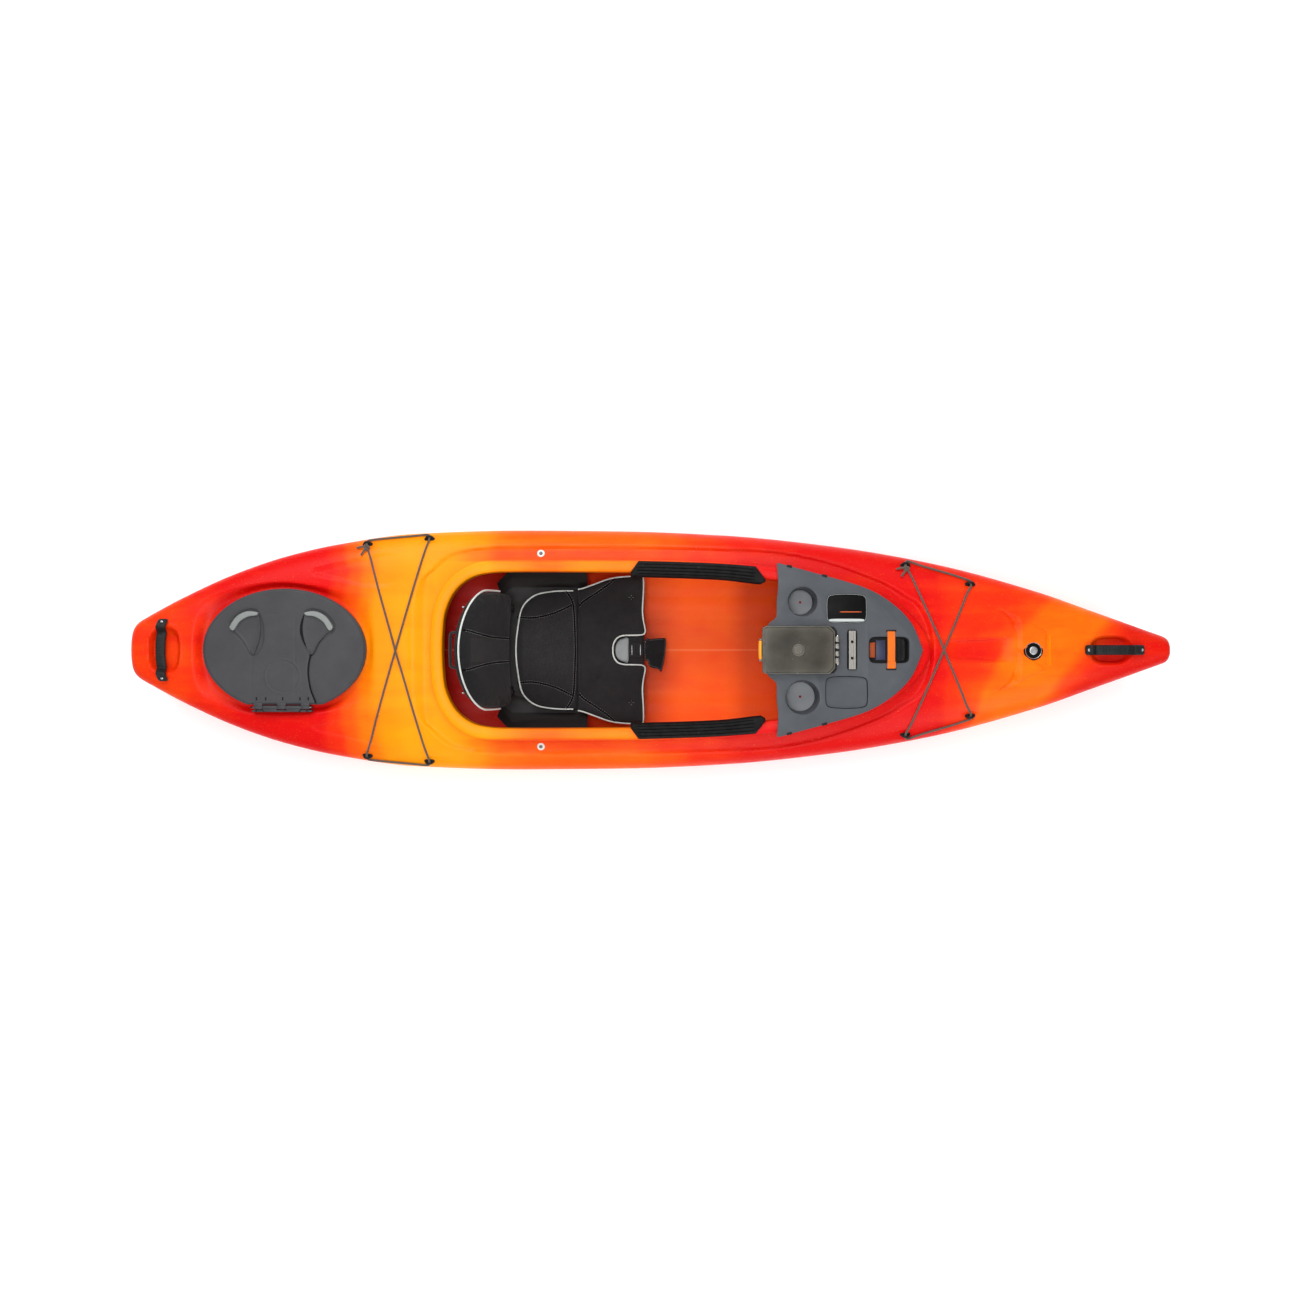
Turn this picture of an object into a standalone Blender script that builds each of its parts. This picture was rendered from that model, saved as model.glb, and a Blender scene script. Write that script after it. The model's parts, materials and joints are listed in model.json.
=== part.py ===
"""A recreational sit-in kayak: a rotomoulded shell with a cockpit coaming and a hinged stern hatch,
a reclining seat with a leg lift, foot braces, a lift-off console with a hinged dry box, and deck rigging.
+X is the bow, +Y is port and +Z is up. The origin is under the middle of the keel. All sizes are metres."""

import math

import bmesh
import bpy
import numpy as np
from mathutils import Matrix, Vector

# ---- Driving dimensions -------------------------------------------------------------------------
HALF_LENGTH = 1.600
WALL = 0.0042
GAP = 0.0003  # between pieces that touch
SEAT_GAP = 0.0004  # between the curved deck and what is screwed to it

# (station, value) pairs along X; each becomes a smooth curve
HALF_BEAM = ((-1.60, 0.075), (-1.44, 0.163), (-1.28, 0.237), (-1.12, 0.292), (-0.96, 0.329),
             (-0.72, 0.362), (-0.40, 0.372), (-0.08, 0.369), (0.24, 0.355), (0.56, 0.322),
             (0.88, 0.266), (1.20, 0.178), (1.36, 0.121), (1.60, 0.034))
KEEL = ((-1.60, 0.100), (-1.45, 0.045), (-1.20, 0.010), (-1.00, 0.0), (0.85, 0.0),
        (1.15, 0.012), (1.38, 0.050), (1.52, 0.105), (1.60, 0.165))
SHEER = ((-1.60, 0.215), (-1.00, 0.200), (-0.30, 0.200), (0.40, 0.222), (1.00, 0.262), (1.60, 0.290))
CROWN = ((-1.60, 0.262), (-1.30, 0.271), (-0.80, 0.284), (-0.30, 0.300), (0.35, 0.334),
         (0.80, 0.342), (1.20, 0.345), (1.60, 0.334))
HULL_FULLNESS = ((-1.60, 2.0), (-0.90, 2.7), (0.60, 2.7), (1.60, 1.7))
DECK_FULLNESS = ((-1.60, 2.4), (-0.70, 2.8), (0.20, 3.0), (0.90, 2.5), (1.60, 2.0))
KEEL_PAD_SHARE = 0.16  # flat keel strip's half width, as a share of the half beam
STERN_ROUND, STERN_POWER = 0.050, 4
BOW_ROUND, BOW_POWER = 0.025, 3

# Half of the coaming lip's centre line, stern to bow, and the lip's height along the boat
COAMING = ((-0.645, 0.0), (-0.643, 0.060), (-0.636, 0.118), (-0.613, 0.175), (-0.580, 0.215),
           (-0.535, 0.243), (-0.480, 0.256), (-0.400, 0.259), (-0.200, 0.2585), (0.0, 0.2555),
           (0.200, 0.248), (0.350, 0.2355), (0.450, 0.222), (0.550, 0.202), (0.650, 0.173),
           (0.730, 0.135), (0.790, 0.088), (0.826, 0.040), (0.838, 0.0))
LIP_HEIGHT = ((-0.66, 0.300), (-0.30, 0.302), (0.10, 0.322), (0.36, 0.350), (0.45, 0.354), (0.86, 0.354))
LIP_HALF_WIDTH, LIP_THICK, RISER = 0.019, 0.005, 0.045

HATCH_X, HATCH_RECESS = -1.112, 0.018
RECESS_X, RECESS_HALF_LENGTH, RECESS_HALF_WIDTH, RECESS_EDGE = -1.118, 0.290, 0.222, 0.018
HATCH_MOUTH = (0.222, 0.160, -0.140)  # half length, half width, straight side's Y
HATCH_LID = (0.250, 0.188, -0.167)
RIM_TOP, LID_UNDER, LID_TOP = 0.276, 0.281, 0.289
HATCH_AXIS = Vector((-1.120, -0.176, 0.285))
LATCH_PIVOTS = {"aft": -1.209, "forward": -1.028}  # X of each latch's shaft
LATCH_Y = -0.003

PLATE_TOP = 0.3655  # console's upper face
PLATE = 0.004
PLATE_SKIRT = 0.3550  # lower edge of its turned-down rim, which rests on the lip

SEAT_PAN_Z = 0.078
LEG_HINGE = Vector((-0.2205, 0.0, 0.102))
BACK_PIVOT = Vector((-0.440, 0.0, 0.118))
BACK_LEAN = math.radians(-23)  # the back's lean towards the stern at rest


# ---- Curves -------------------------------------------------------------------------------------
def along(points, x):
    """Height at x of the smooth curve through the points, which never overshoots them."""
    xs, ys = np.array(points, float).T
    secant = np.diff(ys) / np.diff(xs)
    slope = np.concatenate([secant[:1], np.zeros(len(xs) - 2), secant[-1:]])
    both = secant[:-1] * secant[1:]
    same = both > 0
    slope[1:-1][same] = 2 * both[same] / (secant[:-1] + secant[1:])[same]
    x = np.clip(x, xs[0], xs[-1])
    i = np.clip(np.searchsorted(xs, x) - 1, 0, len(xs) - 2)
    h = xs[i + 1] - xs[i]
    t = (x - xs[i]) / h
    return ((1 + 2 * t) * (1 - t) ** 2 * ys[i] + t * (1 - t) ** 2 * h * slope[i]
            + t * t * (3 - 2 * t) * ys[i + 1] + t * t * (t - 1) * h * slope[i + 1])


def ramp(t):
    t = np.clip(t, 0, 1)
    return t * t * (3 - 2 * t)


def through(points, per_span, closed=False):
    """Points on a smooth curve through the given ones."""
    p = np.array(points, float)
    n = len(p)
    spans = n if closed else n - 1
    found = []
    for i in range(spans):
        a, b, c, d = (p[j % n] if closed else p[min(max(j, 0), n - 1)] for j in range(i - 1, i + 3))
        for t in np.arange(per_span) / per_span:
            found.append(0.5 * (2 * b + (c - a) * t + (2 * a - 5 * b + 4 * c - d) * t * t
                                + (3 * b - a - 3 * c + d) * t ** 3))
    if not closed:
        found.append(p[-1])
    return np.array(found)


def evenly(points, count, closed=False):
    """The line through the points again, as count points the same distance apart."""
    p = np.vstack([points, points[:1]]) if closed else np.array(points)
    s = np.concatenate([[0], np.cumsum(np.linalg.norm(np.diff(p, axis=0), axis=1))])
    at = np.linspace(0, s[-1], count + 1)[:-1] if closed else np.linspace(0, s[-1], count)
    return np.stack([np.interp(at, s, p[:, k]) for k in range(p.shape[1])], axis=1)


def coaming_line(count):
    """The lip's centre line as a closed loop, anticlockwise from above, with its outward normals."""
    half = [p for p in COAMING]
    loop = [(x, -y) for x, y in half] + [(x, y) for x, y in reversed(half[1:-1])]
    line = evenly(through(loop, 12, closed=True), count, closed=True)
    ahead, behind = np.roll(line, -1, axis=0), np.roll(line, 1, axis=0)
    tangent = ahead - behind
    tangent /= np.linalg.norm(tangent, axis=1)[:, None]
    return line, np.stack([tangent[:, 1], -tangent[:, 0]], axis=1)


def hatch_outline(size, count, grow=0.0):
    """An oval whose starboard side is cut straight for the hinge."""
    a, b, cut = size
    turn = np.arange(count) * math.tau / count
    y = np.maximum((b + grow) * np.sin(turn), cut - grow)
    return np.stack([HATCH_X + (a + grow) * np.cos(turn), y], axis=1)


# ---- Hull form ----------------------------------------------------------------------------------
def deck_height(x, y, sink=0.0):
    """Height of the deck's outer face at (x, y); sink moves it in by the wall."""
    x, y = np.asarray(x, float), np.asarray(y, float)
    sheer, crown, m = along(SHEER, x), along(CROWN, x) - sink, along(DECK_FULLNESS, x)
    share = np.clip(np.abs(y) / (along(HALF_BEAM, x) - sink), 0, 1)
    z = sheer + (crown - sheer) * (1 - share ** m) ** (1 / m)
    off = np.hypot((x - RECESS_X) / RECESS_HALF_LENGTH, y / RECESS_HALF_WIDTH)
    inside = ramp((1 - off) * RECESS_HALF_WIDTH / RECESS_EDGE)
    return z - HATCH_RECESS * inside


def deck_normal(x, y):
    d = 0.004
    dz_dx = float(deck_height(x + d, y) - deck_height(x - d, y)) / (2 * d)
    dz_dy = float(deck_height(x, y + d) - deck_height(x, y - d)) / (2 * d)
    return Vector((-dz_dx, -dz_dy, 1)).normalized()


def end_share(x):
    """How much of the full section is left where the shell rounds off at its two ends."""
    stern = np.clip(1 - (x + HALF_LENGTH) / STERN_ROUND, 0, 1)
    bow = np.clip(1 - (HALF_LENGTH - x) / BOW_ROUND, 0, 1)
    return max(0.42, (1 - stern ** STERN_POWER) ** (1 / STERN_POWER) * (1 - bow ** BOW_POWER) ** (1 / BOW_POWER))


def section(x, inset, deck_steps=8, hull_steps=6):
    """One closed section of the shell, port sheer first, over the deck and back under the keel."""
    beam = float(along(HALF_BEAM, x)) - inset
    keel = float(along(KEEL, x)) + inset
    sheer, n = float(along(SHEER, x)), float(along(HULL_FULLNESS, x))
    m = float(along(DECK_FULLNESS, x))
    pad = KEEL_PAD_SHARE * beam
    points = []
    for j in range(2 * deck_steps + 1):
        turn = j * math.pi / (2 * deck_steps)
        y = beam * math.copysign(abs(math.cos(turn)) ** (2 / m), math.cos(turn))
        points.append((y, float(deck_height(x, y, inset))))
    under = []
    for j in range(hull_steps):
        turn = j * math.pi / (2 * hull_steps)
        under.append((pad + (beam - pad) * math.sin(turn) ** (2 / n),
                      sheer - (sheer - keel) * math.cos(turn) ** (2 / n)))
    points += [(-y, z) for y, z in reversed(under)] + under
    middle, share = (keel + float(along(CROWN, x)) - inset) / 2, end_share(x)
    return [(x, y * share, middle + (z - middle) * share) for y, z in points]


def stations(inset):
    """Stations along the boat, closer together where the form changes quickly."""
    first, last = -HALF_LENGTH + inset, HALF_LENGTH - inset
    stern = first + np.array([0, 0.003, 0.010, 0.022, 0.045])
    bow = last - np.array([0.024, 0.012, 0.004, 0])
    hatch = np.linspace(-1.49, -0.80, 16)
    rest = np.linspace(-0.66, 1.46, 19)
    return np.concatenate([stern, hatch, rest, [1.53], bow])


# ---- Mesh tools ---------------------------------------------------------------------------------
def paint(name, colour, roughness, metallic=0.0):
    made = bpy.data.materials.get(name) or bpy.data.materials.new(name)
    made.use_nodes = True
    shader = made.node_tree.nodes["Principled BSDF"]
    shader.inputs["Base Color"].default_value = (*colour, 1)
    shader.inputs["Roughness"].default_value = roughness
    shader.inputs["Metallic"].default_value = metallic
    return made


ORANGE = paint("hull_plastic", (0.85, 0.12, 0.01), 0.35)
GREY = paint("console_plastic", (0.09, 0.095, 0.105), 0.5)
DARK = paint("dark_plastic", (0.02, 0.02, 0.022), 0.55)
LID_GREY = paint("hatch_plastic", (0.055, 0.055, 0.06), 0.55)
RUBBER = paint("rubber", (0.015, 0.015, 0.015), 0.8)
FABRIC = paint("seat_fabric", (0.02, 0.02, 0.022), 0.9)
FOAM = paint("foam", (0.03, 0.03, 0.03), 0.95)
CORD = paint("bungee_cord", (0.05, 0.04, 0.035), 0.9)
STEEL = paint("steel", (0.6, 0.6, 0.62), 0.3, 1.0)
ALUMINIUM = paint("aluminium", (0.45, 0.44, 0.42), 0.4, 1.0)
SMOKE = paint("smoke_lid", (0.16, 0.15, 0.13), 0.2)
AMBER = paint("latch_orange", (0.9, 0.25, 0.02), 0.4)
STRAP = paint("strap_webbing", (0.9, 0.22, 0.01), 0.8)


def from_bmesh(name, bm, material, smooth=40):
    bmesh.ops.recalc_face_normals(bm, faces=bm.faces)
    mesh = bpy.data.meshes.new(name)
    bm.to_mesh(mesh)
    bm.free()
    mesh.materials.append(material)
    mesh.shade_smooth()
    mesh.set_sharp_from_angle(angle=math.radians(smooth))
    made = bpy.data.objects.new(name, mesh)
    bpy.context.scene.collection.objects.link(made)
    return made


def loft(name, rings, material, closed=False, split=False):
    """A solid skin over rings of points, with flat caps unless the rings run round in a loop. Split cuts
    each face in two, the same way on both sides of the boat, so that nested skins stay parallel."""
    bm = bmesh.new()
    rows = [[bm.verts.new(p) for p in ring] for ring in rings]
    count = len(rows[0])
    pairs = list(zip(rows, rows[1:])) + ([(rows[-1], rows[0])] if closed else [])
    for a, b in pairs:
        for j in range(count):
            k = (j + 1) % count
            if not split:
                bm.faces.new((a[j], a[k], b[k], b[j]))
            elif a[j].co.y + a[k].co.y > 0:
                bm.faces.new((a[j], a[k], b[k]))
                bm.faces.new((a[j], b[k], b[j]))
            else:
                bm.faces.new((a[j], a[k], b[j]))
                bm.faces.new((a[k], b[k], b[j]))
    if not closed:
        bm.faces.new(rows[0])
        bm.faces.new(rows[-1])
    return from_bmesh(name, bm, material)


def prism(name, outline, low, high, material):
    """An upright solid on a plan outline; low and high are heights, or functions of x and y."""
    def height(at, x, y):
        return at(x, y) if callable(at) else at
    rings = [[(x, y, height(at, x, y)) for x, y in outline] for at in (low, high)]
    return loft(name, rings, material)


def box(name, low, high, material, bevel=0.0):
    bm = bmesh.new()
    bmesh.ops.create_cube(bm, size=1)
    low, high = Vector(low), Vector(high)
    bmesh.ops.scale(bm, vec=high - low, verts=bm.verts)
    if bevel:
        bmesh.ops.bevel(bm, geom=bm.edges, offset=bevel, segments=1, affect="EDGES")
    made = from_bmesh(name, bm, material)
    made.location = (low + high) / 2
    bpy.context.view_layer.update()
    return made


def rod(name, start, end, radius, material, sides=12, end_radius=None):
    """A straight round bar, or a cone where end_radius is given."""
    start, end = Vector(start), Vector(end)
    bm = bmesh.new()
    bmesh.ops.create_cone(bm, cap_ends=True, segments=sides, radius1=radius,
                          radius2=radius if end_radius is None else end_radius,
                          depth=(end - start).length)
    made = from_bmesh(name, bm, material)
    made.location = (start + end) / 2
    made.rotation_mode = "QUATERNION"
    made.rotation_quaternion = (end - start).to_track_quat("Z", "Y")
    bpy.context.view_layer.update()
    return made


def rounded(centre, half_x, half_y, power=4.0, count=20):
    """A superellipse outline, from an ellipse at power 2 towards a rectangle."""
    turn = np.arange(count) * math.tau / count
    c, s = np.cos(turn), np.sin(turn)
    return [(centre[0] + half_x * math.copysign(abs(u) ** (2 / power), u),
             centre[1] + half_y * math.copysign(abs(v) ** (2 / power), v)) for u, v in zip(c, s)]


def bake(obj):
    """Applies the object's modifiers and its place, so that its mesh holds world coordinates."""
    bpy.context.view_layer.update()
    graph = bpy.context.evaluated_depsgraph_get()
    mesh = bpy.data.meshes.new_from_object(obj.evaluated_get(graph), depsgraph=graph)
    mesh.transform(obj.matrix_world)
    obj.modifiers.clear()
    obj.data = mesh
    obj.matrix_world = Matrix.Identity(4)
    return obj


def combine(target, tool, operation, keep=False):
    step = target.modifiers.new("combine", "BOOLEAN")
    step.operation, step.object, step.solver = operation, tool, "EXACT"
    bake(target)
    if not keep:
        bpy.data.objects.remove(tool)
    return target


def cut(target, tool, keep=False):
    return combine(target, tool, "DIFFERENCE", keep)


def join(target, tool):
    return combine(target, tool, "UNION")


def copy(obj, name, shift=(0, 0, 0)):
    made = obj.copy()
    made.data = obj.data.copy()
    made.name = name
    made.location = obj.location + Vector(shift)
    bpy.context.scene.collection.objects.link(made)
    bpy.context.view_layer.update()
    return made


def mirrored(obj, name):
    """The same piece on the other side of the boat."""
    made = copy(bake(obj), name)
    made.data.transform(Matrix.Scale(-1, 4, (0, 1, 0)))
    made.data.flip_normals()
    return made


def swept(name, line, profile, material, closed=False, level=True):
    """A profile of (side, up) points carried along a line. Side is to the line's right; up is +Z if level."""
    line = [Vector(p) for p in line]
    n = len(line)
    rings = []
    for i, p in enumerate(line):
        ahead = line[(i + 1) % n] if closed else line[min(i + 1, n - 1)]
        behind = line[i - 1] if closed or i else line[0]
        tangent = (ahead - behind).normalized()
        side = tangent.cross(Vector((0, 0, 1))).normalized()
        up = Vector((0, 0, 1)) if level else side.cross(tangent)
        rings.append([p + side * s + up * u for s, u in profile])
    return loft(name, rings, material, closed)


def tube(name, points, diameter, material, closed=False, resolution=1):
    """A round cord along the points."""
    curve = bpy.data.curves.new(name, "CURVE")
    curve.dimensions = "3D"
    curve.bevel_depth = diameter / 2
    curve.bevel_resolution = resolution
    curve.use_fill_caps = True
    spline = curve.splines.new("POLY")
    spline.points.add(len(points) - 1)
    for point, at in zip(spline.points, points):
        point.co = (*at, 1)
    spline.use_cyclic_u = closed
    curve.materials.append(material)
    path = bpy.data.objects.new(f"{name}_path", curve)
    bpy.context.scene.collection.objects.link(path)
    graph = bpy.context.evaluated_depsgraph_get()
    mesh = bpy.data.meshes.new_from_object(path.evaluated_get(graph), depsgraph=graph)
    made = bpy.data.objects.new(name, mesh)
    bpy.context.scene.collection.objects.link(made)
    bpy.data.objects.remove(path)
    return made


def pivot(name, at, pieces, parent=None):
    """An empty on a joint's axis, which carries the pieces that move with it."""
    empty = bpy.data.objects.new(name, None)
    empty.location = at
    bpy.context.scene.collection.objects.link(empty)
    if parent:
        empty.parent = parent
        bpy.context.view_layer.update()
        empty.matrix_parent_inverse = parent.matrix_world.inverted()
    bpy.context.view_layer.update()
    for piece in pieces:
        piece.parent = empty
        piece.matrix_parent_inverse = empty.matrix_world.inverted()
    return empty


# ---- Shell --------------------------------------------------------------------------------------
def shell_form(name, inset):
    """The hull's form moved in by inset. Everything inside shares one set of stations."""
    return loft(name, [section(x, inset) for x in stations(min(inset, WALL))], ORANGE, split=True)


def coaming_ring():
    """The upstanding riser round the cockpit and the lip that turns outward from its top."""
    line, normal = coaming_line(56)
    w, t = LIP_HALF_WIDTH, LIP_THICK
    profile = ((-w, 0), (0.4 * w, 0.0006), (w, -0.003), (w, -0.003 - t), (-w + t + 0.001, -t), (-w + t, -RISER),
               (-w, -RISER))
    rings = []
    for (x, y), (nx, ny) in zip(line, normal):
        z = float(along(LIP_HEIGHT, x))
        rings.append([(x + nx * s, y + ny * s, z + u) for s, u in profile])
    return loft("coaming_ring", rings, ORANGE, closed=True)


def coaming_outline(offset, count=56):
    line, normal = coaming_line(count)
    return line + normal * offset


def handle_pocket(hull, centre, half_x, half_y, depth):
    """A finger pocket with its own wall, let into the deck under a carry handle."""
    top = float(deck_height(*centre))
    for grow, bottom, lift, operation in ((WALL, depth + WALL, -0.012, "UNION"), (0, depth, 0.05, "DIFFERENCE")):
        wide = rounded(centre, half_x + grow, half_y + grow, 3.0, 16)
        narrow = rounded(centre, 0.75 * half_x + grow, 0.75 * half_y + grow, 3.0, 16)
        block = loft("pocket", [[(x, y, top - bottom) for x, y in narrow],
                                [(x, y, top + lift) for x, y in wide]], ORANGE)
        combine(hull, block, operation)


def build_shell():
    outer = shell_form("outer_form", 0.0)
    core = shell_form("cavity_core", WALL + GAP)
    hull = copy(outer, "hull_shell")
    cut(hull, shell_form("cavity", WALL))
    cut(hull, prism("cockpit_cut", coaming_outline(-0.0165), 0.15, 0.60, ORANGE))
    join(hull, coaming_ring())
    rim = prism("hatch_rim", hatch_outline(HATCH_MOUTH, 32, 0.005), 0.232, RIM_TOP, ORANGE)
    join(hull, rim)
    cut(hull, prism("hatch_cut", hatch_outline(HATCH_MOUTH, 32), 0.20, 0.40, ORANGE))
    handle_pocket(hull, BOW_POCKET, 0.066, 0.045, 0.030)
    handle_pocket(hull, STERN_POCKET, 0.050, 0.074, 0.030)
    for helper in (outer, core):
        helper.hide_render = True
        helper.display_type = "WIRE"
    return hull, outer, core


BOW_POCKET = (1.410, 0.0)
STERN_POCKET = (-1.487, 0.0)


def on_deck(piece, outer):
    """Trims the underside of a piece to the deck's form, a little above it."""
    raised = copy(outer, "raised_form", (0, 0, SEAT_GAP))
    return cut(bake(piece), raised)


# ---- Stern hatch --------------------------------------------------------------------------------
def build_hatch(outer):
    plate = prism("hatch_lid", hatch_outline(HATCH_LID, 40), 0.269, LID_TOP, LID_GREY)
    cut(plate, prism("lid_hollow", hatch_outline(HATCH_LID, 40, -0.005), 0.20, LID_UNDER, LID_GREY))
    x, y, z = HATCH_AXIS
    for offset in (-0.072, 0.0, 0.072):
        lug = box("lug", (x + offset - 0.013, y, z - 0.004), (x + offset + 0.013, y + 0.014, z + 0.003), LID_GREY)
        barrel = rod("barrel", (x + offset - 0.013, y, z), (x + offset + 0.013, y, z), 0.006, LID_GREY)
        join(plate, lug)
        join(plate, barrel)
    cut(plate, rod("bore", (x - 0.12, y, z), (x + 0.12, y, z), 0.0032, LID_GREY))
    for at in LATCH_PIVOTS.values():
        cut(plate, rod("bore", (at, LATCH_Y, 0.25), (at, LATCH_Y, 0.32), 0.0068, LID_GREY))

    leaf = box("hatch_hinge_leaf", (x - 0.092, y - 0.014, 0.230), (x + 0.092, y - 0.0085, z - 0.002), LID_GREY)
    for offset in (-0.036, 0.036):
        barrel = rod("barrel", (x + offset - 0.0215, y, z), (x + offset + 0.0215, y, z), 0.006, LID_GREY)
        web = box("web", (x + offset - 0.0215, y - 0.013, z - 0.005), (x + offset + 0.0215, y, z + 0.002), LID_GREY)
        join(leaf, web)
        join(leaf, barrel)
    cut(leaf, rod("bore", (x - 0.12, y, z), (x + 0.12, y, z), 0.0032, LID_GREY))
    on_deck(leaf, outer)
    pin = rod("hatch_hinge_pin", (x - 0.094, y, z), (x + 0.094, y, z), 0.0026, STEEL)

    inner = hatch_outline(HATCH_MOUTH, 32, 0.0003)
    ring = prism("hatch_gasket", hatch_outline(HATCH_MOUTH, 32, 0.0052), RIM_TOP + GAP, LID_UNDER - GAP, RUBBER)
    cut(ring, prism("gasket_hole", inner, 0.25, 0.30, RUBBER))

    latches = [build_latch(side) for side in LATCH_PIVOTS]
    lid_pivot = pivot("hatch_axis", HATCH_AXIS, [plate])
    for side, latch in zip(LATCH_PIVOTS, latches):
        pivot(f"latch_{side}_axis", (LATCH_PIVOTS[side], LATCH_Y, LID_TOP), [latch], lid_pivot)
    return plate, leaf, pin, ring


def build_latch(side):
    """A sector plate with a grip along its rim, on a shaft through the lid with a cam bar under it."""
    at, mirror = LATCH_PIVOTS[side], (1 if side == "aft" else -1)
    low = LID_TOP + GAP
    corner_a, corner_b = (-0.062, 0.071), (0.010, 0.120)
    rim = [(-0.066, 0.078), (-0.046, 0.106), (-0.018, 0.121)]
    outline = [(0.010, -0.008), (0.019, 0.045), (0.019, 0.085), corner_b, *reversed(rim), corner_a,
               (-0.028, 0.045), (-0.010, 0.0)]
    plate = prism(f"hatch_latch_{side}", [(at + mirror * u, LATCH_Y + v) for u, v in outline], low, low + 0.004, DARK)
    grip_outer = [corner_b, *reversed(rim), (-0.064, 0.068)]
    grip_inner = [(-0.052, 0.064), (-0.036, 0.093), (-0.014, 0.105), (0.008, 0.108)]
    grip = prism("grip", [(at + mirror * u, LATCH_Y + v) for u, v in grip_outer + grip_inner],
                 low + 0.002, low + 0.012, DARK)
    join(plate, grip)
    join(plate, rod("shaft", (at, LATCH_Y, 0.2715), (at, LATCH_Y, low + 0.002), 0.006, DARK))
    cam = box("cam", (at - 0.011, LATCH_Y - 0.011, 0.272), (at + 0.011, LATCH_Y + 0.055, 0.277), DARK)
    return join(plate, cam)


# ---- Deck rigging -------------------------------------------------------------------------------
BOW_EYES = {"aft": (0.790, 0.258), "forward": (0.985, 0.200)}
STERN_EYES = {"forward": (-0.672, 0.343), "aft": (-0.864, 0.326)}
EYE_RADIUS, EYE_BAR = 0.0108, 0.0027
CORD_DIAMETER = 0.006
KNOT_REACH, KNOT_RADIUS = 0.0180, 0.0080  # the knot lies just inboard of the port aft eye
CORD_IN_EYE = 0.0078  # height of the cord's middle over the deck where it runs through an eye


def eye_frame(x, y):
    """Place of a deck eye: origin on the deck, Z along the deck's normal and X along the boat."""
    up = deck_normal(x, y)
    fore = (Vector((1, 0, 0)) - up * up.x).normalized()
    turn = Matrix((fore, up.cross(fore), up)).transposed().to_4x4()
    return Matrix.Translation((x, y, float(deck_height(x, y)))) @ turn


def eye_mesh():
    """A saddle: a base plate with a half hoop that the cord runs through."""
    base = loft("eye", [[(x, y, z) for x, y in rounded((0, 0), 0.018, 0.0070, 3, 10)] for z in (-0.004, 0.0036)], DARK)
    hoop = []
    for j in range(7):
        turn = math.pi * j / 6
        arm = Vector((math.cos(turn), 0, math.sin(turn)))
        centre = arm * EYE_RADIUS + Vector((0, 0, 0.0030))
        hoop.append([centre + arm * EYE_BAR * math.cos(a) + Vector((0, EYE_BAR * 1.3 * math.sin(a), 0))
                     for a in np.arange(6) * math.tau / 6])
    join(base, loft("hoop", hoop, DARK))
    return base


def build_eyes(outer):
    pattern = eye_mesh()
    for end, places in (("bow", BOW_EYES), ("stern", STERN_EYES)):
        for which, (x, y) in places.items():
            for side, sign in (("port", 1), ("starboard", -1)):
                eye = copy(pattern, f"{end}_eye_{which}_{side}")
                eye.matrix_world = eye_frame(x, sign * y)
                on_deck(eye, outer)
    bpy.data.objects.remove(pattern)


def cord_point(x, y, lift):
    return Vector((x, y, float(deck_height(x, y)))) + deck_normal(x, y) * lift


def bungee_route(places, near, far):
    """A closed loop: out through an eye, along the side, in through the next one and across the deck."""
    ends = [(places[near], 1), (places[far], 1), (places[near], -1), (places[far], -1)]
    route = []
    for i, ((x, y), sign) in enumerate(ends):
        across = i in (1, 3)
        (u, v), other = ends[(i + 1) % 4]
        start, end = eye_frame(x, sign * y), eye_frame(u, other * v)
        fore = 1 if u > x else -1
        out, into = 1 if sign > 0 else -1, 1 if other > 0 else -1
        if across:
            steps = np.linspace(0.07, 0.93, 11)
            route += [start @ Vector((0, -out * reach, CORD_IN_EYE)) for reach in (0.0, 0.010)]
            for t in steps:
                rise = (0.0072 if i == 3 else 0.0) * math.exp(-((t - 0.5) / 0.09) ** 2)
                route.append(cord_point(x + (u - x) * t, sign * y + (other * v - sign * y) * t, 0.0046 + rise))
            route += [end @ Vector((0, -into * reach, CORD_IN_EYE)) for reach in (0.010, 0.0)]
        else:
            route += [start @ Vector((fore * a, out * b, CORD_IN_EYE - c)) for a, b, c in ((0.001, 0.0085, 0), (0.010, 0.0125, 0.001))]
            middle = (start @ Vector((0, out * 0.0125, 0)) + end @ Vector((0, into * 0.0125, 0))) / 2
            for t in (0.25, 0.5, 0.75):
                px, py = x + (u - x) * t, sign * (y + (v - y) * t + 0.0115)
                route.append(cord_point(px, py, 0.0046))
            route += [end @ Vector((-fore * a, into * b, CORD_IN_EYE - c)) for a, b, c in ((0.010, 0.0125, 0.001), (0.001, 0.0085, 0))]
    return evenly(through(route, 3, closed=True), 84, closed=True)


def build_bungees():
    for end, places, near, far in (("bow", BOW_EYES, "aft", "forward"), ("stern", STERN_EYES, "aft", "forward")):
        cord = tube(f"{end}_bungee", bungee_route(places, near, far), CORD_DIAMETER, CORD, closed=True)
        x, y = places["aft"]
        knot = eye_frame(x, y) @ Vector((0, -KNOT_REACH, CORD_IN_EYE + 0.001))
        bm = bmesh.new()
        bmesh.ops.create_icosphere(bm, subdivisions=2, radius=KNOT_RADIUS)
        ball = from_bmesh("knot", bm, CORD)
        ball.location = knot
        join(cord, bake(ball))
        for along_x, along_y in ((-0.030, -0.004), (-0.016, -0.026)):
            tip = cord_point(knot.x + along_x, knot.y + along_y, 0.0050)
            tail = tube("tail", [knot, knot.lerp(tip, 0.5) + Vector((0, 0, 0.003)), tip], CORD_DIAMETER, CORD)
            join(cord, tail)


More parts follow.
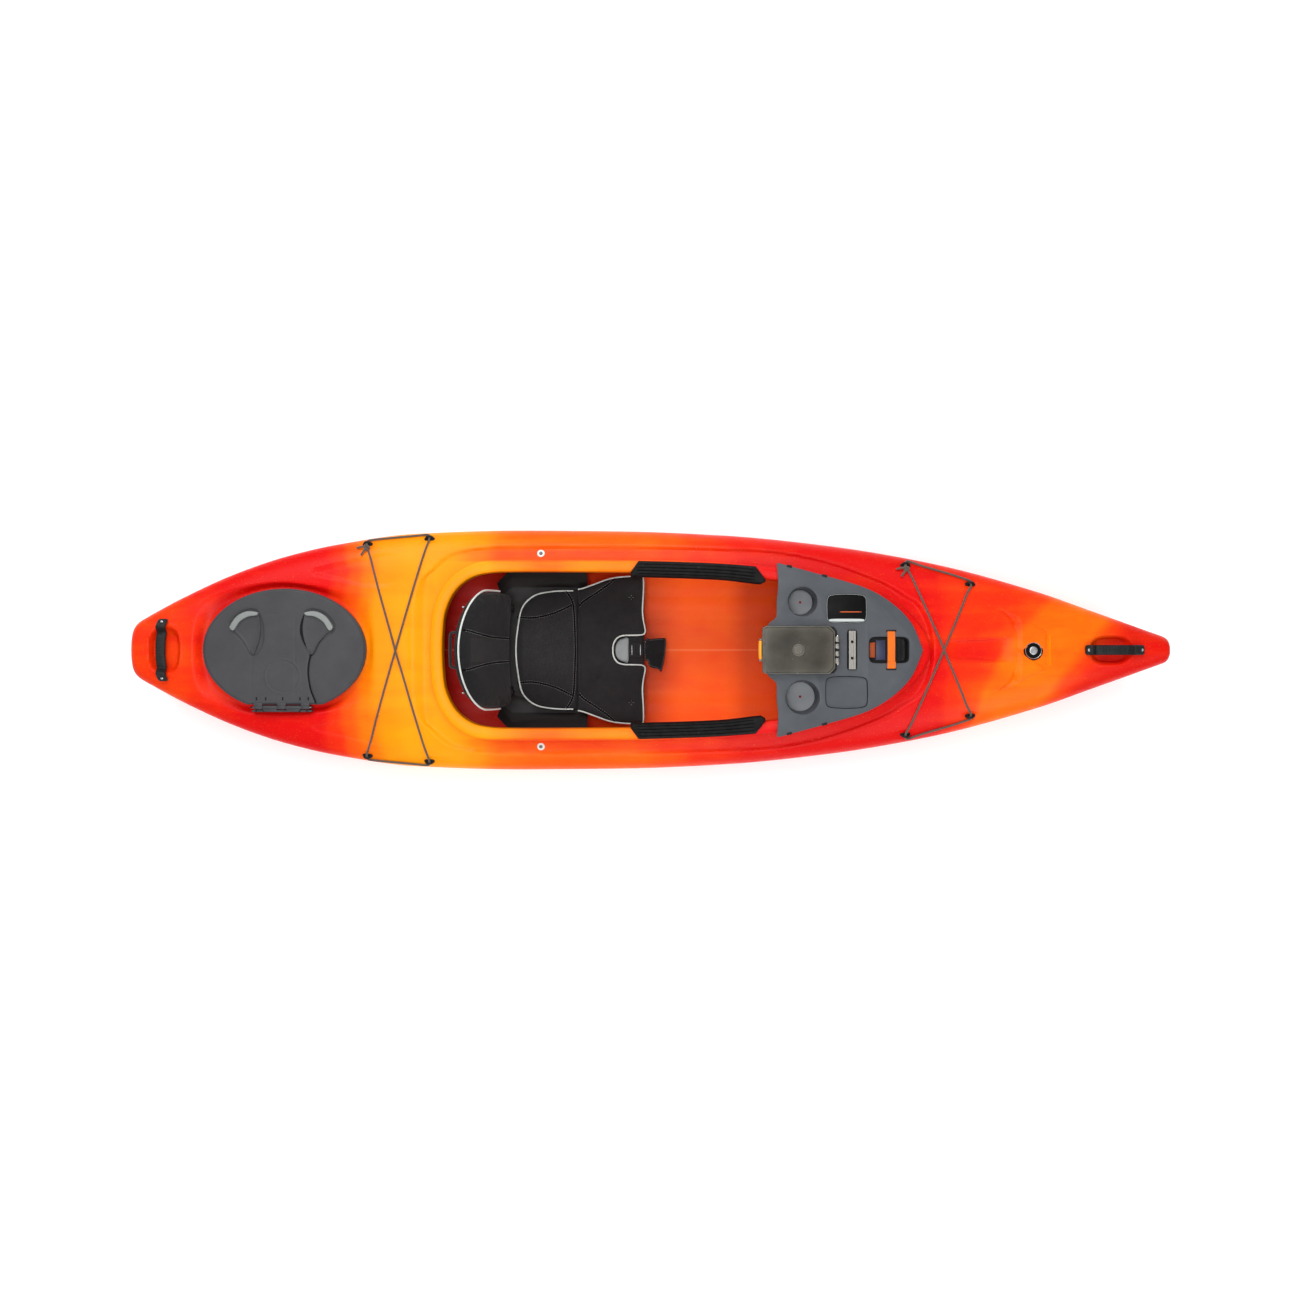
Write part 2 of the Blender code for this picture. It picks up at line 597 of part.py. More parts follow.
def build_handle(name, centre, half_span, half_width, along_boat, bow_out, outer, hull):
    """A moulded rubber grip arched over its finger pocket, with a screwed foot at each end."""
    rings = []
    profile = [(half_width * math.copysign(abs(math.cos(a)) ** 0.6, math.cos(a)),
                0.0065 * math.copysign(abs(math.sin(a)) ** 0.6, math.sin(a))) for a in np.arange(8) * math.tau / 8 + 0.39]
    for t in np.linspace(-1, 1, 11):
        rise = 0.024 * (1 - abs(t) ** 3.0)
        drift = bow_out * (1 - t * t)
        x = centre[0] + (half_span * t if along_boat else drift)
        y = centre[1] + (drift if along_boat else half_span * t)
        z = float(deck_height(x, y)) + 0.0050 + rise
        rings.append([(x + (0 if along_boat else s), y + (s if along_boat else 0), z + u) for s, u in profile])
    grip = loft(name, rings, RUBBER)
    on_deck(grip, outer)
    for t, which in ((-0.90, "a"), (0.90, "b")):
        x = centre[0] + (half_span * t if along_boat else bow_out * (1 - t * t))
        y = centre[1] + (0 if along_boat else half_span * t)
        z = float(deck_height(x, y))
        bolt_into(f"{name}_screw_{which}", (x, y, z), Vector((0, 0, 1)), 0.0025, 0.0055, 0.018, [grip, hull], head_lift=0.0120)
    return grip


def bolt_into(name, at, out, radius, head_radius, depth, hosts, head_lift=0.0, washer=0.0, washer_thick=0.0):
    """A pan-head bolt along out, through the hosts, which get a clearance hole for it."""
    at, out = Vector(at), Vector(out).normalized()
    seat = at + out * head_lift
    bolt = rod(name, at - out * depth, seat + out * 0.001, radius, STEEL, 8)
    head = rod("head", seat + out * GAP, seat + out * 0.0035, head_radius, STEEL, 10, head_radius * 0.7)
    join(bolt, head)
    if washer:
        join(bolt, rod("washer", seat + out * GAP, seat + out * (GAP + washer_thick), washer, STEEL, 14))
    for host in hosts:
        cut(host, rod("hole", at - out * (depth + 0.02), seat + out * 0.0002, radius + 2 * GAP, STEEL, 8))
        cut(host, rod("spot_face", seat, seat + out * 0.03, max(head_radius, washer) + 0.001, STEEL, 10))
    return bolt


# ---- Inside the shell ---------------------------------------------------------------------------
def build_bulkheads(core):
    """The sealed foam wall behind the seat, and the flotation block in the bow."""
    wall = box("rear_bulkhead", (-0.760, -0.4, -0.05), (-0.712, 0.4, 0.45), FOAM)
    combine(bake(wall), core, "INTERSECT", keep=True)
    block = box("bow_foam_block", (1.040, -0.045, -0.05), (1.290, 0.045, 0.45), FOAM)
    combine(bake(block), core, "INTERSECT", keep=True)


def inner_side(x, z, inset=WALL):
    """Half width of the cavity at (x, z), below the sheer."""
    beam, keel = float(along(HALF_BEAM, x)) - inset, float(along(KEEL, x)) + inset
    sheer, n = float(along(SHEER, x)), float(along(HULL_FULLNESS, x))
    pad = KEEL_PAD_SHARE * beam
    share = min(1.0, max(0.0, (sheer - z) / (sheer - keel)))
    return pad + (beam - pad) * (1 - share ** n) ** (1 / n)


FOOT_RAIL_X, FOOT_RAIL_Z = (0.560, 0.900), 0.130


def build_foot_braces(hull, core):
    """A ribbed rail bolted inside each side, with a pedal that slides along it."""
    x0, x1 = FOOT_RAIL_X
    z = FOOT_RAIL_Z
    y0, y1 = inner_side(x0, z) - 0.010, inner_side(x1, z) - 0.010
    lean = math.atan2(y1 - y0, x1 - x0)
    fore, side = Vector((math.cos(lean), math.sin(lean), 0)), Vector((-math.sin(lean), math.cos(lean), 0))
    start = Vector((x0, y0, z))
    reach = (x1 - x0) / math.cos(lean)
    place = Matrix((fore, side, Vector((0, 0, 1)))).transposed().to_4x4()
    place.translation = start

    def bar(name, low, high, material):
        made = bake(box(name, low, high, material))
        made.data.transform(place)
        return made

    rail = bar("foot_rail_port", (0, -0.012, -0.014), (reach, 0.0, 0.014), DARK)
    cut(rail, bar("slot", (0.020, -0.016, -0.004), (reach - 0.020, -0.006, 0.004), DARK))
    middle = reach / 2
    pedal = bar("foot_pedal_port", (middle - 0.006, -0.108, -0.055), (middle + 0.006, -0.028, 0.060), DARK)
    join(pedal, bar("carriage", (middle - 0.035, -0.026, -0.018), (middle + 0.035, -0.0124, 0.018), DARK))
    join(pedal, bar("tongue", (middle - 0.015, -0.014, -0.0035), (middle + 0.015, -0.0065, 0.0035), DARK))
    join(pedal, bar("brace", (middle + 0.004, -0.064, -0.010), (middle + 0.030, -0.022, 0.010), DARK))
    feet = {"aft": start + fore * 0.008, "forward": start + fore * (reach - 0.008)}
    for foot in feet.values():
        out, flank = flank_normal(foot.x, z), Vector((foot.x, inner_side(foot.x, z, 0.0), z))
        join(rail, rod("spacer", flank, foot + side * -0.006, 0.008, DARK, 10))
    combine(rail, core, "INTERSECT", keep=True)
    sides = {"port": (1, rail, pedal),
             "starboard": (-1, mirrored(rail, "foot_rail_starboard"), mirrored(pedal, "foot_pedal_starboard"))}
    for hand, (sign, own_rail, own_pedal) in sides.items():
        for which, foot in feet.items():
            out, flank = flank_normal(foot.x, z), Vector((foot.x, inner_side(foot.x, z, 0.0), z))
            out.y, flank.y = sign * out.y, sign * flank.y
            bolt_into(f"foot_rail_bolt_{which}_{hand}", flank, out, 0.0030, 0.0070, 0.020, [hull, own_rail])
        centre = start + fore * middle
        pivot(f"pedal_{hand}_slide", Vector((centre.x, sign * centre.y, centre.z)), [own_pedal])


def flank_normal(x, z):
    d = 0.01
    dy_dx = (inner_side(x + d, z, 0.0) - inner_side(x - d, z, 0.0)) / (2 * d)
    dy_dz = (inner_side(x, z + d, 0.0) - inner_side(x, z - d, 0.0)) / (2 * d)
    return Vector((-dy_dx, 1, -dy_dz)).normalized()


# ---- Seat ---------------------------------------------------------------------------------------
def build_seat(core, hull):
    """The moulded pan, its hangers and deck bolts, the two cushions and the leg lift."""
    t = 0.008
    half = [(0.150, SEAT_PAN_Z), (0.200, SEAT_PAN_Z), (0.230, SEAT_PAN_Z + 0.026), (0.246, SEAT_PAN_Z + 0.085)]
    under = [(0.150, SEAT_PAN_Z - t), (0.204, SEAT_PAN_Z - t), (0.236, SEAT_PAN_Z + 0.021), (0.252, SEAT_PAN_Z + 0.083)]
    top = half
    ring = [(y, z) for y, z in reversed(top)] + [(-y, z) for y, z in top]
    ring += [(-y, z) for y, z in reversed(under)] + [(y, z) for y, z in under]
    pan = loft("seat_base", [[(x, y * shrink, z) for y, z in ring] for x, shrink in
                             ((-0.470, 0.84), (-0.430, 1.0), (-0.190, 1.0))], DARK)
    front = box("front", (-0.195, -0.200, SEAT_PAN_Z - t), (-0.010, 0.200, SEAT_PAN_Z - 0.002), DARK)
    join(pan, bake(front))
    for x0, x1 in ((-0.420, -0.380), (-0.120, -0.080)):
        for sign in (-1, 1):
            low, high = sorted((sign * 0.085, sign * 0.165))
            join(pan, bake(box("foot", (x0, low, -0.01), (x1, high, SEAT_PAN_Z - 0.004), DARK)))
    for sign in (-1, 1):
        ear_low, ear_high = sorted((sign * 0.128, sign * 0.138))
        ear = bake(box("ear", (-0.462, ear_low, SEAT_PAN_Z - 0.004), (-0.424, ear_high, BACK_PIVOT.z + 0.016), DARK))
        join(pan, ear)
    combine(pan, core, "INTERSECT", keep=True)

    x, y = SEAT_BOLT
    deck = Vector((x, y, float(deck_height(x, y))))
    for side, sign in (("port", 1), ("starboard", -1)):
        out = deck_normal(x, sign * y)
        at = Vector((x, sign * y, deck.z))
        bolt_into(f"seat_bolt_{side}", at, out, 0.0030, 0.0058, 0.016, [hull], washer=0.0125, washer_thick=0.0016)
        seat_hanger(side, sign, at, out, core)
    return pan


SEAT_BOLT = (-0.326, 0.297)


def seat_hanger(side, sign, at, out, core):
    """A bent strip from the deck bolt down to the seat pan's wing."""
    top = at - out * (WALL + 0.0012)
    fore = Vector((1, 0, 0))
    line = [top + Vector((0, sign * 0.014, -0.004)), top, top + Vector((0, -sign * 0.020, 0.002)),
            Vector((at.x, sign * 0.262, 0.240)), Vector((at.x, sign * 0.2625, 0.150))]
    t = 0.0026
    rings = []
    for i, p in enumerate(line):
        ahead, behind = line[min(i + 1, len(line) - 1)], line[max(i - 1, 0)]
        tangent = (ahead - behind).normalized()
        across = tangent.cross(fore).normalized()
        if across.z > 0 or (abs(across.z) < 0.3 and across.y * sign < 0):
            across = -across
        rings.append([p + fore * s + across * u for s, u in ((-0.016, 0), (0.016, 0), (0.016, t), (-0.016, t))])
    hanger = loft(f"seat_hanger_{side}", rings, ALUMINIUM)
    cut(hanger, rod("hole", at - out * 0.04, at + out * 0.01, 0.0037, STEEL, 8))
    return combine(hanger, core, "INTERSECT", keep=True)


def slab(name, outline, centre, levels, material, place=None, curl=None):
    """A solid on a flat outline: each level is a share of the outline and a height, from the middle of one
    face over the rim to the middle of the other. Curl(u, v) adds to the height."""
    bend = curl or (lambda u, v: 0.0)
    p, c = np.array(outline, float), np.array(centre, float)
    bm = bmesh.new()
    rows = []
    for share, height in levels:
        around = [c + (q - c) * share for q in p] if share else [c]
        rows.append([bm.verts.new((q[0], q[1], height + bend(*q))) for q in around])
    n = len(p)
    for a, b in zip(rows, rows[1:]):
        for j in range(n):
            k = (j + 1) % n
            corners = [a[j % len(a)], a[k % len(a)], b[k % len(b)], b[j % len(b)]]
            bm.faces.new([v for i, v in enumerate(corners) if v not in corners[:i]])
    made = from_bmesh(name, bm, material)
    if place:
        made.data.transform(place)
    return made


def cushion(name, outline, centre, low, high, crown=0.004):
    """A soft pad whose rim is eased in at top and bottom, a little fuller in its middle."""
    d = high - low
    levels = ((0, low), (0.97, low), (1, low + 0.25 * d), (1, high - 0.3 * d), (0.965, high), (0.6, high + crown),
              (0, high + crown))
    return slab(name, outline, centre, levels, FABRIC)


def build_cushions():
    rear_half = [(-0.225, 0.196), (-0.300, 0.194), (-0.360, 0.180), (-0.402, 0.140), (-0.418, 0.070)]
    rear = rear_half + [(x, -y) for x, y in reversed(rear_half)]
    rear = cushion("seat_cushion", rear, (-0.31, 0), SEAT_PAN_Z + GAP, SEAT_PAN_Z + 0.032)
    notch = [(-0.004, 0.046), (-0.070, 0.044), (-0.100, 0.022)]
    front_half = [(-0.2165, 0.198), (-0.150, 0.204), (-0.085, 0.236), (-0.012, 0.238), (-0.004, 0.140)] + notch
    front = front_half + [(x, -y) for x, y in reversed(front_half)]
    low = SEAT_PAN_Z + 0.0068
    pad = cushion("leg_lift_cushion", front, (-0.15, 0), low + GAP, low + 0.028)
    plate = box("leg_lift_plate", (-0.2165, -0.185, SEAT_PAN_Z + GAP), (-0.012, 0.185, low), DARK)
    bake(plate)
    buckle = box("leg_lift_buckle", (-0.060, -0.022, low + 2 * GAP), (-0.012, 0.022, low + 0.020), DARK, 0.002)
    strap_line = [(-0.0105, 0.0, low + 0.012), (0.010, 0.0, low + 0.013), (0.028, 0.0, low + 0.008), (0.050, 0.0, low - 0.004)]
    strap = swept("leg_lift_strap", strap_line, ((-0.030, -0.002), (0.030, -0.002), (0.030, 0.002), (-0.030, 0.002)), FABRIC)
    pivot("leg_lift_axis", LEG_HINGE, [pad, plate, bake(buckle), strap])
    return rear


def build_backrest():
    """A reclining back: a moulded shell with a padded front, a grab handle behind and a pivot pin each side."""
    place = Matrix.Translation(BACK_PIVOT) @ Matrix.Rotation(BACK_LEAN, 4, "Y")

    def outline(half_width, bottom, top, corner, count=9):
        """Front view of the back: straight sides that end in an arched top."""
        side = [(half_width * 0.80, bottom), (half_width, bottom + 0.06), (half_width, top - corner)]
        arch = [(half_width * math.cos(a), top - corner + corner * math.sin(a))
                for a in np.linspace(0, math.pi / 2, count)[1:]]
        right = side + arch
        return right + [(-y, z) for y, z in reversed(right[:-1])]

    # A slab's own axes are (across, up the back, out of its face), so they are turned to (Y, Z, X)
    stand = place @ Matrix(((0, 0, 1), (1, 0, 0), (0, 1, 0))).to_4x4()

    def wrap(across, up):
        return 0.020 * (across / 0.18) ** 2

    rim = outline(0.172, 0.030, 0.325, 0.135)
    flat = ((0, -0.010), (0.5, -0.010), (1, -0.010), (1, -0.002), (0.75, -0.002), (0.5, -0.002), (0, -0.002))
    shell = slab("backrest_shell", rim, (0, 0.2), flat, DARK, stand, wrap)
    for sign in (-1, 1):
        low, high = sorted((sign * 0.1155, sign * 0.1275))
        lug = bake(box("lug", (-0.012, low, -0.014), (0.012, high, 0.028), DARK))
        join(lug, bake(box("lug_root", (-0.004, low, 0.010), (0.0048, high, 0.060), DARK)))
        lug.data.transform(place)
        join(shell, lug)
    rim = outline(0.183, 0.034, 0.335, 0.143)
    low, high = -0.0006, 0.034
    soft = ((0, low), (0.5, low), (0.75, low), (0.97, low), (1, low + 0.010), (1, high - 0.012), (0.95, high), (0.5, high + 0.003), (0, high + 0.003))
    pad = slab("backrest_cushion", rim, (0, 0.2), soft, FABRIC, stand, wrap)
    loop = [(-0.0090, -0.052, 0.270), (-0.036, -0.052, 0.270), (-0.040, -0.046, 0.270), (-0.040, 0.046, 0.270),
            (-0.036, 0.052, 0.270), (-0.0090, 0.052, 0.270)]
    square = ((-0.005, -0.006), (0.005, -0.006), (0.005, 0.006), (-0.005, 0.006))
    handle = swept("backrest_handle", loop, square, DARK)
    handle.data.transform(place)
    pieces = [shell, pad, handle]
    for side, sign in (("port", 1), ("starboard", -1)):
        inner, outer_y = sign * 0.1145, sign * 0.1400
        pin = rod(f"back_pivot_{side}", (BACK_PIVOT.x, inner, BACK_PIVOT.z), (BACK_PIVOT.x, outer_y, BACK_PIVOT.z), 0.0045, STEEL)
        hole = rod("hole", (BACK_PIVOT.x, sign * 0.10, BACK_PIVOT.z), (BACK_PIVOT.x, sign * 0.15, BACK_PIVOT.z), 0.0051, STEEL)
        cut(shell, hole, keep=True)
        cut(bpy.data.objects["seat_base"], hole)
        head = rod("head", (BACK_PIVOT.x, sign * 0.1385, BACK_PIVOT.z), (BACK_PIVOT.x, sign * 0.1430, BACK_PIVOT.z), 0.009, STEEL)
        join(pin, head)
    pivot("backrest_axis", BACK_PIVOT, pieces)


# ---- Thigh pads ---------------------------------------------------------------------------------
def build_thigh_pads():
    """A foam pad wrapped over the coaming lip on each side, ahead of the seat."""
    line, normal = coaming_line(400)
    keep = [i for i in range(len(line)) if -0.050 < line[i][0] < 0.366 and line[i][1] > 0]
    keep = sorted(keep, key=lambda i: line[i][0])[::6]
    w = LIP_HALF_WIDTH
    rings = []
    for n, i in enumerate(keep):
        (x, y), (nx, ny) = line[i], normal[i]
        z = float(along(LIP_HEIGHT, x))
        taper = min(1.0, 0.25 + n / 2.0, 0.25 + (len(keep) - 1 - n) / 2.0)
        out = -w + (2 * w - 0.004) * taper
        profile = ((-w - 0.0008, 0.0016), (-w - 0.0008, -0.030), (-w - 0.010, -0.034), (-w - 0.014, -0.006),
                   (-w - 0.006, 0.010), (0.2 * out, 0.0125), (out, 0.008), (out, 0.0016))
        rings.append([(x + nx * s, y + ny * s, z + u) for s, u in profile])
    port = loft("thigh_pad_port", rings, FOAM)
    mirrored(port, "thigh_pad_starboard")


# ---- Console ------------------------------------------------------------------------------------
CONSOLE_EDGE = ((0.400, 0.262), (0.533, 0.226), (0.663, 0.186), (0.745, 0.137), (0.800, 0.078), (0.833, 0.0))
CUPS = {"port": (0.470, 0.146, 0.046, 0.038), "starboard": (0.470, -0.143, 0.053, 0.045)}
CUP_DEPTH = 0.085
BOX_HOLE = (0.378, 0.565, 0.062)  # aft, forward and half width of the dry box's well
TRACK = (0.619, 0.014, 0.058)  # centre X, half width, half length
PLACARD_POCKET = (0.603, 0.125, 0.062, 0.046)
PLACARD_DEPTH = 0.0030
TRAY_POCKET = (0.603, -0.128, 0.066, 0.051)
BATTERY_POCKET = (0.731, 0.0, 0.062, 0.041)
BATTERY_DEPTH, BATTERY_TAPER = 0.046, 0.95
WELL_MOUTH = 0.010  # how far above the plate a well's cutter ends, where it has its full size


def build_console():
    """The panel over the cockpit's front, with cup wells, shallow pockets and the dry box's well."""
    edge = [tuple(p) for p in through(CONSOLE_EDGE, 3)]
    port = [(0.364, 0.060), (0.366, 0.080), (0.392, 0.100), (0.392, 0.262)] + edge
    outline = port + [(x, -y) for x, y in reversed(port[:-1])]
    panel = prism("console_panel", outline, PLATE_SKIRT, PLATE_TOP, GREY)
    centre = np.array((0.60, 0.0))
    inside = []
    for x, y in outline:
        reach = np.array((x, y)) - centre
        inside.append(tuple(centre + reach * (1 - 0.0035 / np.linalg.norm(reach))))
    cut(panel, prism("panel_hollow", inside, 0.30, PLATE_TOP - PLATE, GREY))

    def well(centre, half_x, half_y, depth, power, taper, drain=0.0):
        for grow, bottom, top, how in ((0.003, depth + 0.003, PLATE_TOP - 0.001, "UNION"),
                                       (0, depth, PLATE_TOP + WELL_MOUTH, "DIFFERENCE")):
            wide = rounded(centre, half_x + grow, half_y + grow, power, 20)
            narrow = rounded(centre, half_x * taper + grow, half_y * taper + grow, power, 20)
            form = loft("well", [[(x, y, PLATE_TOP - bottom) for x, y in narrow], [(x, y, top) for x, y in wide]], GREY)
            combine(panel, form, how)
        if drain:
            cut(panel, rod("drain", (*centre, PLATE_TOP - depth - 0.02), (*centre, PLATE_TOP), drain, GREY, 8))

    for x, y, rim, floor in CUPS.values():
        well((x, y), rim, rim, CUP_DEPTH, 2.0, floor / rim, drain=0.004)
    x, y, hx, hy = PLACARD_POCKET
    well((x, y), hx, hy, PLACARD_DEPTH, 5.0, 0.99)
    x, y, hx, hy = TRAY_POCKET
    well((x, y), hx, hy, 0.0070, 5.0, 0.96)
    x, y, hx, hy = BATTERY_POCKET
    well((x, y), hx, hy, BATTERY_DEPTH, 6.0, BATTERY_TAPER)
    aft, fore, half = BOX_HOLE
    cut(panel, box("box_hole", (aft, -half, 0.30), (fore, half, 0.40), GREY))

    x, y, hx, hy = PLACARD_POCKET
    placard = prism("placard", rounded((x, y), hx - 0.002, hy - 0.002, 5.0, 20), PLATE_TOP - PLACARD_DEPTH + GAP,
                    PLATE_TOP - PLACARD_DEPTH + 0.0016, DARK)
    x, y, hx, hy = BATTERY_POCKET
    floor = PLATE_TOP - BATTERY_DEPTH

    def liner(name, clear, bottom, top):
        rings = []
        for z in (bottom, top):
            share = BATTERY_TAPER + (1 - BATTERY_TAPER) * (z - floor) / (BATTERY_DEPTH + WELL_MOUTH)
            rings.append([(u, v, z) for u, v in rounded((x, y), hx * share - clear, hy * share - clear, 6.0)])
        return loft(name, rings, DARK)

    tray = liner("battery_tray", 0.0008, floor + GAP, PLATE_TOP - 0.006)
    cut(tray, liner("tray_hollow", 0.0030, floor + 0.0025, PLATE_TOP + 0.010))
    strap_x = x + 0.006
    z = PLATE_TOP
    arch = [(strap_x, -0.056, z + 0.0016), (strap_x, -0.046, z + 0.0028), (strap_x, -0.020, z + 0.0052), (strap_x, 0.0, z + 0.0060),
            (strap_x, 0.020, z + 0.0052), (strap_x, 0.046, z + 0.0028), (strap_x, 0.056, z + 0.0016)]
    strap = swept("battery_strap", arch, ((-0.0115, -0.0012), (0.0115, -0.0012), (0.0115, 0.0012), (-0.0115, 0.0012)), STRAP)
    x, half_width, half_length = TRACK
    track = bake(box("accessory_track", (x - half_width, -half_length, z + GAP), (x + half_width, half_length, z + 0.0085), ALUMINIUM))
    cut(track, box("slot", (x - 0.0055, -half_length - 0.01, z + 0.0055), (x + 0.0055, half_length + 0.01, z + 0.02), ALUMINIUM))
    cut(track, box("channel", (x - 0.0095, -half_length - 0.01, z + 0.0025), (x + 0.0095, half_length + 0.01, z + 0.0060), ALUMINIUM))
    console = [panel, placard, tray, strap, track]
    axis = pivot("console_lift", (0.60, 0, PLATE_TOP), console)
    build_dry_box(axis)


def build_dry_box(axis):
    """A waterproof box in the console's well, with a clear lid hinged at its forward end and a latch at its aft end."""
    aft, fore, half = BOX_HOLE
    top, base = PLATE_TOP + 0.008, PLATE_TOP - 0.078
    body = bake(box("dry_box_body", (aft + 0.001, -half + 0.001, base), (fore - 0.001, half - 0.001, top - 0.004), DARK))
    flange = [(0.350, -0.070), (0.562, -0.070), (0.572, -0.058), (0.572, 0.058), (0.562, 0.070), (0.350, 0.070)]
    join(body, prism("flange", flange, PLATE_TOP + GAP, top, DARK))
    join(body, bake(box("catch", (0.3440, -0.018, PLATE_TOP + GAP), (0.3510, 0.018, top), DARK)))
    inner = 0.0035
    cut(body, box("hollow", (aft + inner, -half + inner, base + inner), (fore - inner, half - inner, top + 0.02), DARK))

    seal_outer, seal_inner = 0.0030, -0.0005
    gasket = bake(box("dry_box_gasket", (aft - seal_outer, -half - seal_outer, top + GAP), (fore + seal_outer, half + seal_outer, top + 0.0026), RUBBER))
    cut(gasket, box("hollow", (aft - seal_inner, -half - seal_inner, top - 0.01), (fore + seal_inner, half + seal_inner, top + 0.02), RUBBER))

    lid_low, lid_high = top + 0.0029, top + 0.014
    shape = [(0.347, -0.064), (0.355, -0.072), (0.550, -0.072), (0.566, -0.056), (0.566, 0.056), (0.550, 0.072), (0.355, 0.072), (0.347, 0.064)]
    lid = prism("dry_box_lid", shape, lid_low, lid_high, SMOKE)
    cut(lid, box("lid_hollow", (0.360, -0.060, lid_low - 0.01), (0.556, 0.060, lid_high - 0.0035), SMOKE))
    x, z = DRY_HINGE.x, DRY_HINGE.z
    cut(lid, box("hinge_room", (x - 0.0085, -0.046, lid_low - 0.01), (x + 0.02, 0.046, lid_high + 0.01), SMOKE))
    for low, high in ((-0.041, -0.0245), (-0.0185, -0.004), (0.004, 0.0185), (0.0245, 0.041)):
        lug = rod("lug", (x, low, z), (x, high, z), 0.0052, SMOKE)
        web = bake(box("web", (x - 0.0120, low, z - 0.0035), (x, high, z + 0.0035), SMOKE))
        join(lug, web)
        join(lid, lug)
    cut(lid, rod("bore", (x, -0.08, z), (x, 0.08, z), 0.0026, SMOKE))
    for low, high in ((-0.0240, -0.0190), (-0.0035, 0.0035), (0.0190, 0.0240)):
        post = bake(box("post", (x - 0.004, low, PLATE_TOP + 0.0035), (x + 0.004, high, z + 0.0035), DARK))
        join(body, post)
    cut(body, rod("bore", (x, -0.08, z), (x, 0.08, z), 0.0026, DARK))
    pin = rod("dry_box_hinge_pin", (x, -0.045, z), (x, 0.045, z), 0.0020, STEEL)

    u, w = BOX_LATCH.x, BOX_LATCH.z
    latch = bake(box("dry_box_latch", (u - 0.0035, -0.028, w - 0.034), (u + 0.0015, 0.028, w + 0.004), AMBER))
    join(latch, rod("barrel", (u, -0.028, w), (u, 0.028, w), 0.0042, AMBER))
    cut(latch, rod("bore", (u, -0.05, w), (u, 0.05, w), 0.0024, AMBER))
    for low, high in ((-0.0345, -0.0285), (0.0285, 0.0345)):
        ear = bake(box("ear", (u - 0.004, low, w - 0.004), (0.3495, high, w + 0.004), SMOKE))
        join(lid, ear)
    join(lid, rod("axle", (u, -0.031, w), (u, 0.031, w), 0.0018, SMOKE))
    for piece in (body, gasket, pin):
        piece.parent = axis
        piece.matrix_parent_inverse = axis.matrix_world.inverted()
    hinge = pivot("dry_box_lid_axis", DRY_HINGE, [lid], axis)
    pivot("dry_box_latch_axis", BOX_LATCH, [latch], hinge)


DRY_HINGE = Vector((0.5740, 0.0, PLATE_TOP + 0.0160))
BOX_LATCH = Vector((0.3415, 0.0, PLATE_TOP + 0.0160))


def main():
    for old in list(bpy.data.objects):
        bpy.data.objects.remove(old, do_unlink=True)
    hull, outer, core = build_shell()
    build_hatch(outer)
    build_eyes(outer)
    build_bungees()
    build_handle("bow_handle", (1.4175, 0.0), 0.090, 0.0145, True, 0.0, outer, hull)
    build_handle("stern_handle", (-1.490, 0.0), 0.096, 0.0145, False, -0.008, outer, hull)
    build_bulkheads(core)
    build_foot_braces(hull, core)
    build_seat(core, hull)
    build_cushions()
    build_backrest()
    build_thigh_pads()
    build_console()


main()
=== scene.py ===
"""The looks of the recreational kayak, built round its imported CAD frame.
+X is the bow, +Y is port and +Z is up; all sizes are metres."""

import json
import math

import bmesh
import bpy
import numpy as np
from mathutils import Matrix, Vector
from mathutils.bvhtree import BVHTree

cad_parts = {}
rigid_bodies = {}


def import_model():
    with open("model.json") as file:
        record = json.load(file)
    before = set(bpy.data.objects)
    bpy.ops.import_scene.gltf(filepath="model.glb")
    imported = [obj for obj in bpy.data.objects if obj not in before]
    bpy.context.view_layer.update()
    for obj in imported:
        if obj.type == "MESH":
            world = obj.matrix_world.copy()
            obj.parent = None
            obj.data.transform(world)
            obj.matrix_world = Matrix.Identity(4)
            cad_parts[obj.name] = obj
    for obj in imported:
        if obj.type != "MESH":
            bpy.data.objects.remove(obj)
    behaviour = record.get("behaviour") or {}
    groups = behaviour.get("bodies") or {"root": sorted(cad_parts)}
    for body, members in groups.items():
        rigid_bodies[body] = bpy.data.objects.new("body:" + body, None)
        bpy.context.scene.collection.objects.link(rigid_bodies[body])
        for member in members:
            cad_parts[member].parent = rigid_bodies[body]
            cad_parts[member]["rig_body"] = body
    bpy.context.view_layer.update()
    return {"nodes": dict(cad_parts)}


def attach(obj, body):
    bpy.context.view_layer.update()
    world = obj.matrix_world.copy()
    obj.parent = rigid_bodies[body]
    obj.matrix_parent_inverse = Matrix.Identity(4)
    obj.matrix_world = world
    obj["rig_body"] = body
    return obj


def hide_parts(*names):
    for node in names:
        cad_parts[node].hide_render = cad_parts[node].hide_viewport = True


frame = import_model()

# ---- Driving dimensions, the same as the CAD's --------------------------------------------------
HALF_LENGTH = 1.600
WALL = 0.0042
HALF_BEAM = ((-1.60, 0.075), (-1.44, 0.163), (-1.28, 0.237), (-1.12, 0.292), (-0.96, 0.329),
             (-0.72, 0.362), (-0.40, 0.372), (-0.08, 0.369), (0.24, 0.355), (0.56, 0.322),
             (0.88, 0.266), (1.20, 0.178), (1.36, 0.121), (1.60, 0.034))
KEEL = ((-1.60, 0.100), (-1.45, 0.045), (-1.20, 0.010), (-1.00, 0.0), (0.85, 0.0),
        (1.15, 0.012), (1.38, 0.050), (1.52, 0.105), (1.60, 0.165))
SHEER = ((-1.60, 0.215), (-1.00, 0.200), (-0.30, 0.200), (0.40, 0.222), (1.00, 0.262), (1.60, 0.290))
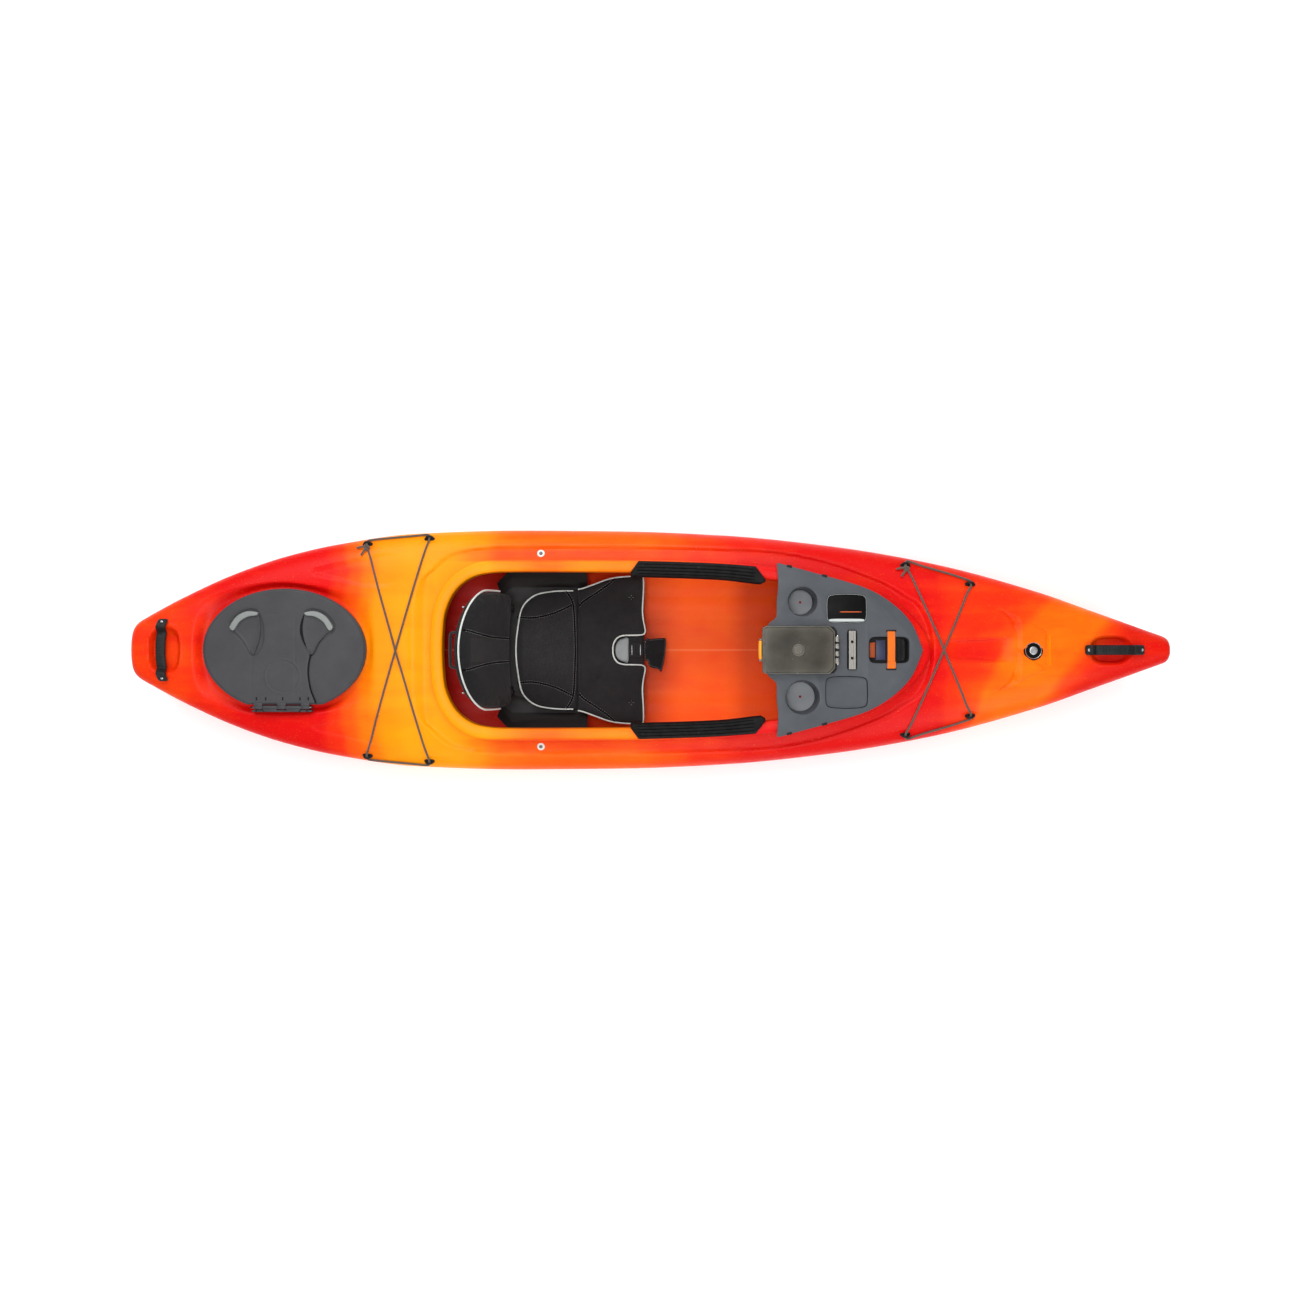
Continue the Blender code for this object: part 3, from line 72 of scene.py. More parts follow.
CROWN = ((-1.60, 0.262), (-1.30, 0.271), (-0.80, 0.284), (-0.30, 0.300), (0.35, 0.334),
         (0.80, 0.342), (1.20, 0.345), (1.60, 0.334))
HULL_FULLNESS = ((-1.60, 2.0), (-0.90, 2.7), (0.60, 2.7), (1.60, 1.7))
DECK_FULLNESS = ((-1.60, 2.4), (-0.70, 2.8), (0.20, 3.0), (0.90, 2.5), (1.60, 2.0))
KEEL_PAD_SHARE = 0.16
STERN_ROUND, STERN_POWER = 0.050, 4
BOW_ROUND, BOW_POWER = 0.025, 3
COAMING = ((-0.645, 0.0), (-0.643, 0.060), (-0.636, 0.118), (-0.613, 0.175), (-0.580, 0.215),
           (-0.535, 0.243), (-0.480, 0.256), (-0.400, 0.259), (-0.200, 0.2585), (0.0, 0.2555),
           (0.200, 0.248), (0.350, 0.2355), (0.450, 0.222), (0.550, 0.202), (0.650, 0.173),
           (0.730, 0.135), (0.790, 0.088), (0.826, 0.040), (0.838, 0.0))
LIP_HEIGHT = ((-0.66, 0.300), (-0.30, 0.302), (0.10, 0.322), (0.36, 0.350), (0.45, 0.354), (0.86, 0.354))
LIP_HALF_WIDTH, LIP_THICK, RISER = 0.019, 0.005, 0.056
HATCH_X, HATCH_RECESS = -1.112, 0.018
HATCH_MOUTH = (0.222, 0.160, -0.140)  # half length, half width, straight side's Y
HATCH_LID = (0.250, 0.188, -0.167)
RIM_TOP = 0.276

# ---- Moulded detail of the deck: half outlines, port side, from the stern to the bow -------------
MOAT_DEPTH = 0.009  # the sunken band round the coaming
MOAT_OUTER = ((-0.717, 0.0), (-0.717, 0.120), (-0.708, 0.190), (-0.690, 0.222), (-0.670, 0.240),
              (-0.630, 0.281), (-0.584, 0.305), (-0.500, 0.319), (-0.400, 0.322), (-0.200, 0.322),
              (0.0, 0.320), (0.200, 0.314), (0.387, 0.305), (0.553, 0.272), (0.717, 0.212),
              (0.790, 0.168), (0.825, 0.146), (0.852, 0.102), (0.867, 0.050), (0.872, 0.0))
MOAT_INNER = ((-0.680, 0.0), (-0.680, 0.190), (-0.677, 0.222), (-0.655, 0.243), (-0.620, 0.272),
              (-0.577, 0.294), (-0.500, 0.307), (-0.400, 0.310), (-0.200, 0.310), (0.0, 0.308),
              (0.200, 0.302), (0.380, 0.293), (0.545, 0.260), (0.708, 0.200), (0.780, 0.157),
              (0.813, 0.136), (0.839, 0.097), (0.856, 0.048), (0.861, 0.0))
RECESS_OUTER = ((-1.402, 0.0), (-1.401, 0.070), (-1.392, 0.130), (-1.366, 0.166), (-1.300, 0.187),
                (-1.200, 0.206), (-1.120, 0.211), (-1.048, 0.2035), (-0.960, 0.190), (-0.880, 0.171),
                (-0.852, 0.150), (-0.838, 0.095), (-0.835, 0.0))
SHOULDER = ((-1.036, 0.230), (-1.030, 0.254), (-0.910, 0.283), (-0.806, 0.305), (-0.742, 0.300),
            (-0.742, 0.205), (-0.800, 0.190), (-0.870, 0.190))
SHOULDER_DROP = 0.0035
VALLEY = ((0.900, 0.030), (1.000, 0.032), (1.077, 0.039), (1.119, 0.045))
GILL = ((1.030, 0.143), (1.070, 0.117), (1.096, 0.092), (1.1186, 0.046), (1.124, 0.052), (1.127, 0.100),
        (1.085, 0.124))
HOOD = ((1.127, 0.046), (1.127, 0.099), (1.170, 0.080), (1.212, 0.058), (1.212, 0.0), (1.127, 0.0))
BAR = ((1.2145, 0.0), (1.2145, 0.049), (1.2275, 0.049), (1.2275, 0.0))
BOW_POCKET = (1.410, 0.0, 0.066, 0.046)
STERN_POCKET = (-1.487, 0.0, 0.050, 0.074)
POCKET_DEPTH = 0.030
BOW_EYES = {"aft": (0.790, 0.258), "forward": (0.985, 0.200)}
STERN_EYES = {"forward": (-0.672, 0.343), "aft": (-0.864, 0.326)}
EYE_DISH = (0.0265, 0.0130, 0.0028)  # half length, half width, depth
SEAT_BOLT = (-0.326, 0.297)


# ---- Curves -------------------------------------------------------------------------------------
def along(points, x):
    """Height at x of the smooth curve through the points, which never overshoots them."""
    xs, ys = np.array(points, float).T
    secant = np.diff(ys) / np.diff(xs)
    slope = np.concatenate([secant[:1], np.zeros(len(xs) - 2), secant[-1:]])
    both = secant[:-1] * secant[1:]
    same = both > 0
    slope[1:-1][same] = 2 * both[same] / (secant[:-1] + secant[1:])[same]
    x = np.clip(x, xs[0], xs[-1])
    i = np.clip(np.searchsorted(xs, x) - 1, 0, len(xs) - 2)
    h = xs[i + 1] - xs[i]
    t = (x - xs[i]) / h
    return ((1 + 2 * t) * (1 - t) ** 2 * ys[i] + t * (1 - t) ** 2 * h * slope[i]
            + t * t * (3 - 2 * t) * ys[i + 1] + t * t * (t - 1) * h * slope[i + 1])


def ramp(t):
    t = np.clip(t, 0, 1)
    return t * t * (3 - 2 * t)


def through(points, per_span, closed=False):
    """Points on a smooth curve through the given ones."""
    p = np.array(points, float)
    n = len(p)
    found = []
    for i in range(n if closed else n - 1):
        a, b, c, d = (p[j % n] if closed else p[min(max(j, 0), n - 1)] for j in range(i - 1, i + 3))
        for t in np.arange(per_span) / per_span:
            found.append(0.5 * (2 * b + (c - a) * t + (2 * a - 5 * b + 4 * c - d) * t * t
                                + (3 * b - a - 3 * c + d) * t ** 3))
    if not closed:
        found.append(p[-1])
    return np.array(found)


def evenly(points, count, closed=False):
    """The line through the points again, as count points the same distance apart."""
    p = np.vstack([points, points[:1]]) if closed else np.array(points)
    s = np.concatenate([[0], np.cumsum(np.linalg.norm(np.diff(p, axis=0), axis=1))])
    at = np.linspace(0, s[-1], count + 1)[:-1] if closed else np.linspace(0, s[-1], count)
    return np.stack([np.interp(at, s, p[:, k]) for k in range(p.shape[1])], axis=1)


def whole(half):
    """A closed outline from its port half, which starts and ends on the middle line."""
    return [(x, -y) for x, y in half] + [(x, y) for x, y in reversed(half[1:-1])]


def outline_depth(outline, x, y):
    """How far inside a closed outline each point is; negative outside it."""
    p = np.array(outline, float)
    q = np.roll(p, -1, axis=0)
    x, y = np.asarray(x, float).ravel(), np.asarray(y, float).ravel()
    nearest, inside = np.full(len(x), np.inf), np.zeros(len(x), bool)
    for (ax, ay), (bx, by) in zip(p, q):
        dx, dy = bx - ax, by - ay
        t = np.clip(((x - ax) * dx + (y - ay) * dy) / (dx * dx + dy * dy + 1e-18), 0, 1)
        nearest = np.minimum(nearest, np.hypot(x - ax - t * dx, y - ay - t * dy))
        crosses = (ay > y) != (by > y)
        inside ^= crosses & (x < ax + (y - ay) * dx / (dy if abs(dy) > 1e-12 else 1e-12))
    return np.where(inside, nearest, -nearest)


def within(outline, x, y, margin=0.05):
    """Which points lie in the outline's own rectangle, so that far ones aren't measured."""
    p = np.array(outline, float)
    return ((x > p[:, 0].min() - margin) & (x < p[:, 0].max() + margin)
            & (y > p[:, 1].min() - margin) & (y < p[:, 1].max() + margin))


def step_in(outline, width, x, y):
    """0 outside the outline, rising to 1 at width inside it."""
    share = np.zeros(len(x))
    near = within(outline, x, y, 0.0)
    share[near] = ramp(outline_depth(outline, x[near], y[near]) / width)
    return share


def funnel(outer, inner, x, y):
    """0 outside the outer outline, 1 inside the inner one, and a slope between the two."""
    share = np.zeros(len(x))
    near = within(outer, x, y, 0.0)
    out, into = (outline_depth(o, x[near], y[near]) for o in (outer, inner))
    out, into = np.clip(out, 0, None), np.clip(-into, 0, None)
    share[near] = out / (out + into + 1e-9)
    return share


def coaming_line(count):
    """The lip's centre line as a closed loop, anticlockwise from above, with its outward normals."""
    line = evenly(through(whole(COAMING), 12, closed=True), count, closed=True)
    tangent = np.roll(line, -1, axis=0) - np.roll(line, 1, axis=0)
    tangent /= np.linalg.norm(tangent, axis=1)[:, None]
    return line, np.stack([tangent[:, 1], -tangent[:, 0]], axis=1)


def hatch_outline(size, count, grow=0.0):
    """An oval whose starboard side is cut straight for the hinge."""
    a, b, cut = size
    turn = np.arange(count) * math.tau / count
    y = np.maximum((b + grow) * np.sin(turn), cut - grow)
    return np.stack([HATCH_X + (a + grow) * np.cos(turn), y], axis=1)


def rounded(centre, half_x, half_y, power=4.0, count=40):
    """A superellipse outline, from an ellipse at power 2 towards a rectangle."""
    turn = np.arange(count) * math.tau / count
    c, s = np.cos(turn), np.sin(turn)
    return np.stack([centre[0] + half_x * np.sign(c) * np.abs(c) ** (2 / power),
                     centre[1] + half_y * np.sign(s) * np.abs(s) ** (2 / power)], axis=1)


# ---- Hull form ----------------------------------------------------------------------------------
MOAT_OUTER_LOOP = through(whole(MOAT_OUTER), 4, closed=True)
MOAT_INNER_LOOP = through(whole(MOAT_INNER), 4, closed=True)
RECESS_LOOP = through(whole(RECESS_OUTER), 3, closed=True)
LID_LOOP = hatch_outline(HATCH_LID, 60, 0.005)
VALLEY_LOOP = [(x, -y) for x, y in VALLEY] + [(x, y) for x, y in reversed(VALLEY)]


def dish(x, y, centre, half_x, half_y, power=2.0):
    """How far a point is from the middle of a bowl-shaped hollow: 0 in its middle, 1 on its edge, more
    outside it.
    """
    off = (np.abs((x - centre[0]) / half_x) ** power + np.abs((y - centre[1]) / half_y) ** power) ** (1
            / power)
    return off


def relief(x, y):
    """Height of the moulded detail above the plain deck at each point."""
    x, y = np.atleast_1d(np.asarray(x, float)), np.atleast_1d(np.asarray(y, float))
    side = np.abs(y)
    share = funnel(MOAT_OUTER_LOOP, MOAT_INNER_LOOP, x, y)
    z = -MOAT_DEPTH * ramp(share)
    rim = outline_depth(MOAT_OUTER_LOOP, x, y)
    z += 0.0012 * np.exp(-((rim + 0.004) / 0.008) ** 2)
    z -= HATCH_RECESS * ramp(funnel(RECESS_LOOP, LID_LOOP, x, y) * 1.08)
    z -= SHOULDER_DROP * step_in(SHOULDER, 0.016, x, side) * ramp((-0.742 - x) / 0.10)
    z -= 0.0062 * step_in(VALLEY_LOOP, 0.009, x, y) * ramp((x - 0.905) / 0.04) * ramp((1.121 - x) / 0.05)
    z -= 0.0090 * step_in(GILL, 0.014, x, side)
    z += 0.0040 * step_in(whole_box(HOOD), 0.007, x, y)
    z += 0.0034 * step_in(whole_box(BAR), 0.0032, x, y)
    for centre_x, centre_y, half_x, half_y in (BOW_POCKET, STERN_POCKET):
        off = dish(x, y, (centre_x, centre_y), half_x, half_y, 3.0)
        z -= POCKET_DEPTH * ramp((1.0 - off) / 0.30)
        z += 0.0010 * np.exp(-((off - 1.05) / 0.06) ** 2)
    half_x, half_y, depth = EYE_DISH
    for places in (BOW_EYES, STERN_EYES):
        for centre_x, centre_y in places.values():
            off = dish(x, side, (centre_x, centre_y), half_x, half_y, 2.6)
            z -= depth * ramp((1.0 - off) / 0.35)
    z -= 0.0016 * np.exp(-((x - 1.574 - 0.10 * y) / 0.003) ** 2)
    return z


def whole_box(half):
    """A closed outline from a port half that needn't end on the middle line."""
    return [(x, y) for x, y in half if y >= 0] + [(x, -y) for x, y in reversed(half) if y > 0]


def deck_height(x, y, detail=True):
    """Height of the deck's outer face at (x, y)."""
    x, y = np.asarray(x, float), np.asarray(y, float)
    sheer, crown, m = along(SHEER, x), along(CROWN, x), along(DECK_FULLNESS, x)
    share = np.clip(np.abs(y) / along(HALF_BEAM, x), 0, 1)
    z = sheer + (crown - sheer) * (1 - share ** m) ** (1 / m)
    return z + (relief(x.ravel(), y.ravel()).reshape(x.shape) if detail else 0.0)


def deck_normal(x, y):
    d = 0.004
    dz_dx = float(deck_height(x + d, y, False) - deck_height(x - d, y, False)) / (2 * d)
    dz_dy = float(deck_height(x, y + d, False) - deck_height(x, y - d, False)) / (2 * d)
    return Vector((-dz_dx, -dz_dy, 1)).normalized()


def end_share(x):
    """How much of the full section is left where the shell rounds off at its two ends."""
    stern = np.clip(1 - (x + HALF_LENGTH) / STERN_ROUND, 0, 1)
    bow = np.clip(1 - (HALF_LENGTH - x) / BOW_ROUND, 0, 1)
    return max(0.30, (1 - stern ** STERN_POWER) ** (1 / STERN_POWER)
               * (1 - bow ** BOW_POWER) ** (1 / BOW_POWER))


DECK_POINTS, HULL_POINTS = 176, 64


def section(x, inset):
    """One closed section of the shell as (y, z) rows: port sheer, over the deck, back under the keel."""
    beam = float(along(HALF_BEAM, x)) - inset
    keel = float(along(KEEL, x)) + inset
    sheer, n = float(along(SHEER, x)), float(along(HULL_FULLNESS, x))
    crown, m = float(along(CROWN, x)) - inset, float(along(DECK_FULLNESS, x))
    turn = np.linspace(0, math.pi, 361)
    y = beam * np.sign(np.cos(turn)) * np.abs(np.cos(turn)) ** (2 / m)
    deck = np.stack([y, sheer + (crown - sheer) * np.clip(1 - np.abs(y / beam) ** m, 0, 1) ** (1 / m)],
                    axis=1)
    pad = KEEL_PAD_SHARE * beam
    turn = np.linspace(math.pi / 2, 0, 121)
    flank = np.stack([-pad - (beam - pad) * np.sin(turn) ** (2 / n),
                      sheer - (sheer - keel) * np.cos(turn) ** (2 / n)], axis=1)
    under = np.vstack([flank, flank[::-1] * (-1, 1)])
    return evenly(deck, DECK_POINTS + 1)[:-1], evenly(under, HULL_POINTS + 1)[:-1]


def stations(inset):
    """Stations along the boat, close together at its ends and where the deck has fine detail."""
    first, last = -HALF_LENGTH + inset, HALF_LENGTH - inset
    ease = np.array([0, 0.0006, 0.002, 0.004, 0.007, 0.011, 0.016, 0.022, 0.029])
    spans = ((-1.565, -0.655, 0.0050), (-0.655, 0.78, 0.0085), (0.78, 1.205, 0.0050),
             (1.205, 1.235, 0.0025),
             (1.235, 1.555, 0.0050), (1.555, 1.568, 0.0045))
    middle = np.concatenate([np.linspace(a, b, max(2, round((b - a) / step)), endpoint=False) for a, b,
                             step in spans])
    return np.concatenate([first + ease, middle, last - ease[::-1]])


def skin_points(inset):
    """Points of one skin of the shell: stations by ring points by 3."""
    xs = stations(inset)
    rows = [np.vstack(section(float(x), inset)) for x in xs]
    points = np.zeros((len(xs), DECK_POINTS + HULL_POINTS, 3))
    for i, (x, row) in enumerate(zip(xs, rows)):
        points[i, :, 0] = x
        points[i, :, 1:] = row
    deck = points[:, :DECK_POINTS]
    beam = along(HALF_BEAM, deck[..., 0])
    fade = ramp((1 - np.abs(deck[..., 1]) / beam) / 0.05)
    deck[..., 2] += fade * relief(deck[..., 0].ravel(), deck[..., 1].ravel()).reshape(deck.shape[:2])
    under = points[:, DECK_POINTS:]
    under[..., 2] += hull_lines(under, inset)
    for i, x in enumerate(xs):
        share = end_share(float(x))
        middle = (float(along(KEEL, x)) + float(along(CROWN, x))) / 2
        points[i, :, 1] *= share
        points[i, :, 2] = middle + (points[i, :, 2] - middle) * share
    return points


def hull_lines(points, inset):
    """Moulded lines under the boat: a groove each side of the keel strip, and the keel's seam inside."""
    x, y = points[..., 0], np.abs(points[..., 1])
    ends = ramp((x + 1.45) / 0.25) * ramp((1.35 - x) / 0.25)
    groove = np.exp(-((y - 0.105) / 0.010) ** 2) + np.exp(-((y - 0.175) / 0.012) ** 2)
    seam = np.exp(-(y / 0.004) ** 2) if inset else 0.0 * y
    return ends * (0.0035 * groove + 0.0016 * seam)


# ---- Mesh tools ---------------------------------------------------------------------------------
def mesh_object(name, vertices, faces, materials, smooth=38.0):
    """An object from points and faces, shaded smooth but for edges sharper than the angle."""
    mesh = bpy.data.meshes.new(name)
    mesh.from_pydata([tuple(v) for v in vertices], [], [tuple(f) for f in faces])
    for material in (materials if isinstance(materials, (list, tuple)) else [materials]):
        mesh.materials.append(material)
    made = bpy.data.objects.new(name, mesh)
    bpy.context.scene.collection.objects.link(made)
    shade(made, smooth)
    return made


def shade(obj, smooth=38.0):
    obj.data.shade_smooth()
    obj.data.set_sharp_from_angle(angle=math.radians(smooth))


def ring_faces(rows, count, closed=False, flip=False):
    """Quads between neighbouring rows of a grid whose columns run round."""
    faces = []
    for i in range(rows if closed else rows - 1):
        a, b = i * count, ((i + 1) % rows) * count
        for j in range(count):
            k = (j + 1) % count
            quad = (a + j, a + k, b + k, b + j)
            faces.append(quad[::-1] if flip else quad)
    return faces


def loft(name, rings, materials, closed=False, smooth=38.0):
    """A solid skin over rings of points, with flat caps unless the rings run round in a loop."""
    rings = np.array([[tuple(p) for p in ring] for ring in rings], float)
    rows, count = rings.shape[:2]
    faces = ring_faces(rows, count, closed)
    if not closed:
        faces += [tuple(range(count))[::-1], tuple(range((rows - 1) * count, rows * count))]
    made = mesh_object(name, rings.reshape(-1, 3), faces, materials, smooth)
    outward(made)
    shade(made, smooth)
    return made


def outward(obj):
    bm = bmesh.new()
    bm.from_mesh(obj.data)
    bmesh.ops.recalc_face_normals(bm, faces=bm.faces)
    bm.to_mesh(obj.data)
    bm.free()


def bake(obj):
    """Applies the object's modifiers and its place, so that its mesh holds world coordinates."""
    bpy.context.view_layer.update()
    graph = bpy.context.evaluated_depsgraph_get()
    mesh = bpy.data.meshes.new_from_object(obj.evaluated_get(graph), depsgraph=graph)
    mesh.transform(obj.matrix_world)
    obj.modifiers.clear()
    obj.data = mesh
    obj.matrix_world = Matrix.Identity(4)
    return obj


def combine(target, tool, operation):
    step = target.modifiers.new("combine", "BOOLEAN")
    step.operation, step.object, step.solver = operation, tool, "MANIFOLD"
    bake(target)
    bpy.data.objects.remove(tool)
    return target


def prism(name, outline, low, high, material):
    return loft(name, [[(x, y, z) for x, y in outline] for z in (low, high)], material)


# ---- Materials ----------------------------------------------------------------------------------
def srgb(r, g, b):
    """A colour given as 0 to 255 on screen, as the shader wants it."""
    return tuple((c / 255 / 12.92 if c <= 10 else ((c / 255 + 0.055) / 1.055) ** 2.4)
                 for c in (r, g, b)) + (1.0,)


class Shader:
    """A material's node tree, with short names for the few nodes used here."""

    def __init__(self, name):
        self.material = bpy.data.materials.get(name) or bpy.data.materials.new(name)
        self.material.use_nodes = True
        self.nodes, self.links = self.material.node_tree.nodes, self.material.node_tree.links
        self.nodes.clear()
        self.out = self.nodes.new("ShaderNodeOutputMaterial")
        self.bsdf = self.nodes.new("ShaderNodeBsdfPrincipled")
        self.links.new(self.bsdf.outputs[0], self.out.inputs[0])
        self.place = self.nodes.new("ShaderNodeTexCoord").outputs["Object"]

    def link(self, source, target):
        if isinstance(source, (int, float, tuple)):
            target.default_value = source
        else:
            self.links.new(source, target)

    def set(self, **values):
        for key, value in values.items():
            self.link(value, self.bsdf.inputs[key.replace("_", " ")])
        return self

    def scaled(self, x, y, z, turn=(0, 0, 0)):
        node = self.nodes.new("ShaderNodeMapping")
        node.inputs["Scale"].default_value = (x, y, z)
        node.inputs["Rotation"].default_value = turn
        self.links.new(self.place, node.inputs["Vector"])
        return node.outputs[0]

    def noise(self, scale, detail=3.0, rough=0.55, vector=None, distort=0.0):
        node = self.nodes.new("ShaderNodeTexNoise")
        node.inputs["Scale"].default_value = scale
        node.inputs["Detail"].default_value = detail
        node.inputs["Roughness"].default_value = rough
        node.inputs["Distortion"].default_value = distort
        self.links.new(vector or self.place, node.inputs["Vector"])
        return node.outputs[0]

    def cells(self, scale, vector=None, feature="F1", metric="EUCLIDEAN"):
        node = self.nodes.new("ShaderNodeTexVoronoi")
        node.feature = feature
        node.distance = metric
        node.inputs["Scale"].default_value = scale
        self.links.new(vector or self.place, node.inputs["Vector"])
        return node.outputs["Distance"]

    def waves(self, scale, axis="X", vector=None, distort=0.0, profile="SIN"):
        node = self.nodes.new("ShaderNodeTexWave")
        node.bands_direction = axis
        node.wave_profile = profile
        node.inputs["Scale"].default_value = scale
        node.inputs["Distortion"].default_value = distort
        self.links.new(vector or self.place, node.inputs["Vector"])
        return node.outputs["Fac"]

    def math(self, operation, a, b=0.0, c=0.0, clamp=False):
        node = self.nodes.new("ShaderNodeMath")
        node.operation, node.use_clamp = operation, clamp
        for value, socket in zip((a, b, c), node.inputs):
            self.link(value, socket)
        return node.outputs[0]

    def remap(self, source, low, high, to_low=0.0, to_high=1.0):
        node = self.nodes.new("ShaderNodeMapRange")
        for value, key in ((low, "From Min"), (high, "From Max"), (to_low, "To Min"), (to_high, "To Max")):
            node.inputs[key].default_value = value
        self.links.new(source, node.inputs["Value"])
        return node.outputs[0]

    def ramp(self, source, stops, mode="LINEAR"):
        """A colour ramp; stops are (position, colour) or (position, grey)."""
        node = self.nodes.new("ShaderNodeValToRGB")
        node.color_ramp.interpolation = mode
        items = node.color_ramp.elements
        while len(items) < len(stops):
            items.new(0.5)
        for item, (at, colour) in zip(items, stops):
            item.position = at
        for item, (at, colour) in zip(items, stops):
            item.color = colour if isinstance(colour, tuple) else (colour, colour, colour, 1)
        self.links.new(source, node.inputs[0])
        return node.outputs[0]

    def mix(self, share, a, b, blend="MIX"):
        node = self.nodes.new("ShaderNodeMix")
        node.data_type, node.blend_type = "RGBA", blend
        self.link(share, node.inputs[0])
        self.link(a, node.inputs[6])
        self.link(b, node.inputs[7])
        return node.outputs[2]

    def split(self, source=None):
        node = self.nodes.new("ShaderNodeSeparateXYZ")
        self.links.new(source or self.place, node.inputs[0])
        return node.outputs

    def bump(self, height, distance, strength=1.0, normal=None):
        node = self.nodes.new("ShaderNodeBump")
        node.inputs["Strength"].default_value = strength
        node.inputs["Distance"].default_value = distance
        self.link(height, node.inputs["Height"])
        if normal:
            self.links.new(normal, node.inputs["Normal"])
        return node.outputs[0]


# (station, warmth): 0 is yellow, 0.5 orange and 1 red, along the deck
WARMTH = ((-1.60, 0.74), (-1.46, 0.74), (-1.38, 0.86), (-1.26, 0.97), (-1.02, 1.00), (-0.955, 0.80),
          (-0.91, 0.60),
          (-0.86, 0.38), (-0.80, 0.14), (-0.72, 0.03), (-0.60, 0.03), (-0.51, 0.16), (-0.44, 0.40),
          (-0.33, 0.46),
          (-0.15, 0.50), (0.00, 0.50), (0.09, 0.60), (0.18, 0.76), (0.30, 0.92), (0.45, 0.99), (0.76, 1.00),
          (0.87, 0.93), (0.93, 0.80), (1.01, 0.74), (1.07, 0.66), (1.12, 0.46), (1.22, 0.42), (1.31, 0.46),
          (1.37, 0.72), (1.43, 0.92), (1.60, 0.97))
YELLOW, AMBER, TANGERINE = srgb(246, 152, 4), srgb(246, 128, 4), srgb(240, 92, 4)
VERMILION, RED = srgb(232, 48, 8), srgb(214, 8, 8)
# painted highlight: a pale line along the keel seam inside the cockpit
KEEL_HIGHLIGHT = srgb(255, 150, 96)


def hull_plastic(name, inside=False):
    """Rotomoulded polyethylene in swirled yellow, orange and red, with a fine pebbled skin."""
    s = Shader(name)
    x, y, z = s.split()
    if inside:
        warmth = s.ramp(s.remap(x, -1.6, 1.6), [(0.0, 0.95), (0.29, 0.93), (0.36, 0.88), (0.47, 0.60),
                                                (0.58, 0.56), (0.66, 0.66), (1.0, 0.9)])
    else:
        skew = s.remap(x, 0.9, 1.1)
        warped = s.math("SUBTRACT", x, s.math("MULTIPLY", s.math("MULTIPLY", y, 0.95), skew))
        warped = s.math("ADD", warped, s.math("MULTIPLY", s.math("SUBTRACT", s.noise(3.2, 2.0, 0.5), 0.5),
                                              0.16))
        stops = [((at + 1.6) / 3.2, value) for at, value in WARMTH]
        warmth = s.ramp(s.remap(warped, -1.6, 1.6), stops, "EASE")
    streaks = s.noise(6.0, 4.0, 0.6, s.scaled(0.35, 3.0, 3.0))
    warmth = s.math("ADD", warmth, s.math("MULTIPLY", s.math("SUBTRACT", streaks, 0.5),
                                          0.12 if inside else 0.34))
    cloud = s.noise(11.0, 3.0, 0.55, s.scaled(0.6, 1.0, 1.0), 0.6)
    warmth = s.math("ADD", warmth, s.math("MULTIPLY", s.math("SUBTRACT", cloud, 0.5), 0.22), clamp=True)
    # painted shade in the moat and the foredeck's valley, and a painted highlight on the foredeck's crossbar
    if not inside:
        warmth = s.math("ADD", warmth, moat_tint_and_shade(s, x, y), clamp=True)
        warmth = s.math("ADD", warmth, foredeck_shade_and_highlight(s, x, y), clamp=True)
    colour = s.ramp(warmth, [(0.0, YELLOW), (0.26, AMBER), (0.5, TANGERINE), (0.76, VERMILION),
                             (0.97, RED)])
    speck = s.remap(s.noise(260.0, 1.0, 0.5), 0.66, 0.80)
    colour = s.mix(s.math("MULTIPLY", speck, 0.22), colour, srgb(255, 160, 60))
    if inside:  # a paler line along the keel seam is a painted highlight, and the floor's middle glows with painted light
        side = s.math("ABSOLUTE", y)
        colour = s.mix(s.math("MULTIPLY", s.remap(side, 0.0042, 0.0014), 0.32), colour, KEEL_HIGHLIGHT)
        painted_glow = s.math("MULTIPLY", s.remap(x, 0.02, 0.12), s.remap(x, 0.325, 0.255))
        s.set(Emission_Color=colour, Emission_Strength=s.math("MULTIPLY",
                                                              s.math("MULTIPLY", painted_glow, s.remap(z, 0.16,
                                                                      0.06)), 0.30))
    pebble = s.noise(900.0, 2.0, 0.6)
    ripple = s.noise(28.0, 2.0, 0.5)
    rough = s.remap(s.noise(14.0, 4.0, 0.6), 0.3, 0.7, 0.30, 0.42)
    s.set(Base_Color=colour, Roughness=rough, Specular_IOR_Level=0.10, Coat_Weight=0.03,
          Coat_Roughness=0.22,
          Subsurface_Weight=0.04, Subsurface_Scale=0.004)
    s.set(Normal=s.bump(pebble, 0.0004, 0.35, s.bump(ripple, 0.0012, 0.25)))
    return s.material


def moat_tint_and_shade(s, x, y):
    """Extra warmth in the sunken band beside the cockpit, partly a redder tint of the plastic and partly
    painted shade in the hollow, and less on the coaming's lip inside it.
    """
    side = s.math("ABSOLUTE", y)
    band = s.math("MULTIPLY", s.remap(side, 0.318, 0.300), s.remap(side, 0.268, 0.276))
    length = s.math("MULTIPLY", s.remap(x, -0.62, -0.50), s.remap(x, 0.20, 0.05))
    patch = s.math("MULTIPLY", s.remap(x, -0.44, -0.36), s.remap(x, -0.20, -0.28))
    lip = s.math("MULTIPLY", s.remap(side, 0.276, 0.268),
                 s.math("SUBTRACT", 0.19, s.math("MULTIPLY", patch, 0.13)))
    lip = s.math("MULTIPLY", lip, s.math("MULTIPLY", s.remap(x, -0.66, -0.60), s.remap(x, 0.02, -0.06)))
    return s.math("SUBTRACT", s.math("MULTIPLY", s.math("MULTIPLY", band, length), 0.15), lip)


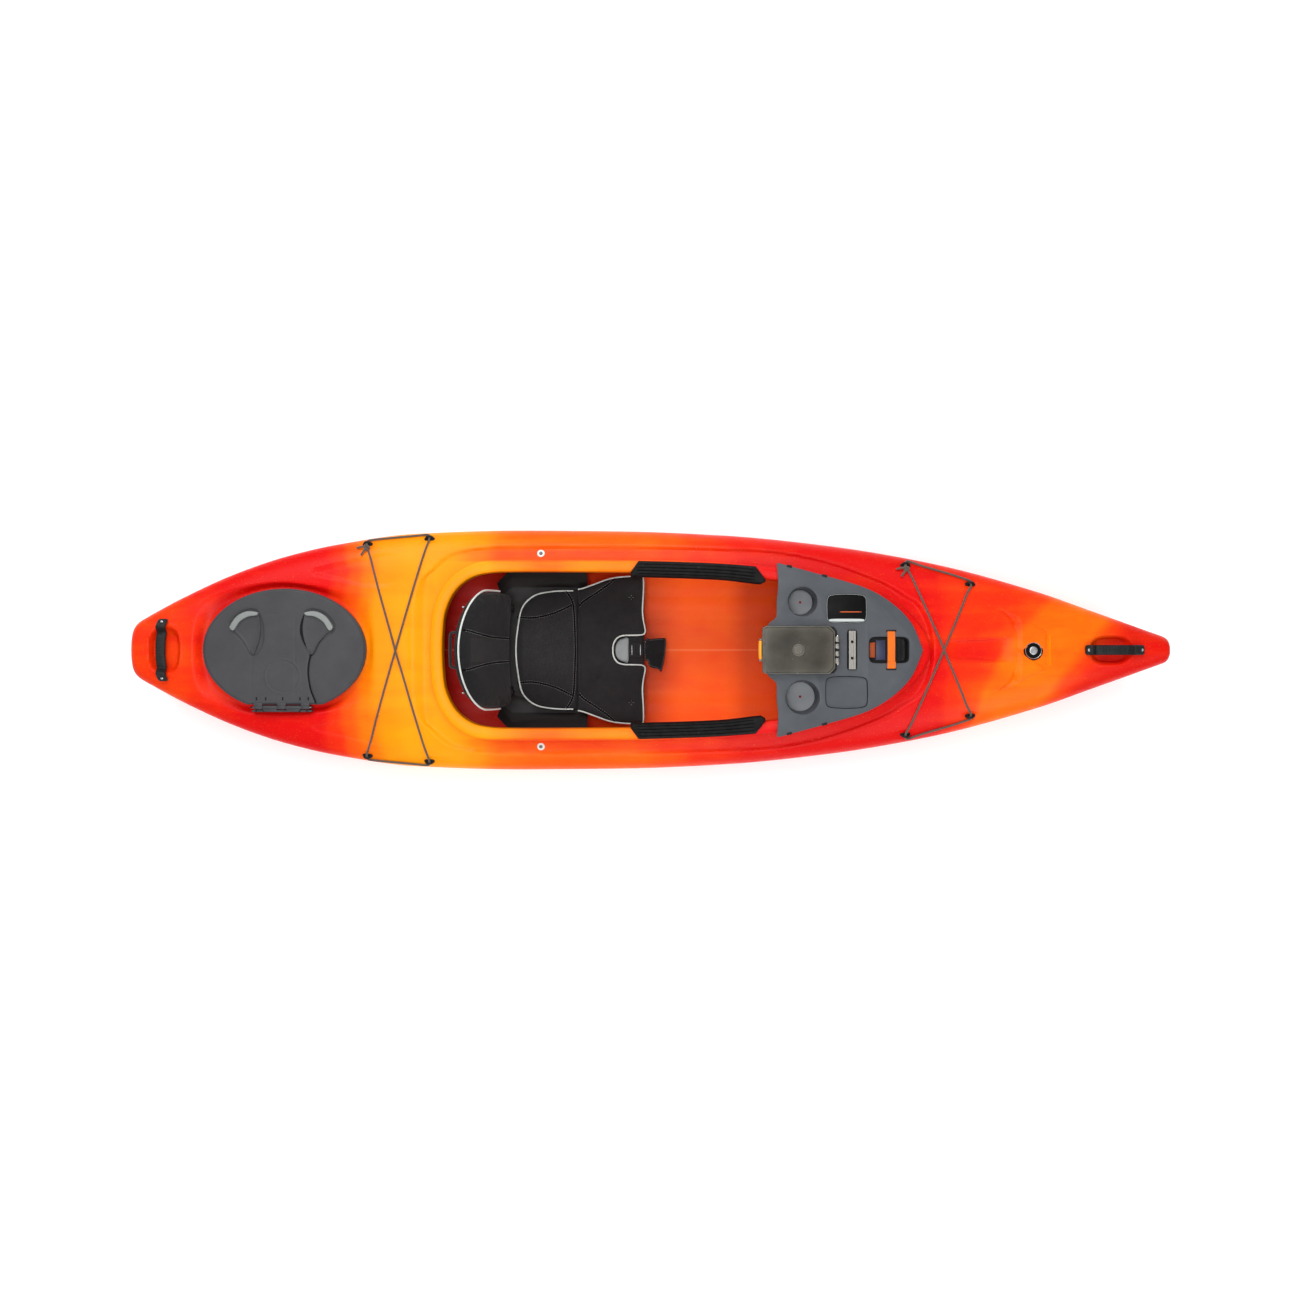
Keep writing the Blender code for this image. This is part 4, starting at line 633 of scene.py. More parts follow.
def foredeck_shade_and_highlight(s, x, y):
    """Painted shade in the foredeck's valley, which turns it slightly redder, and a painted highlight on the
    crossbar ahead of the hood, which turns it yellower.
    """
    side = s.math("ABSOLUTE", y)
    length = s.math("MULTIPLY", s.remap(x, 0.90, 1.00), s.remap(x, 1.112, 1.050))
    valley = s.math("MULTIPLY", s.remap(side, 0.042, 0.030), length)
    bar = s.math("MULTIPLY", s.remap(x, 1.2125, 1.2155), s.remap(x, 1.2295, 1.2265))
    bar = s.math("MULTIPLY", s.remap(side, 0.052, 0.046), bar)
    return s.math("SUBTRACT", s.math("MULTIPLY", valley, 0.14), s.math("MULTIPLY", bar, 0.09))


# ---- More mesh tools ----------------------------------------------------------------------------
def merged(name, pieces):
    """Several pieces as one object, with their materials kept."""
    first = pieces[0]
    with bpy.context.temp_override(active_object=first, selected_editable_objects=pieces,
                                   selected_objects=pieces):
        bpy.ops.object.join()
    first.name = name
    return first


def moved(obj, matrix):
    obj.data.transform(matrix)
    return obj


def bevelled(obj, width, segments=2, angle=35.0, smooth=40.0):
    """Rounds the sharp edges of a piece, after its flat faces are made whole again."""
    bm = bmesh.new()
    bm.from_mesh(obj.data)
    bmesh.ops.remove_doubles(bm, verts=bm.verts, dist=1e-5)
    bmesh.ops.dissolve_limit(bm, angle_limit=math.radians(1.0), verts=bm.verts, edges=bm.edges)
    bm.to_mesh(obj.data)
    bm.free()
    step = obj.modifiers.new("edges", "BEVEL")
    step.width, step.segments, step.limit_method = width, segments, "ANGLE"
    step.angle_limit = math.radians(angle)
    step.harden_normals = False
    step.miter_outer = "MITER_ARC"
    bake(obj)
    shade(obj, smooth)
    return obj


def block(name, low, high, material, bevel=0.0008, segments=2):
    """A block with rounded edges."""
    corners = [(x, y, z) for z in (low[2], high[2]) for x, y in
               ((low[0], low[1]), (high[0], low[1]), (high[0], high[1]), (low[0], high[1]))]
    faces = [(0, 3, 2, 1), (4, 5, 6, 7), (0, 1, 5, 4), (1, 2, 6, 5), (2, 3, 7, 6), (3, 0, 4, 7)]
    made = mesh_object(name, corners, faces, material)
    return bevelled(made, bevel, segments) if bevel else made


def rod(name, start, end, radius, material, sides=28, ease=0.0):
    """A round bar whose ends are eased by a small chamfer."""
    start, end = Vector(start), Vector(end)
    axis = (end - start).normalized()
    u = axis.orthogonal().normalized()
    v = axis.cross(u)
    length = (end - start).length
    levels = [(0, radius - ease), (ease, radius), (length - ease, radius), (length, radius - ease)]
    levels = levels if ease else [levels[0], levels[-1]]
    rings = [[start + axis * d + (u * math.cos(a) + v * math.sin(a)) * r for a in np.arange(sides)
              * math.tau / sides]
             for d, r in levels]
    return loft(name, rings, material, smooth=50)


def swept(name, line, profile, material, smooth=38.0):
    """A profile of (side, up) points carried along a line. Side is to the line's right."""
    line = [Vector(p) for p in line]
    up = Vector((0, 0, 1))
    rings = []
    for i, p in enumerate(line):
        tangent = (line[min(i + 1, len(line) - 1)] - line[max(i - 1, 0)]).normalized()
        side = tangent.cross(up).normalized()
        rings.append([p + side * s + up * u for s, u in profile])
    return loft(name, rings, material, smooth=smooth)


def tube(name, line, diameter, material, closed=False, sides=12, taper=None):
    """A round cord along the points, carried without twist."""
    line = [Vector(p) for p in line]
    n = len(line)
    tangents = []
    for i in range(n):
        ahead = line[(i + 1) % n] if closed else line[min(i + 1, n - 1)]
        behind = line[i - 1] if closed or i else line[0]
        tangents.append((ahead - behind).normalized())
    side = tangents[0].orthogonal().normalized()
    rings = []
    for i, (p, tangent) in enumerate(zip(line, tangents)):
        side = (side - tangent * side.dot(tangent)).normalized()
        up = tangent.cross(side)
        r = diameter / 2 * (taper(i / (n - 1)) if taper else 1)
        rings.append([p + (side * math.cos(a) + up * math.sin(a)) * r for a in np.arange(sides) * math.tau
                      / sides])
    if closed:  # turn the last rings so that they meet the first without a step
        u, v = rings[0][0] - line[0], side
        v = (v - tangents[0] * v.dot(tangents[0])).normalized()
        turn = math.atan2(tangents[0].dot(v.cross(u)), v.dot(u))
        for i in range(n):
            spin = Matrix.Rotation(turn * i / n, 3, tangents[i])
            rings[i] = [line[i] + spin @ (q - line[i]) for q in rings[i]]
    return loft(name, rings, material, closed, 60)


def finished(obj, body, slot, *nodes):
    """Ties a piece to its body and hides the CAD nodes it stands for; the slot argument is not used."""
    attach(obj, body)
    if nodes:
        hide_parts(*nodes)
    return obj


def refined(node, material, bevel, segments=2):
    """A CAD node's own shape with its edges rounded and its finish on."""
    source = frame["nodes"][node]
    made = bpy.data.objects.new(node + "_finished", source.data.copy())
    bpy.context.scene.collection.objects.link(made)
    made.data.materials.clear()
    made.data.materials.append(material)
    bevelled(made, bevel, segments)
    return finished(made, source["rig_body"], source_slot(node), node)


def source_slot(node):
    """The record's material slot of a CAD node."""
    return frame["nodes"][node].data.materials[0].name.split(".")[0]


def height_above(obj, points, start=1.0):
    """Height of the piece's upper side over each (x, y), or None where it isn't there."""
    tree = BVHTree.FromObject(obj, bpy.context.evaluated_depsgraph_get())
    found = []
    for x, y in points:
        hit = tree.ray_cast(Vector((x, y, start)), Vector((0, 0, -1)))[0]
        found.append(None if hit is None else hit.z)
    return found


# ---- Materials of the fittings ------------------------------------------------------------------
def moulded_plastic(name, colour, rough=0.5, grain=700.0, depth=0.0003, vary=0.10, level=0.35):
    """Injection-moulded plastic: a leathery grain, uneven gloss and faint scuffs."""
    s = Shader(name)
    cloud = s.noise(9.0, 4.0, 0.6)
    dark = tuple(c * (1 - vary) for c in colour[:3]) + (1.0,)
    light = tuple(min(1.0, c * (1 + vary) + 0.002) for c in colour[:3]) + (1.0,)
    base = s.mix(s.remap(cloud, 0.3, 0.7), dark, light)
    scuff = s.remap(s.noise(60.0, 5.0, 0.7, s.scaled(1.0, 4.0, 1.0), 1.2), 0.60, 0.74)
    base = s.mix(s.math("MULTIPLY", scuff, 0.18), base,
                 tuple(min(1.0, c * 1.8 + 0.02) for c in colour[:3]) + (1.0,))
    s.set(Base_Color=base, Roughness=s.remap(s.noise(25.0, 4.0, 0.6), 0.3, 0.7, rough - 0.07, rough + 0.07),
          Specular_IOR_Level=level)
    leather = s.cells(grain, feature="SMOOTH_F1")
    s.set(Normal=s.bump(leather, depth, 0.45, s.bump(s.noise(35.0, 2.0), 0.0006, 0.2)))
    return s.material


def rubber(name, colour, rough=0.75, level=0.25):
    s = Shader(name)
    base = s.mix(s.remap(s.noise(40.0, 4.0, 0.65), 0.35, 0.7), colour,
                 tuple(c * 1.7 + 0.004 for c in colour[:3]) + (1.0,))
    s.set(Base_Color=base, Roughness=s.remap(s.noise(90.0, 3.0), 0.3, 0.7, rough - 0.1, rough + 0.08),
          Specular_IOR_Level=level)
    s.set(Normal=s.bump(s.noise(520.0, 3.0, 0.6), 0.0004, 0.5))
    return s.material


def fabric(name, colour, thread=0.0016, sheen=0.35, hexes=False, level=0.2):
    """Woven polyester: crossed threads, fuzz and patchy wear, or a hexagon emboss on the seat's middle."""
    s = Shader(name)
    pitch = math.tau / thread / 6.2832
    warp = s.waves(pitch * 0.5, "X", s.scaled(1, 1, 1, turn=(0, 0, 0.02)), 0.8)
    weft = s.waves(pitch * 0.5, "Y", s.scaled(1, 1, 1, turn=(0, 0, 0.02)), 0.8)
    weave = s.math("MULTIPLY", warp, weft)
    wear = s.remap(s.noise(7.0, 5.0, 0.65), 0.35, 0.72)
    light = tuple(min(1.0, c * 1.9 + 0.006) for c in colour[:3]) + (1.0,)
    base = s.mix(s.math("MULTIPLY", wear, 0.5), colour, light)
    base = s.mix(s.math("MULTIPLY", weave, 0.35), base, light)
    height = s.bump(weave, 0.0006, 0.5, s.bump(s.noise(30.0, 3.0, 0.6), 0.003, 0.35))
    if hexes:
        cell = s.cells(95.0, s.scaled(1.0, 1.0, 0.0), "DISTANCE_TO_EDGE")
        edge = s.remap(cell, 0.0, 0.12, 0.0, 1.0)
        base = s.mix(s.math("MULTIPLY", s.math("SUBTRACT", 1.0, edge), 0.4), base, light)
        height = s.bump(edge, 0.0015, 0.6, height)
    s.set(Base_Color=base, Roughness=s.remap(s.noise(50.0, 3.0), 0.3, 0.7, 0.78, 0.92),
          Specular_IOR_Level=level,
          Sheen_Weight=sheen, Sheen_Roughness=0.45, Normal=height)
    return s.material


def webbing(name, colour, across="Y", rib=0.0022):
    """Flat woven strap: ribs along its length with a diagonal twill."""
    s = Shader(name)
    ribs = s.waves(1.0 / rib / 2, across)
    twill = s.waves(1.0 / rib / 3, "DIAGONAL")
    light = tuple(min(1.0, c * 1.5 + 0.01) for c in colour[:3]) + (1.0,)
    base = s.mix(s.math("MULTIPLY", ribs, 0.5), colour, light)
    base = s.mix(s.math("MULTIPLY", s.remap(s.noise(30.0, 3.0), 0.4, 0.7), 0.3), base,
                 tuple(c * 0.6 for c in colour[:3]) + (1.0,))
    s.set(Base_Color=base, Roughness=0.85, Specular_IOR_Level=0.2, Sheen_Weight=0.3, Sheen_Roughness=0.5)
    s.set(Normal=s.bump(ribs, 0.0006, 0.7, s.bump(twill, 0.0003, 0.5)))
    return s.material


def braided_cord(name, colour, fleck):
    """Bungee sheath: two crossed sets of strands with a light fleck."""
    s = Shader(name)
    one = s.waves(150.0, "DIAGONAL")
    two = s.waves(150.0, "DIAGONAL", s.scaled(-1, 1, 1))
    weave = s.math("MAXIMUM", one, two)
    base = s.mix(s.math("MULTIPLY", weave, 0.55), colour, fleck)
    s.set(Base_Color=base, Roughness=0.8, Specular_IOR_Level=0.2, Sheen_Weight=0.3, Sheen_Roughness=0.5)
    s.set(Normal=s.bump(weave, 0.0006, 0.7))
    return s.material


def metal(name, colour, rough=0.3, brushed=False):
    s = Shader(name)
    line = s.noise(120.0, 4.0, 0.6, s.scaled(1.0, 14.0, 1.0) if brushed else None)
    base = s.mix(s.remap(line, 0.3, 0.7), tuple(c * 0.82 for c in colour[:3]) + (1.0,), colour)
    s.set(Base_Color=base, Metallic=1.0, Roughness=s.remap(line, 0.3, 0.7, rough - 0.08, rough + 0.10))
    s.set(Normal=s.bump(line, 0.0002, 0.3))
    return s.material


def closed_foam(name, colour):
    """Cut polyethylene foam: open cells and saw marks."""
    s = Shader(name)
    cells = s.cells(330.0, feature="F1")
    base = s.mix(s.math("MULTIPLY", cells, 0.8), colour, tuple(c * 2.0 + 0.01 for c in colour[:3]) + (1.0,))
    s.set(Base_Color=base, Roughness=0.95, Specular_IOR_Level=0.1)
    s.set(Normal=s.bump(cells, 0.0008, 0.6, s.bump(s.noise(18.0, 3.0), 0.002, 0.3)))
    return s.material


def smoke_plastic(name):
    """Smoke-tinted polycarbonate over a dark box: darker in its middle, paler toward its corners."""
    s = Shader(name)
    x, y, _ = s.split()
    far = s.math("ADD", s.math("POWER", s.math("ABSOLUTE",
                                               s.math("DIVIDE", s.math("SUBTRACT", x, 0.456), 0.104)), 6.0),
                 s.math("POWER", s.math("ABSOLUTE", s.math("DIVIDE", y, 0.070)), 6.0))
    cloud = s.math("ADD", s.remap(s.noise(12.0, 3.0), 0.3, 0.7, 0.0, 0.35), s.math("MULTIPLY", far, 0.55),
                   clamp=True)
    s.set(Base_Color=s.mix(cloud, srgb(56, 52, 45), srgb(108, 104, 94)),
          Roughness=s.remap(s.noise(40.0, 3.0), 0.3, 0.7, 0.18, 0.28),
          Specular_IOR_Level=0.25, Transmission_Weight=0.25, IOR=1.5)
    s.set(Normal=s.bump(s.noise(9.0, 2.0), 0.003, 0.12))
    return s.material


HULL = hull_plastic("hull_plastic_swirl")
HULL_INSIDE = hull_plastic("hull_plastic_inside", inside=True)
LID = moulded_plastic("hatch_plastic_grained", srgb(60, 60, 63), 0.50, level=0.25)
GRIP = moulded_plastic("grip_plastic", srgb(128, 132, 130), 0.42)
PANEL = moulded_plastic("console_plastic_grained", srgb(72, 75, 80), 0.48, level=0.25)
BLACK = moulded_plastic("black_plastic_grained", srgb(24, 23, 24), 0.50, vary=0.15, level=0.2)
SEAT_SHELL = moulded_plastic("seat_plastic_grained", srgb(35, 31, 31), 0.48, vary=0.15, level=0.2)
AMBER_PLASTIC = moulded_plastic("latch_plastic", srgb(236, 158, 40), 0.40)
HANDLE_RUBBER = rubber("handle_rubber", srgb(20, 20, 21), 0.6)
SEAL_RUBBER = rubber("seal_rubber", srgb(24, 24, 24))
PAD_FOAM = rubber("thigh_pad_foam", srgb(11, 10, 10), 0.62, 0.13)
# painted light: a far paler grey than the console plastic, for the cup floors, as if lit straight from above
LIT_CUP_FLOOR = moulded_plastic("console_plastic_painted_light", srgb(158, 161, 165), 0.48)
COVER = fabric("seat_fabric_woven", srgb(29, 28, 29), sheen=0.08)
COVER_HEX = fabric("seat_fabric_hexagon", srgb(33, 32, 33), sheen=0.08, hexes=True)
COVER_SMOOTH = fabric("seat_fabric_smooth", srgb(15, 15, 17), 0.0012, 0.08, level=0.22)
SEAM = fabric("seam_welt", srgb(5, 5, 5), 0.0010, 0.02, level=0.05)
PIPING = fabric("piping_fabric", srgb(188, 194, 188), 0.0012, 0.3)
THREAD = fabric("stitching_thread", srgb(112, 112, 112), 0.0008, 0.2)
GREY_CLOTH = fabric("grey_cloth", srgb(128, 132, 132), 0.0014, 0.3)
STRAP_BLACK = webbing("webbing_black", srgb(26, 25, 26))
STRAP_ORANGE = webbing("webbing_orange", srgb(236, 108, 14), "X")
CORD = braided_cord("bungee_braid", srgb(64, 52, 46), srgb(118, 104, 92))
STEEL = metal("steel_brushed", (0.62, 0.62, 0.64, 1))
DULL_STEEL = metal("steel_dull", (0.20, 0.20, 0.21, 1), 0.42)
ALUMINIUM = metal("aluminium_anodised", (0.36, 0.345, 0.32, 1), 0.42, True)
WASHER = moulded_plastic("washer_nylon", srgb(232, 230, 224), 0.4)
FOAM_GREY = closed_foam("bulkhead_foam", srgb(52, 52, 54))
SMOKE = smoke_plastic("smoke_polycarbonate")
GLOSS_BLACK = moulded_plastic("black_plastic_gloss", srgb(7, 7, 8), 0.42, grain=300.0, depth=0.00005,
                              level=0.08)
PALE_PRINT = moulded_plastic("pale_film", srgb(188, 194, 192), 0.35)
ORANGE_PRINT = moulded_plastic("orange_film", srgb(214, 92, 34), 0.4)
BLUE_GREY = moulded_plastic("blue_grey_film", srgb(70, 74, 104), 0.4)
DRAIN_RED = rubber("drain_plug", srgb(150, 30, 44), 0.6)
# flat black that stands for shade: painted shadow in the lid's crease, hinge slots and latch well, and round
# the tray pocket
PAINTED_SHADOW_BLACK = moulded_plastic("painted_shadow_plastic", srgb(18, 18, 19), 0.6, level=0.1)
SMOKE_RIM = moulded_plastic("smoke_boss_plastic", srgb(92, 88, 80), 0.25, grain=400.0, depth=0.0001)


# ---- Shell --------------------------------------------------------------------------------------
def build_hull():
    outer, inner = skin_points(0.0), skin_points(WALL)
    (rows, count), (rows_in, count_in) = outer.shape[:2], inner.shape[:2]
    faces = ring_faces(rows, count)
    faces += [tuple(range(count))[::-1], tuple(range((rows - 1) * count, rows * count))]
    first = rows * count
    inside = [tuple(first + i for i in f) for f in ring_faces(rows_in, count_in, flip=True)]
    inside += [tuple(range(first, first + count_in)),
               tuple(range(first + (rows_in - 1) * count_in, first + rows_in * count_in))[::-1]]
    hull = mesh_object("hull", np.vstack([outer.reshape(-1, 3), inner.reshape(-1, 3)]), faces + inside,
                       [HULL, HULL_INSIDE])
    index = np.zeros(len(faces) + len(inside), np.int32)
    index[len(faces):] = 1
    hull.data.polygons.foreach_set("material_index", index)
    line, normal = coaming_line(420)
    combine(hull, prism("cockpit", line + normal * -0.0165, 0.15, 0.60, HULL), "DIFFERENCE")
    combine(hull, coaming_ring(line, normal), "UNION")
    combine(hull, prism("rim", hatch_outline(HATCH_MOUTH, 160, 0.005), 0.232, RIM_TOP, HULL), "UNION")
    combine(hull, prism("mouth", hatch_outline(HATCH_MOUTH, 160), 0.20, 0.40, HULL), "DIFFERENCE")
    shade(hull, 34)
    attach(hull, "hull")
    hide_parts("hull_shell")
    return hull


def coaming_ring(line, normal):
    """The upstanding riser round the cockpit and the rounded lip that turns outward from its top."""
    w, t = LIP_HALF_WIDTH, LIP_THICK
    profile = ((-w, -RISER), (-w, -0.0100), (-w + 0.0003, -0.0058), (-w + 0.0016, -0.0030),
               (-w + 0.0040, -0.0012),
               (-0.5 * w, -0.0002), (0.0, 0.0004), (0.4 * w, 0.0005), (0.72 * w, -0.0004),
               (0.90 * w, -0.0018),
               (0.98 * w, -0.0036), (w, -0.0056), (0.97 * w, -0.0074), (0.88 * w, -0.0086),
               (0.5 * w, -0.0080),
               (-w + t + 0.006, -0.0072), (-w + t + 0.002, -0.0088), (-w + t, -0.0130), (-w + t, -RISER))
    rings = []
    for (x, y), (nx, ny) in zip(line, normal):
        z = float(along(LIP_HEIGHT, x))
        rings.append([(x + nx * s, y + ny * s, z + u) for s, u in profile])
    return loft("coaming_ring", rings, HULL, closed=True)


# ---- Stern hatch --------------------------------------------------------------------------------
LID_TOP, LID_UNDER, LID_SKIRT = 0.289, 0.281, 0.2695
HATCH_AXIS = Vector((-1.120, -0.176, 0.285))
LATCH_PIVOTS = {"aft": -1.209, "forward": -1.028}
LATCH_Y = -0.003
LATCH_PLATE = ((0.004, -0.010), (0.013, 0.008), (0.022, 0.036), (0.0265, 0.066), (0.0240, 0.092),
               (0.0150, 0.120), (-0.018, 0.121),
               (-0.046, 0.106), (-0.066, 0.078), (-0.062, 0.069), (-0.044, 0.050), (-0.022, 0.024),
               (-0.008, -0.004))
LATCH_GRIP = ((0.016, 0.119), (-0.016, 0.121), (-0.046, 0.106), (-0.066, 0.078), (-0.0655, 0.068),
              (-0.058, 0.0625),
              (-0.0515, 0.067), (-0.036, 0.090), (-0.012, 0.1045), (0.012, 0.1085), (0.019, 0.113))
LATCH_WELL = ((0.008, -0.016), (0.030, 0.012), (0.036, 0.050), (0.032, 0.090), (0.014, 0.126),
              (-0.018, 0.128),
              (-0.050, 0.112), (-0.073, 0.080), (-0.066, 0.058), (-0.048, 0.042), (-0.026, 0.024),
              (-0.010, -0.010))
CREASE = ((-1.0290, -0.010), (-1.0365, -0.045), (-1.0375, -0.080), (-1.0300, -0.122), (-1.0185, -0.152),
          (-1.0150, -0.164))
HINGE_SLOTS = (-1.1965, -1.1680, -1.1160, -1.0630, -1.0375)
WELL_SHADOW = ((0.003, -0.006), (0.014, 0.008), (0.027, 0.030), (0.0355, 0.060), (0.034, 0.088),
               (0.020, 0.117), (0.0145, 0.117),
               (0.0240, 0.090), (0.0265, 0.064), (0.0225, 0.043), (0.013, 0.022))
LID_RING = (-1.1170, -0.0815, 0.0530)  # plain moulded ring: centre and radius


def latch_outline(points, side, per_span=5):
    at, mirror = LATCH_PIVOTS[side], (1 if side == "aft" else -1)
    line = through(points, per_span, closed=True)
    return np.stack([at + mirror * line[:, 0], LATCH_Y + line[:, 1]], axis=1)


def lid_relief(x, y):
    """Moulded detail of the lid: wells round the latches, a crease, a plain ring and an eased edge."""
    z = np.zeros(len(x))
    for side in LATCH_PIVOTS:
        z -= 0.0020 * step_in(latch_outline(LATCH_WELL, side), 0.0022, x, y)
    d = np.full(len(x), np.inf)
    line = through(CREASE, 8)
    for px, py in line:
        d = np.minimum(d, np.hypot(x - px, y - py))
    z -= 0.0026 * np.exp(-(d / 0.0030) ** 2)
    rx, ry, radius = LID_RING
    z += 0.0009 * np.exp(-((np.hypot(x - rx, y - ry) - radius) / 0.0024) ** 2)
    z += 0.0006 * ramp((radius - 0.006 - np.hypot(x - rx, y - ry)) / 0.003)
    for at in (-1.211, -1.078):
        z -= 0.0006 * np.exp(-((x - at) / 0.0016) ** 2) * ramp((y + 0.155) / 0.01) * ramp((0.104 - y)
                / 0.006)
    z -= 0.0006 * np.exp(-((y - 0.1105) / 0.0016) ** 2) * ramp((x + 1.166) / 0.01) * ramp((-1.068 - x)
            / 0.01)
    return z


def build_hatch():
    count, levels = 300, 84
    edge = hatch_outline(HATCH_LID, count)
    inner = hatch_outline(HATCH_LID, count, -0.005)
    centre = np.array((HATCH_X, 0.010))
    share = np.concatenate([np.linspace(0.02, 0.93, levels - 12), np.linspace(0.936, 1.0, 12)])
    rings = []
    for s in share:
        flat = centre + (edge - centre) * s
        drop = -0.0045 * ramp((s - 0.952) / 0.048) ** 2
        rings.append(np.column_stack([flat, LID_TOP - 0.0002 + lid_relief(flat[:, 0], flat[:, 1]) + drop]))
    rings.append(np.column_stack([centre + (edge - centre) * 1.001, np.full(count, LID_TOP - 0.0072)]))
    rings.append(np.column_stack([edge, np.full(count, LID_SKIRT)]))
    rings.append(np.column_stack([inner, np.full(count, LID_SKIRT)]))
    rings.append(np.column_stack([inner, np.full(count, LID_UNDER)]))
    for s in (0.72, 0.44, 0.16):
        rings.append(np.column_stack([centre + (inner - centre) * s, np.full(count, LID_UNDER)]))
    lid = loft("hatch_lid_moulded", rings, LID)
    x, y, z = HATCH_AXIS
    extras = []
    for offset in (-0.072, 0.0, 0.072):
        aft, fore = x + offset - 0.013, x + offset + 0.013
        extras.append(block("lug", (aft, y + 0.001, z - 0.004), (fore, y + 0.016, z + 0.0032), LID, 0.001))
        extras.append(rod("barrel", (aft, y, z), (fore, y, z), 0.006, LID, 28, ease=0.0008))
    for k in range(-2, 3):
        half = 0.150 * math.sqrt(1 - (k * 0.3) ** 2) - 0.012
        extras.append(block("rib", (HATCH_X + k * 0.066 - 0.0015, -half + 0.02, LID_UNDER - 0.0045),
                            (HATCH_X + k * 0.066 + 0.0015, half, LID_UNDER + 0.001), LID, 0.0005))
    # painted shadow: a flat black cord in the crease and black marks in the hinge slots
    line = [(px, py, LID_TOP - 0.0022) for px, py in through(CREASE, 8)]
    extras.append(tube("crease", line, 0.0056, PAINTED_SHADOW_BLACK, sides=14))
    extras += [block("slot", (at - 0.0021, -0.1545, LID_TOP - 0.002),
                     (at + 0.0021, -0.1445, LID_TOP + 0.0002), PAINTED_SHADOW_BLACK, 0.0)
               for at in HINGE_SLOTS]
    # painted shadow in the forward latch's well
    extras.append(prism("well_shadow", latch_outline(WELL_SHADOW, "forward"), LID_TOP - 0.004,
                        LID_TOP - 0.0004, PAINTED_SHADOW_BLACK))
    lid = merged("hatch_lid_moulded", [lid] + extras)
    finished(lid, "stern_hatch", "hatch_plastic", "hatch_lid")
    for side in LATCH_PIVOTS:
        build_latch(side)
    refined("hatch_hinge_leaf", LID, 0.0010)
    pin = rod("hatch_hinge_pin_steel", (x - 0.094, y, z), (x + 0.094, y, z), 0.0026, DULL_STEEL, 20,
              ease=0.0008)
    for offset in (-0.0935, 0.0935):
        head = rod("pin_head", (x + offset - 0.0018, y, z), (x + offset + 0.0018, y, z), 0.0040, BLACK, 24,
                   ease=0.0007)
        pin = merged("hatch_hinge_pin_steel", [pin, head])
    finished(pin, "hull", "steel", "hatch_hinge_pin")
    for offset in (-0.078, -0.055, 0.055, 0.078):
        screw = screw_head("hinge_screw", 0.0026, BLACK)
        moved(screw, Matrix.Translation((x + offset, y - 0.0118, z + 0.0013)))
        finished(screw, "hull", "steel")
        screw.name = f"hinge_screw_{int(1000 * (offset + 0.1)):03d}"
    ring = [(0.0003, RIM_TOP + 0.0003), (0.0052, RIM_TOP + 0.0003), (0.0052, RIM_TOP + 0.0030),
            (0.0040, RIM_TOP + 0.0045),
            (0.0015, RIM_TOP + 0.0045), (0.0003, RIM_TOP + 0.0030)]
    rings = [np.column_stack([hatch_outline(HATCH_MOUTH, 160, grow), np.full(160, z)]) for grow, z in ring]
    gasket = loft("hatch_gasket_rubber", np.array(rings).transpose(1, 0, 2), SEAL_RUBBER, closed=True)
    finished(gasket, "hull", "rubber", "hatch_gasket")


def build_latch(side):
    """A sector plate with a pale crescent grip, on a shaft through the lid with a cam under it."""
    at = LATCH_PIVOTS[side]
    low = LID_TOP + 0.0003
    edge = latch_outline(LATCH_PLATE, side)
    centre = edge.mean(axis=0)
    levels = ((1.0, 0.0), (1.0, 0.0028), (0.985, 0.0037), (0.965, 0.0040), (0.93, 0.0036), (0.60, 0.0034),
              (0.20, 0.0034))
    plate = loft("plate", [np.column_stack([centre + (edge - centre) * s, np.full(len(edge), low + u)])
                           for s, u in levels], LID)
    edge = latch_outline(LATCH_GRIP, side)
    middle = latch_outline(tuple((u * 0.5 + v * 0.5, w * 0.5 + t * 0.5) for (u, w), (v, t) in
                                 zip(LATCH_GRIP, grip_spine())), side)
    rings = [np.column_stack([edge + (middle - edge) * s, np.full(len(edge), low + u)])
             for s, u in ((0, 0.001), (0, 0.0080), (0.10, 0.0102), (0.30, 0.0115), (0.62, 0.0119),
                          (0.95, 0.0120))]
    grip = loft("grip", rings, GRIP, smooth=50)
    shaft = rod("shaft", (at, LATCH_Y, 0.2715), (at, LATCH_Y, low + 0.0046), 0.006, LID, 28, ease=0.0008)
    cam = block("cam", (at - 0.011, LATCH_Y - 0.011, 0.272), (at + 0.011, LATCH_Y + 0.055, 0.277), BLACK,
                0.0015)
    latch = merged(f"hatch_latch_{side}_moulded", [plate, grip, shaft, cam])
    finished(latch, f"latch_{side}", "dark_plastic", f"hatch_latch_{side}")


def grip_spine():
    """The crescent's own middle line, as many points as its outline."""
    return ((0.013, 0.1143), (-0.015, 0.1130), (-0.041, 0.0980), (-0.0585, 0.0740), (-0.0595, 0.0690),
            (-0.0585, 0.0690),
            (-0.0575, 0.0715), (-0.041, 0.0975), (-0.014, 0.1126), (0.010, 0.1140), (0.014, 0.1142))


def screw_head(name, radius, material=None, height=None):
    """A pan head with a cross recess, standing on the origin."""
    material = material or STEEL
    height = height or 0.55 * radius
    levels = ((1.0, 0.0), (1.0, 0.35 * height), (0.93, 0.70 * height), (0.76, 0.92 * height),
              (0.45, height), (0.02, height))
    sides = 32
    rings = []
    for share, z in levels:
        ring = []
        for a in np.arange(sides) * math.tau / sides:
            arm = max(abs(math.cos(2 * a)), 0.0) ** 12
            dip = 0.45 * height * arm * (share < 0.6)
            ring.append((radius * share * math.cos(a), radius * share * math.sin(a), z - dip))
        rings.append(ring)
    return loft(name, rings, material, smooth=60)


